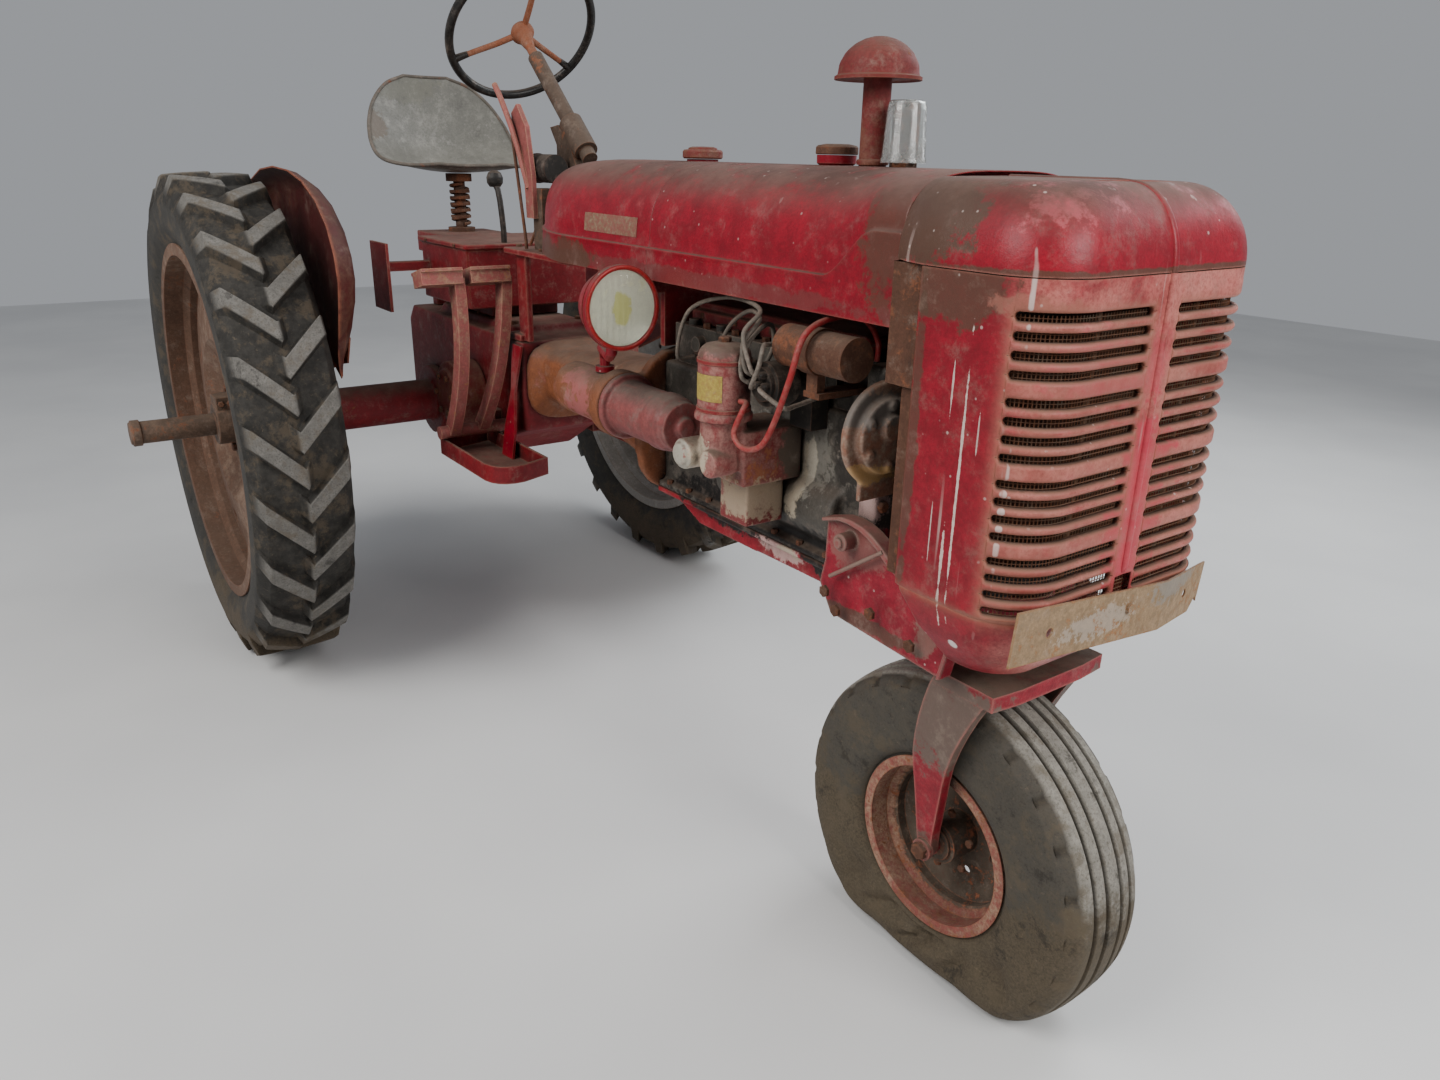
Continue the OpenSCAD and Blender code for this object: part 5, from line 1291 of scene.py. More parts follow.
    def melt(self, node: str, finish: Finish, size: float) -> bpy.types.Object:
        """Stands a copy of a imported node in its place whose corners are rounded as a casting's are: its
        surface is laid anew in small squares and each point moves to the mean of its neighbours.

        Args:
            node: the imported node.
            finish: the copy's finish.
            size: length of a square.

        Returns:
            The copy.
        """
        obj = self.copied(node)
        squares = obj.modifiers.new("squares", "REMESH")
        squares.mode, squares.voxel_size = "VOXEL", size
        round_off = obj.modifiers.new("round", "SMOOTH")
        round_off.factor, round_off.iterations = 0.5, 3
        seen = obj.evaluated_get(bpy.context.evaluated_depsgraph_get())
        first = obj.data
        obj.data = bpy.data.meshes.new_from_object(seen)
        obj.modifiers.clear()
        bpy.data.meshes.remove(first)
        obj.data.name = node + "_cast"
        smoothed(obj.data)
        log.info("%s laid in %d faces", node, len(obj.data.polygons))
        self.place(obj, finish, Body.CHASSIS, self.slot_of(node), (node,))
        return obj

    def slot_of(self, node: str) -> str:
        """The record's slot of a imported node."""
        return next(p["material_slot"] for p in self.frame["record"]["subparts"] if p["node"] == node)

    def dress(self, node: str, finish: Finish) -> None:
        """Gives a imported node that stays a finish.

        Args:
            node: the node.
            finish: its finish.
        """
        mesh = self.frame["nodes"][node].data
        mesh.materials.clear()
        mesh.materials.append(self.finish(finish))


# Studio


@dataclass(frozen=True)
class Light:
    """Square area light: where it hangs, what it faces, its side, its power and its tint."""

    name: str
    spot: Point
    aim: Point
    size: float
    watts: float
    tint: Colour

    def hang(self) -> None:
        """Adds the light, turned so that it faces its aim."""
        data = bpy.data.lights.new(self.name, "AREA")
        data.size = self.size
        data.energy = self.watts
        data.color = self.tint
        away = np.array(self.spot, float) - np.array(self.aim, float)
        away /= np.linalg.norm(away)
        side = np.cross([0, 0, 1.0], away)
        side /= np.linalg.norm(side)
        linked(self.name, data).matrix_world = standing(side, np.cross(away, side), away, self.spot)


@dataclass
class Studio:
    """Floor, soft lights and the camera at the photograph's angle."""

    eye: Point = (3.055, -1.262, 1.385)
    yaw: float = 144.06
    pitch: float = 20.63
    roll: float = -1.22
    lens: float = 25.576
    film: float = 36.0
    floor_half: float = 9.0
    floor_dark: Colour = (0.60, 0.60, 0.60)
    floor_light: Colour = (0.66, 0.66, 0.655)
    floor_roughness: float = 0.75
    sky: Colour = (0.80, 0.83, 0.88)
    sky_strength: float = 0.42
    lights: tuple[Light, ...] = (
        Light("sky_left", (0.5, 3.5, 3.6), (0.2, 0, 0.8), 3.0, 150, (0.95, 0.98, 1.0)),
        Light("sky_right", (0.6, -3.4, 3.6), (0.4, 0, 0.7), 2.6, 175, (1.0, 0.98, 0.95)),
        Light("sky_front", (4.2, 0.3, 2.9), (0.8, 0, 0.8), 1.8, 120, (1.0, 0.99, 0.97)))

    def camera(self, yard: Yard) -> None:
        """Places the camera. Its axes are the view direction, the level line turned by the roll, and
        their cross product.

        Args:
            yard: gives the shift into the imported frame.
        """
        yaw, pitch, roll = (math.radians(a) for a in (self.yaw, self.pitch, self.roll))
        ahead = np.array(
            [math.cos(pitch) * math.cos(yaw), math.cos(pitch) * math.sin(yaw), -math.sin(pitch)])
        right = np.cross(ahead, [0, 0, 1.0])
        right /= np.linalg.norm(right)
        down = np.cross(ahead, right)
        level = math.cos(roll) * right + math.sin(roll) * down
        drop = -math.sin(roll) * right + math.cos(roll) * down
        data = bpy.data.cameras.new("camera")
        data.lens = self.lens
        data.sensor_width = self.film
        data.sensor_fit = "HORIZONTAL"
        cam = linked("camera", data)
        cam.matrix_world = standing(level, -drop, -ahead, np.array(self.eye) + yard.shift)
        bpy.context.scene.camera = cam

    def floor(self) -> None:
        """Lays the grey floor, which is part of the stage and not of the tractor."""
        h = self.floor_half
        mesh = bpy.data.meshes.new("floor")
        mesh.from_pydata([(-h, -h, 0.0), (h, -h, 0.0), (-h, h, 0.0), (h, h, 0.0)], [], [(0, 1, 3, 2)])
        obj = linked("floor", mesh)
        g = Graph("floor")
        tone = g.mix(g.band(g.noise(0.9, 3), 0.3, 0.7), self.floor_dark, self.floor_light)
        g.shade(Base_Color=tone, Roughness=self.floor_roughness)
        mesh.materials.append(g.material)

    def build(self, yard: Yard) -> None:
        """Makes the floor, the world, the lights and the camera.

        Args:
            yard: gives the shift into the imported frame.
        """
        self.floor()
        world = bpy.data.worlds.new("studio")
        world.use_nodes = True
        background = world.node_tree.nodes["Background"]
        background.inputs[0].default_value = (*self.sky, 1)
        background.inputs[1].default_value = self.sky_strength
        bpy.context.scene.world = world
        for light in self.lights:
            light.hang()
        self.camera(yard)


# Nose


@dataclass
class Nose:
    """Slotted grille shell with rolled slot edges, its crown, the wire mesh and rods behind it."""

    front: float = 2.296
    half: float = 0.241
    corner: float = 0.092
    rear: float = 2.085
    fold: float = 0.800
    seam: float = 1.2548
    slot_h: float = 0.0125
    slot_low: float = 0.815
    slot_pitch: float = 0.024
    group_pitch: float = 0.107
    slot_in: float = 0.034
    slot_out: float = 0.253
    sheet: float = 0.0024
    crown_rear: float = 2.010
    crown_top: float = 0.108
    crown_draw: float = 0.082
    wire: float = 0.0008
    mesh: float = 0.0062

    @property
    def slots(self) -> list[float]:
        """Heights of the sixteen slots."""
        return [
            self.slot_low + g * self.group_pitch + r * self.slot_pitch for g in range(4) for r in range(4)]

    def plan(
        self, u: np.ndarray, inset: np.ndarray | float, step: np.ndarray | float, out: np.ndarray | float
    ) -> tuple[np.ndarray, np.ndarray]:
        """Place in plan at distance u from the middle line: flat front, round corner, straight side.

        Args:
            u: distance along the sheet, with the side's part as a share over its start.
            inset: how far the level is drawn in.
            step: how far the rear edge stands forward there.
            out: how far the point stands out along the normal.

        Returns:
            X and Y.
        """
        flat = self.half - self.corner
        arc = self.corner * math.pi / 2
        r = self.corner - 0.5 * inset
        turn = np.clip((np.abs(u) - flat) / self.corner, 0, math.pi / 2)
        side = np.maximum(np.abs(u) - flat - arc, 0) / (self.front - self.corner - self.rear)
        length = self.front - inset - r - self.rear - step
        x = self.front - inset - r + (r + out) * np.cos(turn) - side * length
        y = np.minimum(np.abs(u), flat) * (flat - 0.5 * inset) / flat + (r + out) * np.sin(turn)
        return x, np.sign(u) * y

    def columns(self) -> np.ndarray:
        """Distances from the middle at which the shell has points, dense round the slots' ends.

        Returns:
            The distances, from the right rear edge to the left one.
        """
        h = self.slot_h / 2
        turn = np.radians([0, 18, 36, 54, 72, 90])
        end = self.half - self.corner + self.corner * math.pi / 2
        side = end + (self.front - self.corner - self.rear) * np.array(
            [0.04, 0.2, 0.4, 0.6, 0.8, 0.93, 0.98, 1.0])
        right = np.concatenate(
            [
                [0.0, 0.007, 0.015, 0.02, 0.024, 0.0262], self.slot_in - h * np.cos(turn),
                np.linspace(self.slot_in, 0.149, 10)[1:], np.linspace(0.149, self.slot_out, 14)[1:],
                self.slot_out + h * np.sin(turn)[1:], [0.261, 0.2635, 0.268, 0.276, end], side])
        return np.concatenate([-right[:0:-1], right])

    def shell(self) -> Sheet:
        """Sheet of the shell. A slot's edge is z0 -+ e(u), where e is half the slot's height and falls to
        zero round its end; near an edge the sheet turns inwards by the square of the nearness.

        Returns:
            The sheet, open at the slots and worn along their edges and the lower fold.
        """
        u = self.columns()
        h = self.slot_h / 2
        beyond = np.maximum(np.maximum(self.slot_in - np.abs(u), np.abs(u) - self.slot_out), 0)
        edge = np.sqrt(np.maximum(h * h - beyond**2, 0))
        offsets = np.array([5.4, 3.4, 2.0, 0.9, 0.0]) / 1000
        low = [0.7, 0.712, 0.73, 0.748, 0.772, 0.79, 0.7965, 0.8, 0.8035]
        levels, kinds = [np.full_like(u, z) for z in low], [0] * len(low)
        for z0 in self.slots:
            levels += [z0 - edge - d for d in offsets] + [z0 - np.maximum(edge - 0.0005, 0)]
            levels += [z0 + np.maximum(edge - 0.0005, 0)] + [z0 + edge + d for d in offsets[::-1]]
            kinds += [0, 0, 0, 0, 1, 2, 3, 4, 0, 0, 0, 0]
        top = np.linspace(self.slots[-1] + 0.02, self.seam - 0.004, 5)
        levels += [np.full_like(u, z) for z in [*top, self.seam - 0.001, self.seam]]
        kinds += [0] * 7
        z, kind = np.array(levels), np.array(kinds)
        nearest = np.array(self.slots)[np.argmin(np.abs(z[..., None] - np.array(self.slots)), axis=-1)]
        gap = np.maximum(np.hypot(beyond[None, :], z - nearest) - h, 0)
        out = -0.0024 * np.clip(1 - gap / 0.0036, 0, 1) ** 2 + 0.0009 * np.clip(
            (gap - 0.002) / 0.003, 0, 1) * (gap < 0.02)
        inner = (kind == 2) | (kind == 3)
        out[inner] = np.where(edge > 0, -0.009, -0.0024)
        out -= 0.0028 * np.exp(-(((z - self.fold) / 0.0028) ** 2))
        out[-1] -= 0.006
        inset = np.interp(z, [0.7, 0.748, 0.8], [0.042, 0.014, 0.0])
        step = np.interp(z, [0.7, 0.748, 0.8, 0.803], [0.08, 0.04, 0.006, 0.0])
        x, y = self.plan(np.broadcast_to(u, z.shape), inset, step, out)
        rows, cols = z.shape
        r, c = np.meshgrid(np.arange(rows - 1), np.arange(cols - 1), indexing="ij")
        lip = np.isin(kind[r], (1, 3))
        within = np.maximum(edge[c], edge[c + 1]) > 0
        middle = (np.abs(u[c] + u[c + 1]) / 2 < 0.0195) & (z[r, c] > 0.803) & (z[r + 1, c] < 0.836)
        keep = (kind[r] != 2) & (~lip | within) & ~middle
        quads = np.stack(
            [r * cols + c, r * cols + c + 1, (r + 1) * cols + c + 1, (r + 1) * cols + c], axis=-1)[keep]
        wear = np.exp(-gap / 0.005) * 0.95 * (gap < 0.03) + 0.6 * np.exp(-np.abs(z - self.fold) / 0.006)
        return Sheet(
            np.stack([x, y, z], axis=-1).reshape(-1, 3), [tuple(q) for q in quads.tolist()],
            np.clip(wear, 0, 1).ravel())

    def rib(self) -> Sheet:
        """Half-round rib down the middle: its height over the sheet falls to zero at its foot.

        Returns:
            The rib.
        """
        foot = 0.837
        a = np.linspace(0, math.pi, 11)
        z = np.concatenate([[foot, 0.839, 0.843, 0.85], np.linspace(0.86, self.seam, 12)])
        full = np.clip(np.sqrt(np.clip((z - foot) / 0.012, 0, 1)), 0.02, 1)
        x = self.front - 0.0015 + 0.0063 * full[:, None] * np.sin(a) ** 0.8
        y = -0.0065 * np.cos(a)[None, :] * full[:, None] ** 0.3
        return grid_sheet(spread(x, y, z[:, None]))

    def crown(self) -> Sheet:
        """Dome of the crown: level t is drawn in by 82 (1 - cos t) mm and stands 108 sin t mm high, and the
        last rows close it towards the middle line.

        Returns:
            The dome.
        """
        t = np.radians(np.concatenate([np.linspace(0, 30, 8), np.linspace(36, 90, 14)]))
        draw = self.crown_draw
        inset = np.concatenate([[0.004], draw * (1 - np.cos(t)), np.full(5, draw)])[:, None]
        closing = self.crown_top + np.array([0.5, 0.9, 1.2, 1.4, 1.5]) / 1000
        height = np.concatenate([[0.0], self.crown_top * np.sin(t), closing])
        shrink = np.concatenate([np.ones(len(t) + 1), [0.8, 0.55, 0.3, 0.1, 0.0]])[:, None]
        r = np.maximum(self.corner - 0.4 * inset, 0.03)
        flat = self.half - inset - r
        side = np.linspace(0, 1, 16)[None, :]
        x_side = self.crown_rear + side * (self.front - inset - r - self.crown_rear)
        drawn = 0.030 * np.clip(1 - (x_side - self.crown_rear) / 0.1, 0, 1) ** 1.8
        turn = np.linspace(0, math.pi / 2, 14)[None, 1:]
        x = np.concatenate(
            [
                x_side, self.front - inset - r + r * np.sin(turn),
                np.broadcast_to(self.front - inset, (len(inset), 8))],
            axis=1)
        front_y = flat * np.linspace(1, 0, 9)[None, 1:]
        y = np.concatenate([self.half - inset - drawn, flat + r * np.cos(turn), front_y], axis=1) * shrink
        right = spread(x, -y, self.seam + 0.0006 + height[:, None])
        return grid_sheet(np.concatenate([right, (right * FLIP_Y)[:, -2::-1]], axis=1))

    def crown_rib(self) -> Sheet:
        """Rib over the crown, along the middle of its front curve and its top.

        Returns:
            The rib.
        """
        t = np.radians(np.linspace(0, 90, 20))
        front = self.front - self.crown_draw * (1 - np.cos(t))
        x = np.concatenate([front, np.linspace(front[-1] - 0.02, self.crown_rear + 0.006, 10)])
        z = np.concatenate(
            [self.seam + self.crown_top * np.sin(t), np.full(10, self.seam + self.crown_top + 0.0014)])
        nx = np.concatenate([np.cos(t), np.zeros(10)])
        nz = np.concatenate([np.sin(t), np.ones(10)])
        a = np.linspace(0, math.pi, 9)
        lift = (-0.001 + 0.0042 * np.sin(a) ** 0.8)[None, :]
        return grid_sheet(
            spread(x[:, None] + nx[:, None] * lift, -0.0062 * np.cos(a), z[:, None] + nz[:, None] * lift))

    def wires(self) -> Sheet:
        """Woven mesh a finger's width behind the sheet: level wires round the nose and upright ones.

        Returns:
            All wires.
        """
        u = np.linspace(-0.268, 0.268, 46)
        sheets = []
        for k, z in enumerate(np.arange(0.803, 1.208, self.mesh)):
            x, y = self.plan(u, 0.0, 0.0, -0.0112 + 0.0005 * np.cos(u / self.mesh * math.pi + k * math.pi))
            sheets.append(tube(spread(x, y, z), self.wire, 3))
        for v in np.arange(-0.266, 0.2661, self.mesh):
            x, y = self.plan(np.array([v]), 0.0, 0.0, -0.0118)
            sheets.append(tube(spread(x, y, np.array([0.80, 1.21])), self.wire, 3))
        return joined(sheets)

    def rods(self) -> Sheet:
        """Upright rods behind the wires."""
        path = [np.array([[2.270, y, 0.79], [2.271, y, 1.0], [2.270, y, 1.235]]) for y in (-0.11, 0.11)]
        return joined([tube(p, 0.0042, 8) for p in path])

    def core(self) -> Sheet:
        """Radiator core: a face folded into fine upright fins, by turns in front and behind.

        Returns:
            The face.
        """
        folds = 166
        y = np.linspace(-0.205, 0.205, folds)
        x = 2.1735 + 0.0035 * (np.arange(folds) % 2)
        return grid_sheet(spread(x, y, np.array([[0.832], [1.198]])))

    def web(self) -> Sheet:
        """Rusty side web between the hood and the nose, with a rolled front edge.

        Returns:
            The right web.
        """
        x = np.array([2.0115, 2.0115, 2.014, 2.050, 2.084, 2.0875, 2.0875])
        y = np.array([-0.2020, -0.2190, -0.2215, -0.2225, -0.2215, -0.2190, -0.2020])
        z = np.linspace(1.085, 1.2535, 8)
        return grid_sheet(spread(x, y, z[:, None]))

    def build(self, yard: Yard) -> None:
        """Adds the nose's pieces.

        Args:
            yard: takes the pieces.
        """
        yard.add("nose_web", both_sides(self.web()), RUSTY_STEEL, smooth=50)
        shell = yard.add(
            "nose_shell", self.shell(), RED_NOSE, replaces=("grille_shell",), smooth=50, weld=True)
        solid = shell.modifiers.new("sheet", "SOLIDIFY")
        solid.thickness, solid.offset = self.sheet, -1.0
        yard.add("nose_rib", self.rib(), RED_NOSE)
        yard.add("nose_crown", self.crown(), RED_CROWN, replaces=("grille_crown",), smooth=60, weld=True)
        yard.add("crown_rib", self.crown_rib(), RED_CROWN)
        yard.add("nose_wires", self.wires(), WIRE, slot="rusty_steel")
        yard.add("nose_rods", self.rods(), ROD_TAN, slot="dark_steel")
        yard.add("radiator_fins", self.core(), CORE, slot="grey_metal", smooth=None)


# Hood and tank


@dataclass
class BodyShell:
    """Hood and tank with the fold along their sides, the caps and what stands on the hood."""

    seam: float = 1.341
    rear: float = 0.752
    front: float = 2.0094
    low: float = 1.160
    crease: float = 1.218
    top: float = 1.372
    half: float = 0.206
    round: float = 0.260
    sheet: float = 0.002
    tank_x: float = 1.226
    filler_x: float = 1.634
    stack_x: float = 1.724
    jar_x: float = 1.795

    def section(
        self, half: np.ndarray, low: np.ndarray, crease: np.ndarray, top: np.ndarray, steps: int = 22
    ) -> np.ndarray:
        """Rows of the right half: skirt, rolled fold, then a dome whose half width is half cos(t)^0.62 and
        whose height over the fold is (top - crease) sin(t)^0.8.

        Args:
            half: half width at each station.
            low: height of the lower edge.
            crease: height of the fold.
            top: highest line.
            steps: points on the dome.

        Returns:
            Stations x points x 2, as Y and Z from the right lower edge over the top to the left one.
        """
        half, low, crease, top = (np.asarray(v, float)[:, None] for v in (half, low, crease, top))
        skirt = np.array([0.0, 0.25, 0.5, 0.75, 0.9])[None, :]
        y = -(half + 0.004 * (1 - skirt))
        z = low + (crease - 0.008 - low) * skirt
        roll = np.array(
            [[0.0005, -0.005], [0.0012, -0.003], [0.0008, -0.001], [-0.0012, 0.0], [-0.0038, 0.0006]])
        y = np.concatenate([y, -(half + roll[None, :, 0])], axis=1)
        z = np.concatenate([z, crease + roll[None, :, 1]], axis=1)
        t = np.radians(90) * (np.linspace(0, 1, steps + 1)[None, 1:] ** 1.25)
        y = np.concatenate([y, -(half - 0.006) * np.cos(t).clip(0) ** 0.62], axis=1)
        z = np.concatenate([z, crease + (top - crease) * np.sin(t) ** 0.8], axis=1)
        right = np.stack([y, z], axis=-1)
        return np.concatenate([right, (right * np.array([-1, 1]))[:, -2::-1]], axis=1)

    def hood(self) -> Sheet:
        """Hood, whose fold rises in an S near its front end.

        Returns:
            The sheet.
        """
        x = np.concatenate(
            [
                [self.seam + 0.0004], np.linspace(self.seam + 0.004, 1.84, 16),
                np.linspace(1.85, self.front - 0.004, 18), [self.front]])
        rise = np.clip((x - 1.845) / 0.11, 0, 1)
        crease = self.crease + 0.072 * rise**2 * (3 - 2 * rise)
        ones = np.ones_like(x)
        loop = self.section(self.half * ones, self.low * ones, crease, self.top * ones)
        lip = loop[:, :1] * np.array([0.965, 1]) + np.array([0, 0.0015])
        loop = np.concatenate([lip, loop, lip * np.array([-1, 1])], axis=1)
        return grid_sheet(spread(x[:, None], loop[..., 0], loop[..., 1]))

    def tank(self) -> Sheet:
        """Tank: a loop's width share is sin(a)^0.72 and its height share 0.42 + 0.58 sin(a)^0.8.

        Returns:
            The closed tank.
        """
        a = np.radians(np.concatenate([[9.5], np.linspace(12, 90, 26)]))
        x = self.rear + self.round * (1 - np.cos(a)) ** 1.15
        x[0] = self.rear + 0.0006
        wide, high = np.sin(a) ** 0.72, 0.42 + 0.58 * np.sin(a) ** 0.8
        x = np.concatenate([x, np.linspace(x[-1] + 0.03, self.seam - 0.003, 10), [self.seam - 0.0004]])
        wide = np.concatenate([wide, np.ones(10), [0.992]])
        high = np.concatenate([high, np.ones(10), [0.995]])
        middle = (self.low + self.top) / 2 + 0.006
        loop = self.section(
            self.half * wide, middle + (self.low - middle) * high, middle + (self.crease - middle) * high,
            middle + (self.top - middle) * high)
        return grid_sheet(spread(x[:, None], loop[..., 0], loop[..., 1]), wrap_cols=True, caps=True)

    def panel(self) -> Sheet:
        """Blank worn panel on the tank's side, bent like it.

        Returns:
            The panel.
        """
        x = np.linspace(1.086, 1.295, 12)
        ones = np.ones_like(x)
        loop = self.section(self.half * ones, self.low * ones, self.crease * ones, self.top * ones, 60)
        keep = (loop[0, :, 1] > 1.232) & (loop[0, :, 1] < 1.272) & (loop[0, :, 0] < 0)
        loop = loop[:, keep] + np.array([-0.0007, 0])
        return grid_sheet(spread(x[:, None], loop[..., 0], loop[..., 1]))

    def stacks(self, yard: Yard) -> None:
        """Adds caps, necks, the ribbed dome on the air stack, and the jar.

        Args:
            yard: takes the pieces.
        """
        neck = turned(
            [(0.0, 1.36), (0.0295, 1.362), (0.0295, 1.372), (0.034, 1.375), (0.0345, 1.3885)],
            (self.filler_x, 0, 0), "z")
        yard.add("filler_neck", neck, RED_BODY)
        cap = [
            (0, 1.4065), (0.020, 1.4065), (0.0335, 1.404), (0.0365, 1.401), (0.0368, 1.3905),
            (0.035, 1.3893), (0, 1.3893)]
        yard.add(
            "filler_lid", turned(cap, (self.filler_x, 0, 0), "z"), RUSTY_STEEL, slot="rusty_steel",
            replaces=("filler_cap",))
        neck = turned([(0, 1.345), (0.032, 1.346), (0.032, 1.3758), (0, 1.3758)], (self.tank_x, 0, 0), "z")
        yard.add("tank_neck", neck, RED_BODY)
        lid = [
            (0, 1.400), (0.022, 1.3995), (0.029, 1.397), (0.0295, 1.3945), (0.038, 1.3935), (0.0408, 1.390),
            (0.0408, 1.3795), (0.038, 1.3766), (0, 1.3766)]
        yard.add(
            "tank_lid", turned(lid, (self.tank_x, 0, 0), "z"), RUSTY_RED, slot="rusty_steel",
            replaces=("fuel_cap",))
        a = np.radians(np.linspace(0, 90, 15))
        dome = [
            (0.0, 1.508), (0.058, 1.508), (0.067, 1.5035), (0.0705, 1.5045), (0.0705, 1.508),
            (0.0665, 1.5105)]
        for k, v in enumerate(a):
            groove = 0.0006 if k % 3 == 1 else 0.0
            dome.append((0.066 * math.cos(v) - groove, 1.512 + 0.0555 * math.sin(v)))
        yard.add("air_dome", turned(dome, (self.stack_x, 0, 0), "z", 64), RUSTY_RED, slot="rusty_steel")
        collar = turned(
            [(0.023, 1.374), (0.0262, 1.374), (0.0272, 1.378), (0.0262, 1.382), (0.0235, 1.383)],
            (self.stack_x, 0, 0), "z")
        yard.add("stack_collar", collar, RUSTY_RED, slot="rusty_steel")
        jar = [
            (0.0338, 1.3785), (0.0368, 1.3785), (0.0365, 1.384), (0.0352, 1.386), (0.0305, 1.462),
            (0.0285, 1.4695), (0.025, 1.4718), (0, 1.4712), (0, 1.4692), (0.0245, 1.4692), (0.0272, 1.466),
            (0.029, 1.455), (0.0338, 1.3785)]
        yard.add(
            "jar", turned(jar, (self.jar_x, 0, 0), "z", 56), JAR_GLASS, slot="jar_glass",
            replaces=("rain_jar",))

    def build(self, yard: Yard) -> None:
        """Adds hood, tank and what stands on them.

        Args:
            yard: takes the pieces.
        """
        hood = yard.add("hood_sheet", self.hood(), RED_BODY, replaces=("hood",), smooth=55)
        solid = hood.modifiers.new("sheet", "SOLIDIFY")
        solid.thickness, solid.offset = self.sheet, -1.0
        yard.add("tank_sheet", self.tank(), RED_BODY, replaces=("fuel_tank",), smooth=55)
        yard.add("tank_panel", self.panel(), PANEL_TAN)
        self.stacks(yard)


# Wheels


@dataclass
class FrontWheel:
    """Soft front tyre with four ribs, its rim and hub dressing."""

    centre: Point = (2.062, 0.0, 0.252)
    radius: float = 0.322
    bead: float = 0.167
    groove: float = 0.0115
    steps: int = 240

    def profile(self) -> tuple[np.ndarray, np.ndarray, np.ndarray]:
        """Section from the right bead round the tread to the left one.

        Returns:
            Radius, Y and wear of each point.
        """
        wall = [
            (0.1506, 0.0672), (0.164, 0.0674), (0.1675, 0.0682), (0.1705, 0.0745), (0.178, 0.0805),
            (0.190, 0.0855), (0.205, 0.0893), (0.221, 0.0915), (0.236, 0.0925), (0.248, 0.0925),
            (0.262, 0.0912), (0.276, 0.0888), (0.288, 0.0862), (0.2925, 0.0846), (0.2945, 0.0822),
            (0.2990, 0.0806), (0.3045, 0.0765), (0.309, 0.0710)]
        ribs, edges = [], (0.0640, 0.0475, 0.0395, 0.0215, 0.0130, 0.0)
        for k in range(0, 5, 2):
            outer, inner = edges[k], edges[k + 1]
            ribs += [(y, 0.0) for y in (outer, outer - 0.0012, (outer + inner) / 2, inner + 0.0012, inner)]
            if k < 4:
                ribs += [(inner - 0.0012, 1.0), (edges[k + 2] + 0.0012, 1.0)]
        y = np.array([p[0] for p in ribs])
        deep = np.array([p[1] for p in ribs])
        soft = np.isin(np.round(y, 5), np.round([0.0640, 0.0475, 0.0395, 0.0215, 0.0130], 5)) * 0.0016
        r = self.radius - 0.0075 * (y / 0.0625) ** 2 - soft - self.groove * deep
        half = np.array(wall)
        first_r, first_y = np.concatenate([half[:, 0], r]), np.concatenate([half[:, 1], y])
        wear = np.concatenate([np.full(len(wall), 0.15), np.where(deep > 0, 0.0, 1.0)])
        return (
            np.concatenate([first_r, first_r[-2::-1]]), np.concatenate([-first_y, first_y[-2::-1]]),
            np.concatenate([wear, wear[-2::-1]]))

    def tyre(self) -> Sheet:
        """Tyre pressed flat by the floor. Outside the bead a length's share is the soft least of 1 and the
        floor's share, which is minus k times the log of the sum of exp(-1 / k) and exp(-share / k). Walls
        bulge over the flat, and folds, the waves of a sine, run from the rim to both of its ends.

        Returns:
            The closed mesh with its wear.
        """
        r, y, wear = self.profile()
        turn = np.radians(np.linspace(0, 360, self.steps, endpoint=False))[:, None]
        angle = (np.degrees(turn) + 180) % 360 - 180
        reach = self.centre[2] / np.maximum(np.cos(turn), 0.1)
        raw = (reach - self.bead) / (self.radius - self.bead)
        soft = 0.045
        share = -soft * np.log(np.exp(-1 / soft) + np.exp(-np.minimum(raw, 3.0) / soft))
        wall = np.exp(-(((r - 0.228) / 0.034) ** 2)) * (r < 0.3)
        near = np.exp(-((angle / 52.0) ** 2))
        folds = near * (
            0.5 + 0.5 * np.sin(np.radians(angle) * 13 + np.where(y > 0, 0.6, 2.4) + r * 52)) ** 3
        crease = np.exp(-(((angle - 47) / 7.0) ** 2)) + 0.9 * np.exp(-(((angle + 44) / 6.0) ** 2))
        sunk = np.exp(-((angle / 36.0) ** 2)) * np.exp(-(((r - 0.197) / 0.017) ** 2)) * (r < 0.3)
        wide = 1 - 0.07 * wall * (1 - near) - 0.26 * folds * wall - 0.18 * crease * wall - 0.20 * sunk
        ridges = 0.0008 * np.cos(np.radians(angle) * 60) * (np.abs(r - 0.262) < 0.012)
        y_all = y * wide + np.sign(y) * np.minimum(ridges, 0)
        pressed = np.where(r > self.bead, self.bead + (r - self.bead) * share, r)
        scallop = 0.0075 * near * (1 - np.exp(-((angle / 24.0) ** 2))) * (
            0.5 + 0.5 * np.cos(np.radians(angle) * 17))
        pressed = pressed - scallop * (r > 0.25)
        k = np.arange(self.steps)[:, None]
        slit = (k % 10 < 2) & (r > 0.2935) & (r < 0.3095) & (np.abs(y) > 0.068)
        pressed = pressed - 0.0045 * slit
        x = self.centre[0] + pressed * np.sin(turn)
        z = np.maximum(self.centre[2] - pressed * np.cos(turn), 0.0002)
        sheet = grid_sheet(np.stack([x, y_all, z], axis=-1), wrap_rows=True)
        sheet.wear = (np.broadcast_to(wear, x.shape) * (1 - 0.9 * slit)).ravel()
        return sheet

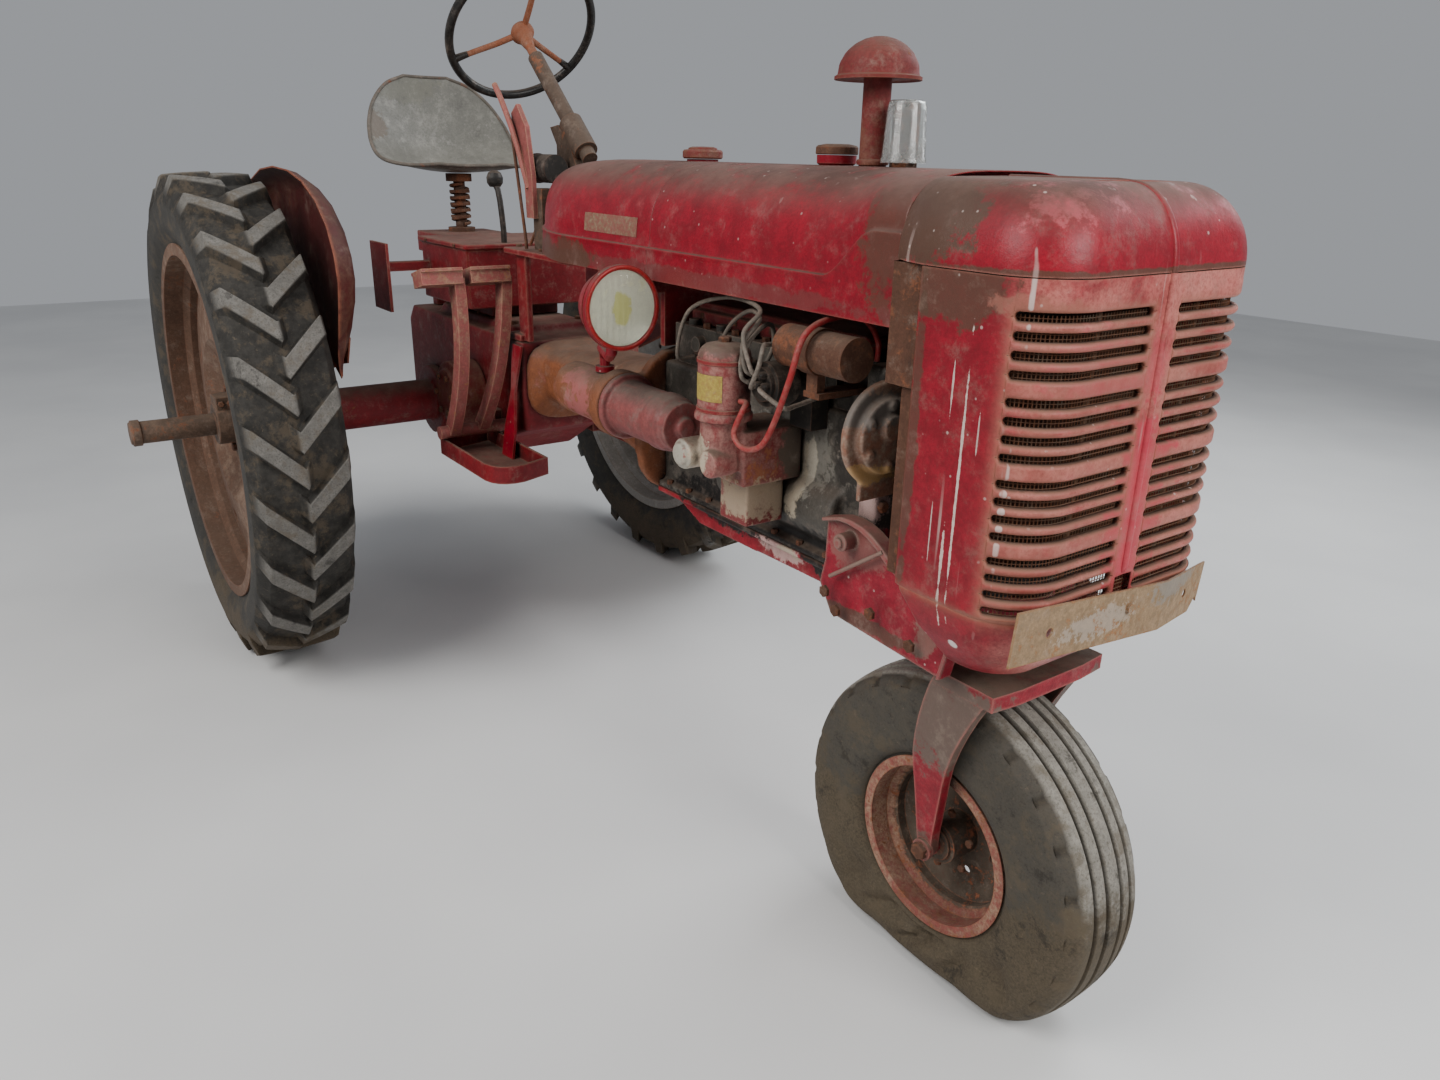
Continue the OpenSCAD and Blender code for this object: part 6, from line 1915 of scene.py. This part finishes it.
    def build(self, yard: Yard) -> None:
        """Adds tyre, recast rim, hub nuts and the bolts on the disc.

        Args:
            yard: takes the pieces.
        """
        yard.add(
            "front_tyre_soft", self.tyre(), TYRE_BROWN, Body.FRONT_WHEEL, "tyre", ("front_tyre",), smooth=48
        )
        yard.recast("front_rim", CORAL_RIM, 0.0015, Body.FRONT_WHEEL)
        c = self.centre
        ring = around(c, 0.058, 20, -0.0285)
        yard.add(
            "front_hub_bolts", hex_heads(ring, "y", 0.008, -0.008), RUSTY_STEEL, Body.FRONT_WHEEL,
            "rusty_steel")
        cap = turned(
            [(0.0, -0.0592), (0.020, -0.0588), (0.027, -0.056), (0.0315, -0.052), (0.0325, -0.046)],
            self.centre, "y")
        yard.add("front_hub_cap", cap, RUSTY_STEEL, Body.FRONT_WHEEL, "rusty_steel")
        yard.recast("fork", FORK_IRON, 0.004, Body.FORK)
        nut = turned(
            [(0, 0.0), (0.016, 0.0), (0.016, 0.009), (0.013, 0.011), (0, 0.011)], (c[0], 0.0935, c[2]), "y",
            6)
        yard.add("axle_nuts", both_sides(nut), RUSTY_STEEL, Body.FORK, "rusty_steel")


@dataclass
class RearWheel:
    """Rear wheel: chevron tyre with dusty lug tops, rim, hub bolts and clamp."""

    side: int
    track: float = 0.709
    axle_z: float = 0.65956
    radius: float = 0.660
    lugs: int = 24
    top_half: float = 0.02404

    def rows(self) -> tuple[np.ndarray, np.ndarray, np.ndarray]:
        """Section of one half from the middle to the bead.

        Returns:
            Y, radius of the ground between lugs and radius of a lug's top.
        """
        tread = np.array(
            [0, 3, 8, 14, 20, 27, 40, 55, 70, 84, 91, 95, 98.5, 102, 105.5, 109, 112, 115, 117.2, 118])
        wall = np.array(
            [
                (118, 575), (118, 560), (117.6, 545), (117, 532), (114, 518), (108, 503), (101, 492),
                (97.7, 482.3), (97.7, 457.4)])
        ground = np.interp(tread, [0, 27, 94, 110, 118], [634, 634, 626, 604, 588])
        top = np.interp(tread, [0, 98, 113, 118], [660, 654, 614, 588])
        return (
            np.concatenate([tread, wall[:, 0]]) / 1000, np.concatenate([ground, wall[:, 1]]) / 1000,
            np.concatenate([top, wall[:, 1]]) / 1000)

    def tyre(self) -> Sheet:
        """Tyre as one grid whose columns lean like the lugs: the turn of a point is (u - |y|) / radius. A
        lug's share of the height falls from 1 on its flat top to 0 at its foot and at its inner end.

        Returns:
            The closed mesh with wear on the lugs' tops.
        """
        near = np.array([0, 12, 22.5, 24.6, 26.2, 30.8, 32.5]) / 1000
        round_lug = np.concatenate([-near[:0:-1], near])
        pitch = 2 * math.pi * self.radius / self.lugs
        one = np.concatenate([round_lug, [pitch / 4], round_lug + pitch / 2, [pitch * 0.75]])
        u = (np.arange(self.lugs)[:, None] * pitch + one[None, :]).ravel()[:, None]
        half_y, ground, top = self.rows()
        y = np.concatenate([-half_y[:0:-1], half_y])[None, :]
        ground = np.concatenate([ground[:0:-1], ground])[None, :]
        top = np.concatenate([top[:0:-1], top])[None, :]
        share = np.zeros((u.shape[0], y.shape[1]))
        chord = np.ones_like(share)
        for start, sign in ((0.0, -1.0), (pitch / 2, 1.0)):
            away = np.abs((u - start + pitch / 2) % pitch - pitch / 2)
            body = np.interp(
                away, [0, 0.0225, 0.0246, 0.0262, 0.0308, 0.0325], [1, 1, 0.955, 0.80, 0.12, 0])
            share = np.maximum(share, body * np.clip((sign * y + 0.020) / 0.018, 0, 1))
            flat = math.cos(self.top_half / self.radius) / np.cos(
                np.minimum(away, self.top_half) / self.radius)
            chord = np.where((sign * y > -0.001) & (away < 0.03), flat, chord)
        r = (ground + (top - ground) * share) * np.where(share > 0.5, chord, 1.0)
        turn = (u - np.abs(y)) / self.radius
        z = np.maximum(self.axle_z + r * np.cos(turn), 0.0)
        place = spread(r * np.sin(turn), y + self.side * self.track, z)
        sheet = grid_sheet(place, wrap_rows=True, wrap_cols=True)
        crisp = np.clip((share - 0.86) / 0.1, 0, 1) * (top > 0.612)
        sheet.wear = (crisp * np.clip((top - 0.606) / 0.03, 0.3, 1) + 0.12 * (r < 0.58)).ravel()
        return sheet

    def build(self, yard: Yard) -> None:
        """Adds the tyre, recasts rim and axle and adds bolts.

        Args:
            yard: takes the pieces.
        """
        name = "left" if self.side > 0 else "right"
        body = Body.REAR_LEFT if self.side > 0 else Body.REAR_RIGHT
        yard.add(
            f"chevron_tyre_{name}", self.tyre(), TYRE_BLACK, body, "tyre", (f"rear_tyre_{name}",), smooth=30
        )
        # The right rim is darker partly as painted shade.
        yard.recast(f"rear_rim_{name}", PALE_RIM if self.side > 0 else RUST_AND_SHADE_RIM, 0.002, body)
        yard.recast(f"rear_axle_{name}", COLUMN_IRON, 0.003, body)
        out = self.side * (self.track + 0.020)
        ring = around((0.0, 0.0, self.axle_z), 0.095, 0, out)
        yard.add(
            f"hub_bolts_{name}", hex_heads(ring, "y", 0.013, 0.011 * self.side), RUSTY_STEEL, body,
            "rusty_steel")
        clamp = [
            (x, self.side * (self.track + y), self.axle_z + 0.062) for x in (-0.040, 0.040)
            for y in (0.036, 0.058)]
        yard.add(
            f"clamp_bolts_{name}", hex_heads(clamp, "x", 0.008, 0.008), RUSTY_STEEL, body, "rusty_steel")


# Driver's place


@dataclass
class DriversPlace:
    """Pan seat, steering wheel, fenders, lever rods and small fittings."""

    seat_at: Point = (-0.080, 0.0, 1.322)
    seat_half: float = 0.227
    seat_thick: float = 0.004
    seat_roll: float = 0.0052
    spring: float = 0.0245
    rim: float = 0.189
    grip: float = 0.0108
    hub: Point = (0.410, 0.0, 1.667)
    slope: float = 41.0

    def seat_rows(self) -> tuple[np.ndarray, np.ndarray]:
        """Surface of the pan from stations of place, height, width share, rise of the sides and lean, which a
        smooth curve joins. A side's rise grows with the square of the way from the middle.

        Returns:
            The surface's points and those of its edge.
        """
        stations = np.array(
            [
                (118, 18, 0.42, 4, 0), (96, 6, 0.74, 12, 2), (45, 0, 0.95, 26, 4), (-25, 0, 1.00, 42, 8),
                (-90, 18, 1.00, 56, 22), (-140, 60, 0.98, 60, 45), (-172, 122, 0.93, 52, 66),
                (-192, 186, 0.80, 36, 74), (-204, 240, 0.58, 18, 78), (-210, 268, 0.30, 4, 80)],
            float)
        along, height, share, side_rise, lean = np.hsplit(smooth_path(stations, 6), 5)
        v = np.linspace(-1, 1, 37)[None, :]
        lean = np.radians(lean)
        rise = side_rise * v**2
        x = along + rise * np.sin(lean)
        z = height + rise * np.cos(lean)
        y = v * share * self.seat_half * 1000
        pan = np.stack([x, y, z], axis=-1) / 1000 + np.array(self.seat_at)
        edge = np.concatenate([pan[0], pan[1:-1, -1], pan[-1, ::-1], pan[-2:0:-1, 0]])
        return pan, edge

    def seat(self, yard: Yard) -> None:
        """Adds the pan with its rolled edge and the spring under it.

        Args:
            yard: takes the pieces.
        """
        pan, edge = self.seat_rows()
        obj = yard.add(
            "seat_sheet", grid_sheet(pan), SEAT_GREY, slot="grey_metal", replaces=("seat_pan",), smooth=80)
        solid = obj.modifiers.new("sheet", "SOLIDIFY")
        solid.thickness, solid.offset = self.seat_thick, 0.0
        along = np.roll(edge, -1, axis=0) - np.roll(edge, 1, axis=0)
        along /= np.linalg.norm(along, axis=1, keepdims=True)
        u = np.cross(along, [0.0, 0.0, 1.0]) + 1e-6
        u /= np.linalg.norm(u, axis=1, keepdims=True)
        w = np.cross(along, u)
        a = np.linspace(0, 2 * math.pi, 9, endpoint=False)
        ring = edge[:, None] + self.seat_roll * (
            np.cos(a)[None, :, None] * u[:, None] + np.sin(a)[None, :, None] * w[:, None])
        yard.add(
            "seat_edge", grid_sheet(ring, wrap_rows=True, wrap_cols=True), SEAT_DARK, slot="grey_metal",
            smooth=80)
        turns = np.linspace(0, 2 * math.pi * 6, 150)
        spring = spread(
            -0.070 + self.spring * np.cos(turns), self.spring * np.sin(turns),
            np.linspace(1.172, 1.288, 150))
        yard.add("seat_spring", tube(spring, 0.005, 8), RUSTY_STEEL, slot="dark_steel")

    def wheel_point(self, local: np.ndarray) -> np.ndarray:
        """Moves points from the steering wheel's own plane to its place: half a turn, the slope, the hub.

        Args:
            local: points in the wheel's plane, round its middle.

        Returns:
            The points in the rear axle's frame.
        """
        t = math.radians(self.slope - 90)
        flip = local * np.array([-1, -1, 1])
        x = flip[..., 0] * math.cos(t) + flip[..., 2] * math.sin(t)
        z = -flip[..., 0] * math.sin(t) + flip[..., 2] * math.cos(t)
        return np.stack([x, flip[..., 1], z], axis=-1) + np.array(self.hub)

    def steering(self, yard: Yard) -> None:
        """Adds the black rim, three rusty spokes with black sleeves at the rim, and a domed hub on a cone.

        Args:
            yard: takes the pieces.
        """
        a = np.linspace(0, 2 * math.pi, 96, endpoint=False)[:, None]
        b = np.linspace(0, 2 * math.pi, 16, endpoint=False)[None, :]
        r = self.rim + self.grip * np.cos(b)
        rim = spread(r * np.cos(a), r * np.sin(a), self.grip * np.sin(b))
        yard.add(
            "wheel_rim", grid_sheet(self.wheel_point(rim), True, True), BLACK_PART, Body.STEERING,
            "black_plastic", ("steering_wheel",), smooth=80)
        spokes, sleeves = [], []
        for turn in np.radians([60, 180, 300]):
            ray = np.array([math.cos(turn), math.sin(turn), 0.0])
            lift = np.array([0, 0, 1.0])
            spokes.append(
                self.wheel_point(
                    smooth_path(
                        [
                            tuple(ray * 0.018 - lift * 0.004), tuple(ray * 0.07 - lift * 0.005),
                            tuple(ray * 0.13 - lift * 0.002), tuple(ray * 0.184)])))
            sleeves.append(
                self.wheel_point(
                    smooth_path(
                        [tuple(ray * 0.148 - lift * 0.001), tuple(ray * 0.166), tuple(ray * 0.187)], 5)))
        yard.add(
            "wheel_spokes", joined([tube(p, np.linspace(0.0078, 0.0068, len(p)), 12) for p in spokes]),
            ORANGE_RUST, Body.STEERING, "black_plastic")
        yard.add(
            "wheel_sleeves", joined([tube(p, np.linspace(0.0075, 0.0098, len(p)), 12) for p in sleeves]),
            BLACK_PART, Body.STEERING, "black_plastic")
        hub = turned(
            [
                (0, 0.0198), (0.010, 0.0185), (0.019, 0.0145), (0.026, 0.007), (0.0295, 0.0),
                (0.030, -0.008), (0.0275, -0.013), (0.024, -0.016), (0.019, -0.026), (0.0115, -0.060),
                (0.0108, -0.199), (0, -0.1995)],
            (0, 0, 0), "z", 40)
        yard.add(
            "wheel_hub", Sheet(self.wheel_point(hub.points), hub.faces), ORANGE_RUST, Body.STEERING,
            "black_plastic")

    def rods(self, yard: Yard) -> None:
        """Adds the thin control rods beside the column and the bolts on its shelf.

        Args:
            yard: takes the pieces.
        """
        paths = [
            [(0.572, -0.118, 1.455), (0.600, -0.120, 1.34), (0.636, -0.122, 1.19), (0.640, -0.122, 1.157)],
            [(0.640, -0.028, 1.30), (0.58, -0.045, 1.24), (0.545, -0.060, 1.17), (0.540, -0.064, 1.157)]]
        yard.add(
            "control_rods", joined([tube(smooth_path(p), 0.004, 8) for p in paths]), RUSTY_STEEL,
            slot="rusty_steel")
        heads = hex_heads(
            [(0.55, y, 1.1555) for y in (-0.10, 0.10)] + [(0.70, y, 1.1555) for y in (-0.11, 0.11)], "z")
        yard.add("shelf_bolts", heads, RUSTY_STEEL, slot="rusty_steel")

    def build(self, yard: Yard) -> None:
        """Adds seat, steering wheel, rods and the softened fenders.

        Args:
            yard: takes the pieces.
        """
        self.seat(yard)
        self.steering(yard)
        self.rods(yard)
        yard.recast("fenders", FENDER_RED, 0.0012, flat=0.0)


# Lamps and engine dressing


@dataclass
class Lamps:
    """Lamps: bowl, red bezel, reflector and a clear lens with pressed flutes."""

    at: Point = (1.380, -0.286, 1.115)
    lens_r: float = 0.0697
    flute: float = 0.0062

    def lens(self) -> Sheet:
        """Lens domed by the square of the way from its middle, with upright flutes pressed into it.

        Returns:
            The right lens.
        """
        r = np.linspace(0, self.lens_r, 26)[:, None]
        a = np.linspace(0, 2 * math.pi, 144, endpoint=False)[None, :]
        y, z = r * np.cos(a), r * np.sin(a)
        flutes = 0.0017 * np.abs(np.sin(y / self.flute * math.pi / 2)) * (r < 0.066)
        x = self.at[0] + 0.0128 - 0.0072 * (r / self.lens_r) ** 2 - flutes
        return grid_sheet(spread(x, self.at[1] + y, self.at[2] + z), wrap_cols=True)

    def build(self, yard: Yard) -> None:
        """Adds lens, reflector, bezel and bowl seam on both sides.

        Args:
            yard: takes the pieces.
        """
        yard.recast("lamp_bodies", RED_BODY, 0.002)
        yard.add(
            "lamp_lens", both_sides(self.lens()), LENS_GLASS, slot="lamp_glass", replaces=("lamp_glass",),
            smooth=60, weld=True)
        mirror = turned([(0.0, -0.0015), (0.030, -0.0012), (0.058, 0.0012), (0.0695, 0.0042)], self.at, "x")
        yard.add("lamp_mirror", both_sides(mirror), MIRROR, slot="grey_metal")
        a = np.radians(np.linspace(-60, 200, 16))
        bezel = turned(
            [(0.0742 + 0.0047 * math.cos(v), 0.0045 + 0.0047 * math.sin(v)) for v in a], self.at, "x", 64)
        yard.add("lamp_bezel", both_sides(bezel), RED_GLOSS, smooth=70)
        clip = turned(
            [(0.0705, -0.009), (0.0785, -0.0095), (0.079, -0.0065), (0.0705, -0.006)], self.at, "x", 64)
        yard.add("lamp_band", both_sides(clip), RED_BODY)


@dataclass
class EngineDress:
    """Bolts, cap towers, blank label and other small trim on the engine."""

    front: float = 1.900
    filter_at: tuple[float, float] = (-0.222, -0.262)
    label_r: float = 0.0456

    def build(self, yard: Yard) -> None:
        """Adds the bolts in groups, then the small trim.

        Args:
            yard: takes the pieces.
        """
        f = self.front
        cover = [(x, y, 1.0785) for x in np.arange(f - 0.56, f - 0.10, 0.112) for y in (-0.069, 0.069)]
        pan = [(x, y, 0.7265) for x in np.arange(f - 0.60, f - 0.02, 0.072) for y in (-0.124, 0.124)]
        head = [(x, y, 1.064) for x in np.arange(f - 0.52, f - 0.06, 0.095) for y in (-0.089, 0.089)]
        yard.add(
            "cover_bolts", hex_heads(cover + head, "z", 0.0085, 0.009), RUSTY_STEEL, slot="engine_iron")
        yard.add("pan_bolts", hex_heads(pan, "z", 0.007, 0.007), RUSTY_STEEL, slot="engine_iron")
        plate = [
            (f + 0.042, y, z) for y in (-0.135, 0.135) for z in (0.86, 1.062)
        ] + [(f + 0.042, y, 1.066) for y in (-0.07, 0.07)]
        yard.add("plate_bolts", hex_heads(plate, "x", 0.010, 0.008), RUSTY_STEEL, slot="engine_iron")
        at = (f - 0.150, -0.240, 1.034)
        stub = [(0.0072, 0.001), (0.0072, -0.008), (0.0058, -0.0125), (0.0046, -0.014)]
        places = [(0, 0), (0.017, 0), (-0.017, 0.002), (-0.008, 0.016), (0.008, 0.017)]
        towers = [turned(stub, (at[0] + p[0], at[1], at[2] + p[1]), "y", 14) for p in places]
        yard.add("cap_towers", joined(towers), BLACK_PART, slot="black_plastic")
        middle = (f + self.filter_at[0], self.filter_at[1])
        label = np.radians(np.linspace(-125, -40, 18))
        z = np.array([1.002, 1.046])[:, None]
        x, y = middle[0] + self.label_r * np.cos(label), middle[1] + self.label_r * np.sin(label)
        yard.add("blank_label", grid_sheet(spread(x, y, z)), LABEL)
        bands = [
            turned(
                [(0.045, h - 0.004), (0.0468, h - 0.003), (0.0468, h + 0.003), (0.045, h + 0.004)],
                (*middle, 0), "z") for h in (0.985, 1.066)]
        yard.add("filter_beads", joined(bands), RED_IRON)
        nut = hex_heads([(*middle, 1.0945)], "z", 0.011, 0.010)
        yard.add("filter_nut", nut, RUSTY_STEEL, slot="rusty_steel")
        bolster = [
            (1.875, -0.1825, 0.70), (1.905, -0.1825, 0.675), (1.985, -0.1825, 0.70), (2.075, -0.1825, 0.680)
        ]
        crease = tube(
            np.array([[1.880, -0.1812, 0.728], [1.94, -0.1812, 0.7695], [1.998, -0.1812, 0.8095]]), 0.0036,
            10)
        crease.wear = np.full(len(crease.points), 0.45)
        yard.add(
            "bolster_crease", both_sides(crease), RED_BOLSTER, slot=yard.slot_of("front_bolster"), smooth=80
        )
        sides = both_sides(hex_heads(bolster, "y", 0.011, -0.009))
        yard.add("bolster_bolts", sides, RUSTY_STEEL, slot="rusty_steel")
        case = [(x, y, 0.9515) for x in (0.03, 0.26, 0.49) for y in (-0.095, 0.095)]
        yard.add("case_bolts", hex_heads(case, "z", 0.010, 0.008), RUSTY_STEEL, slot="red_iron")
        ring = around((0.3, 0.0, 0.738), 0.055, 0, -0.2325)
        yard.add(
            "brake_bolts", both_sides(hex_heads(ring, "y", 0.009, -0.009)), RUSTY_STEEL, slot="red_iron")
        lid = [(x, -0.1865, 1.143) for x in (0.12, 0.33)]
        yard.add("box_screws", both_sides(hex_heads(lid, "y", 0.006, -0.004)), RUSTY_STEEL)


@dataclass
class Leads:
    """Plug leads, coil lead and thick battery lead, laid from the cap in the engine's own millimetres."""

    front: float = 1.900
    cap: Point = (-150.0, -240.3, 1034.0)
    radius: float = 0.004
    thick_radius: float = 0.005

    def plug_path(self, plug: float, offset: Point, high: float) -> list[Point]:
        """Way of a lead from the cap over the coil to a plug behind it.

        Args:
            plug: X of the plug.
            offset: where the lead leaves the cap.
            high: height of its arch.

        Returns:
            The points of the way.
        """
        cx, cy, cz = (c + o for c, o in zip(self.cap, offset))
        return [
            (cx, cy, cz), (cx, cy - 11, cz), (cx - 3, cy - 25, cz + 12), (-172, -262, high - 34),
            (-182, -222, high), ((plug - 190) / 2, -178, high), (plug + 12, -172, high - 40),
            (plug, -190, 1026), (plug, -150, 1020)]

    def wire(self, points: list[Point], radius: float) -> Sheet:
        """Tube along a way given in millimetres from the engine's front face.

        Args:
            points: the way.
            radius: of the tube, in metres.

        Returns:
            The tube.
        """
        path = smooth_path([(x / 1000 + self.front, y / 1000, z / 1000) for x, y, z in points], 7)
        return tube(path, radius, 9)

    def build(self, yard: Yard) -> None:
        """Adds the leads with their boots and ends.

        Args:
            yard: takes the pieces.
        """
        cx, cy, cz = self.cap
        ways = [
            self.plug_path(-220, (-17, 0, 2), 1118), self.plug_path(-350, (-8, 0, 16), 1134),
            self.plug_path(-475, (8, 0, 17), 1150)]
        ways.append(
            [
                (cx + 17, cy, cz), (cx + 17, cy - 11, cz), (cx + 27, cy - 20, cz - 4), (-76, -252, 1012),
                (-90, -215, 1008), (-90, -150, 1020)])
        ways.append(
            [
                (cx, cy, cz), (cx, cy - 11, cz), (-140, -268, 1036), (-122, -268, 1070), (-128, -255, 1101),
                (-139, -238, 1101), (-139, -219.3, 1101)])
        yard.add(
            "plug_leads", joined([self.wire(w, self.radius) for w in ways]), LEAD,
            slot=yard.slot_of("ignition_leads"), replaces=("ignition_leads",), smooth=80)
        thick = [
            (-40, -90, 1063.3), (-40, -90, 1110), (-40, -130, 1150), (-38, -200, 1152), (-36, -250, 1130),
            (-41, -270, 1065), (-75, -270, 990), (-100, -276, 947), (-138, -282, 936), (-164, -282, 954),
            (-154, -275, 990), (-160, -262, 1004), (-176.7, -262, 1004)]
        yard.add(
            "red_lead", self.wire(thick, self.thick_radius), RED_WIRE, slot=yard.slot_of("ignition_leads"),
            smooth=80)
        boot = [
            (0, -0.152), (0.008, -0.1515), (0.0085, -0.130), (0.0115, -0.127), (0.012, -0.104), (0, -0.1003)
        ]
        boots = [
            turned(boot, (self.front + x / 1000, 0.0, 1.020), "y", 16) for x in (-90, -220, -350, -475)]
        yard.add("plug_boots", joined(boots), BLACK_PART, slot="black_plastic", smooth=50)
        end = [(0, -0.006), (0.0075, -0.005), (0.0075, 0.010), (0.005, 0.013), (0, 0.013)]
        ends = [
            turned(end, (self.front - 0.040, -0.090, 1.064), "z", 14),
            turned(end, (self.front - 0.139, -0.2145, 1.101), "y", 14)]
        yard.add("lead_ends", joined(ends), BLACK_PART, slot="black_plastic", smooth=50)


# Nodes that keep their solid form


@dataclass
class Castings:
    """Castings and plain pieces whose solids are right: softened copies with their finish."""

    cast: dict[str, tuple[Finish, float]] = field(
        default_factory=lambda: {
            "engine_block": (GREASE_IRON, 0.0058), "oil_filter": (FILTER_IRON, 0.0031),
            "governor": (GOVERNOR_IRON, 0.003), "carburettor": (GREY_METAL, 0.0028),
            "clutch_housing": (BELL_IRON, 0.0064), "transmission_case": (RED_IRON, 0.0075),
            "oil_pan": (PAN_RED, 0.0045), "manifold": (RUSTY_STEEL, 0.0035), "brakes": (RUSTY_RED, 0.0035),
            "starter": (STARTER_IRON, 0.0035), "axle_housings": (RED_IRON, 0.0055)})
    soft: dict[str, tuple[Finish, float]] = field(
        default_factory=lambda: {
            "cylinder_head": (GREASE_IRON, 0.004), "valve_cover": (RED_IRON, 0.006),
            "distributor": (BLACK_IRON, 0.003), "ignition_coil": (RUSTY_STEEL, 0.003),
            "air_cleaner": (RED_IRON, 0.004), "generator": (GREY_METAL, 0.004),
            "front_bolster": (RED_BOLSTER, 0.004), "foot_platforms": (RED_IRON, 0.003),
            "brake_pedals": (PEDAL_IRON, 0.003), "clutch_pedal": (PEDAL_IRON, 0.003),
            "tool_box": (RED_IRON, 0.004), "support_frame": (RED_IRON, 0.003),
            "steering_column": (COLUMN_IRON, 0.003), "drawbar": (RUSTY_STEEL, 0.004),
            "radiator": (BLACK_IRON, 0.003), "fan_shroud": (RUSTY_STEEL, 0.0015),
            "gear_lever": (BLACK_IRON, 0.001)})
    plain: dict[str, Finish] = field(
        default_factory=lambda: {
            "fan": GREY_METAL, "tank_support": RED_IRON, "air_stack": RUSTY_RED,
            "exhaust_pipe": RUSTY_STEEL, "seat_post": RUSTY_STEEL, "side_panels": RED_IRON,
            "shield_plates": RED_BODY, "gauges": BLACK_IRON, "throttle_lever": PEDAL_IRON,
            "front_plate": PLATE_RUST})

    def build(self, yard: Yard) -> None:
        """Rounds the castings, softens the other nodes and dresses the rest.

        Args:
            yard: takes the pieces.
        """
        for node, (finish, size) in self.cast.items():
            yard.melt(node, finish, size)
        for node, (finish, width) in self.soft.items():
            yard.recast(node, finish, width)
        for node, finish in self.plain.items():
            yard.dress(node, finish)


def main() -> None:
    """Loads the frame and builds each part of the scene in order."""
    logging.basicConfig(level=logging.INFO, format="%(name)s: %(message)s")
    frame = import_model()
    yard = Yard(frame)
    for part in (
        Studio(), Nose(), BodyShell(), FrontWheel(), RearWheel(-1), RearWheel(1), DriversPlace(), Lamps(),
        EngineDress(), Leads(), Castings()
    ):
        part.build(yard)
        log.info("built %s", type(part).__name__)
    log.info("%d pieces", yard.count)


if __name__ == "__main__":
    main()
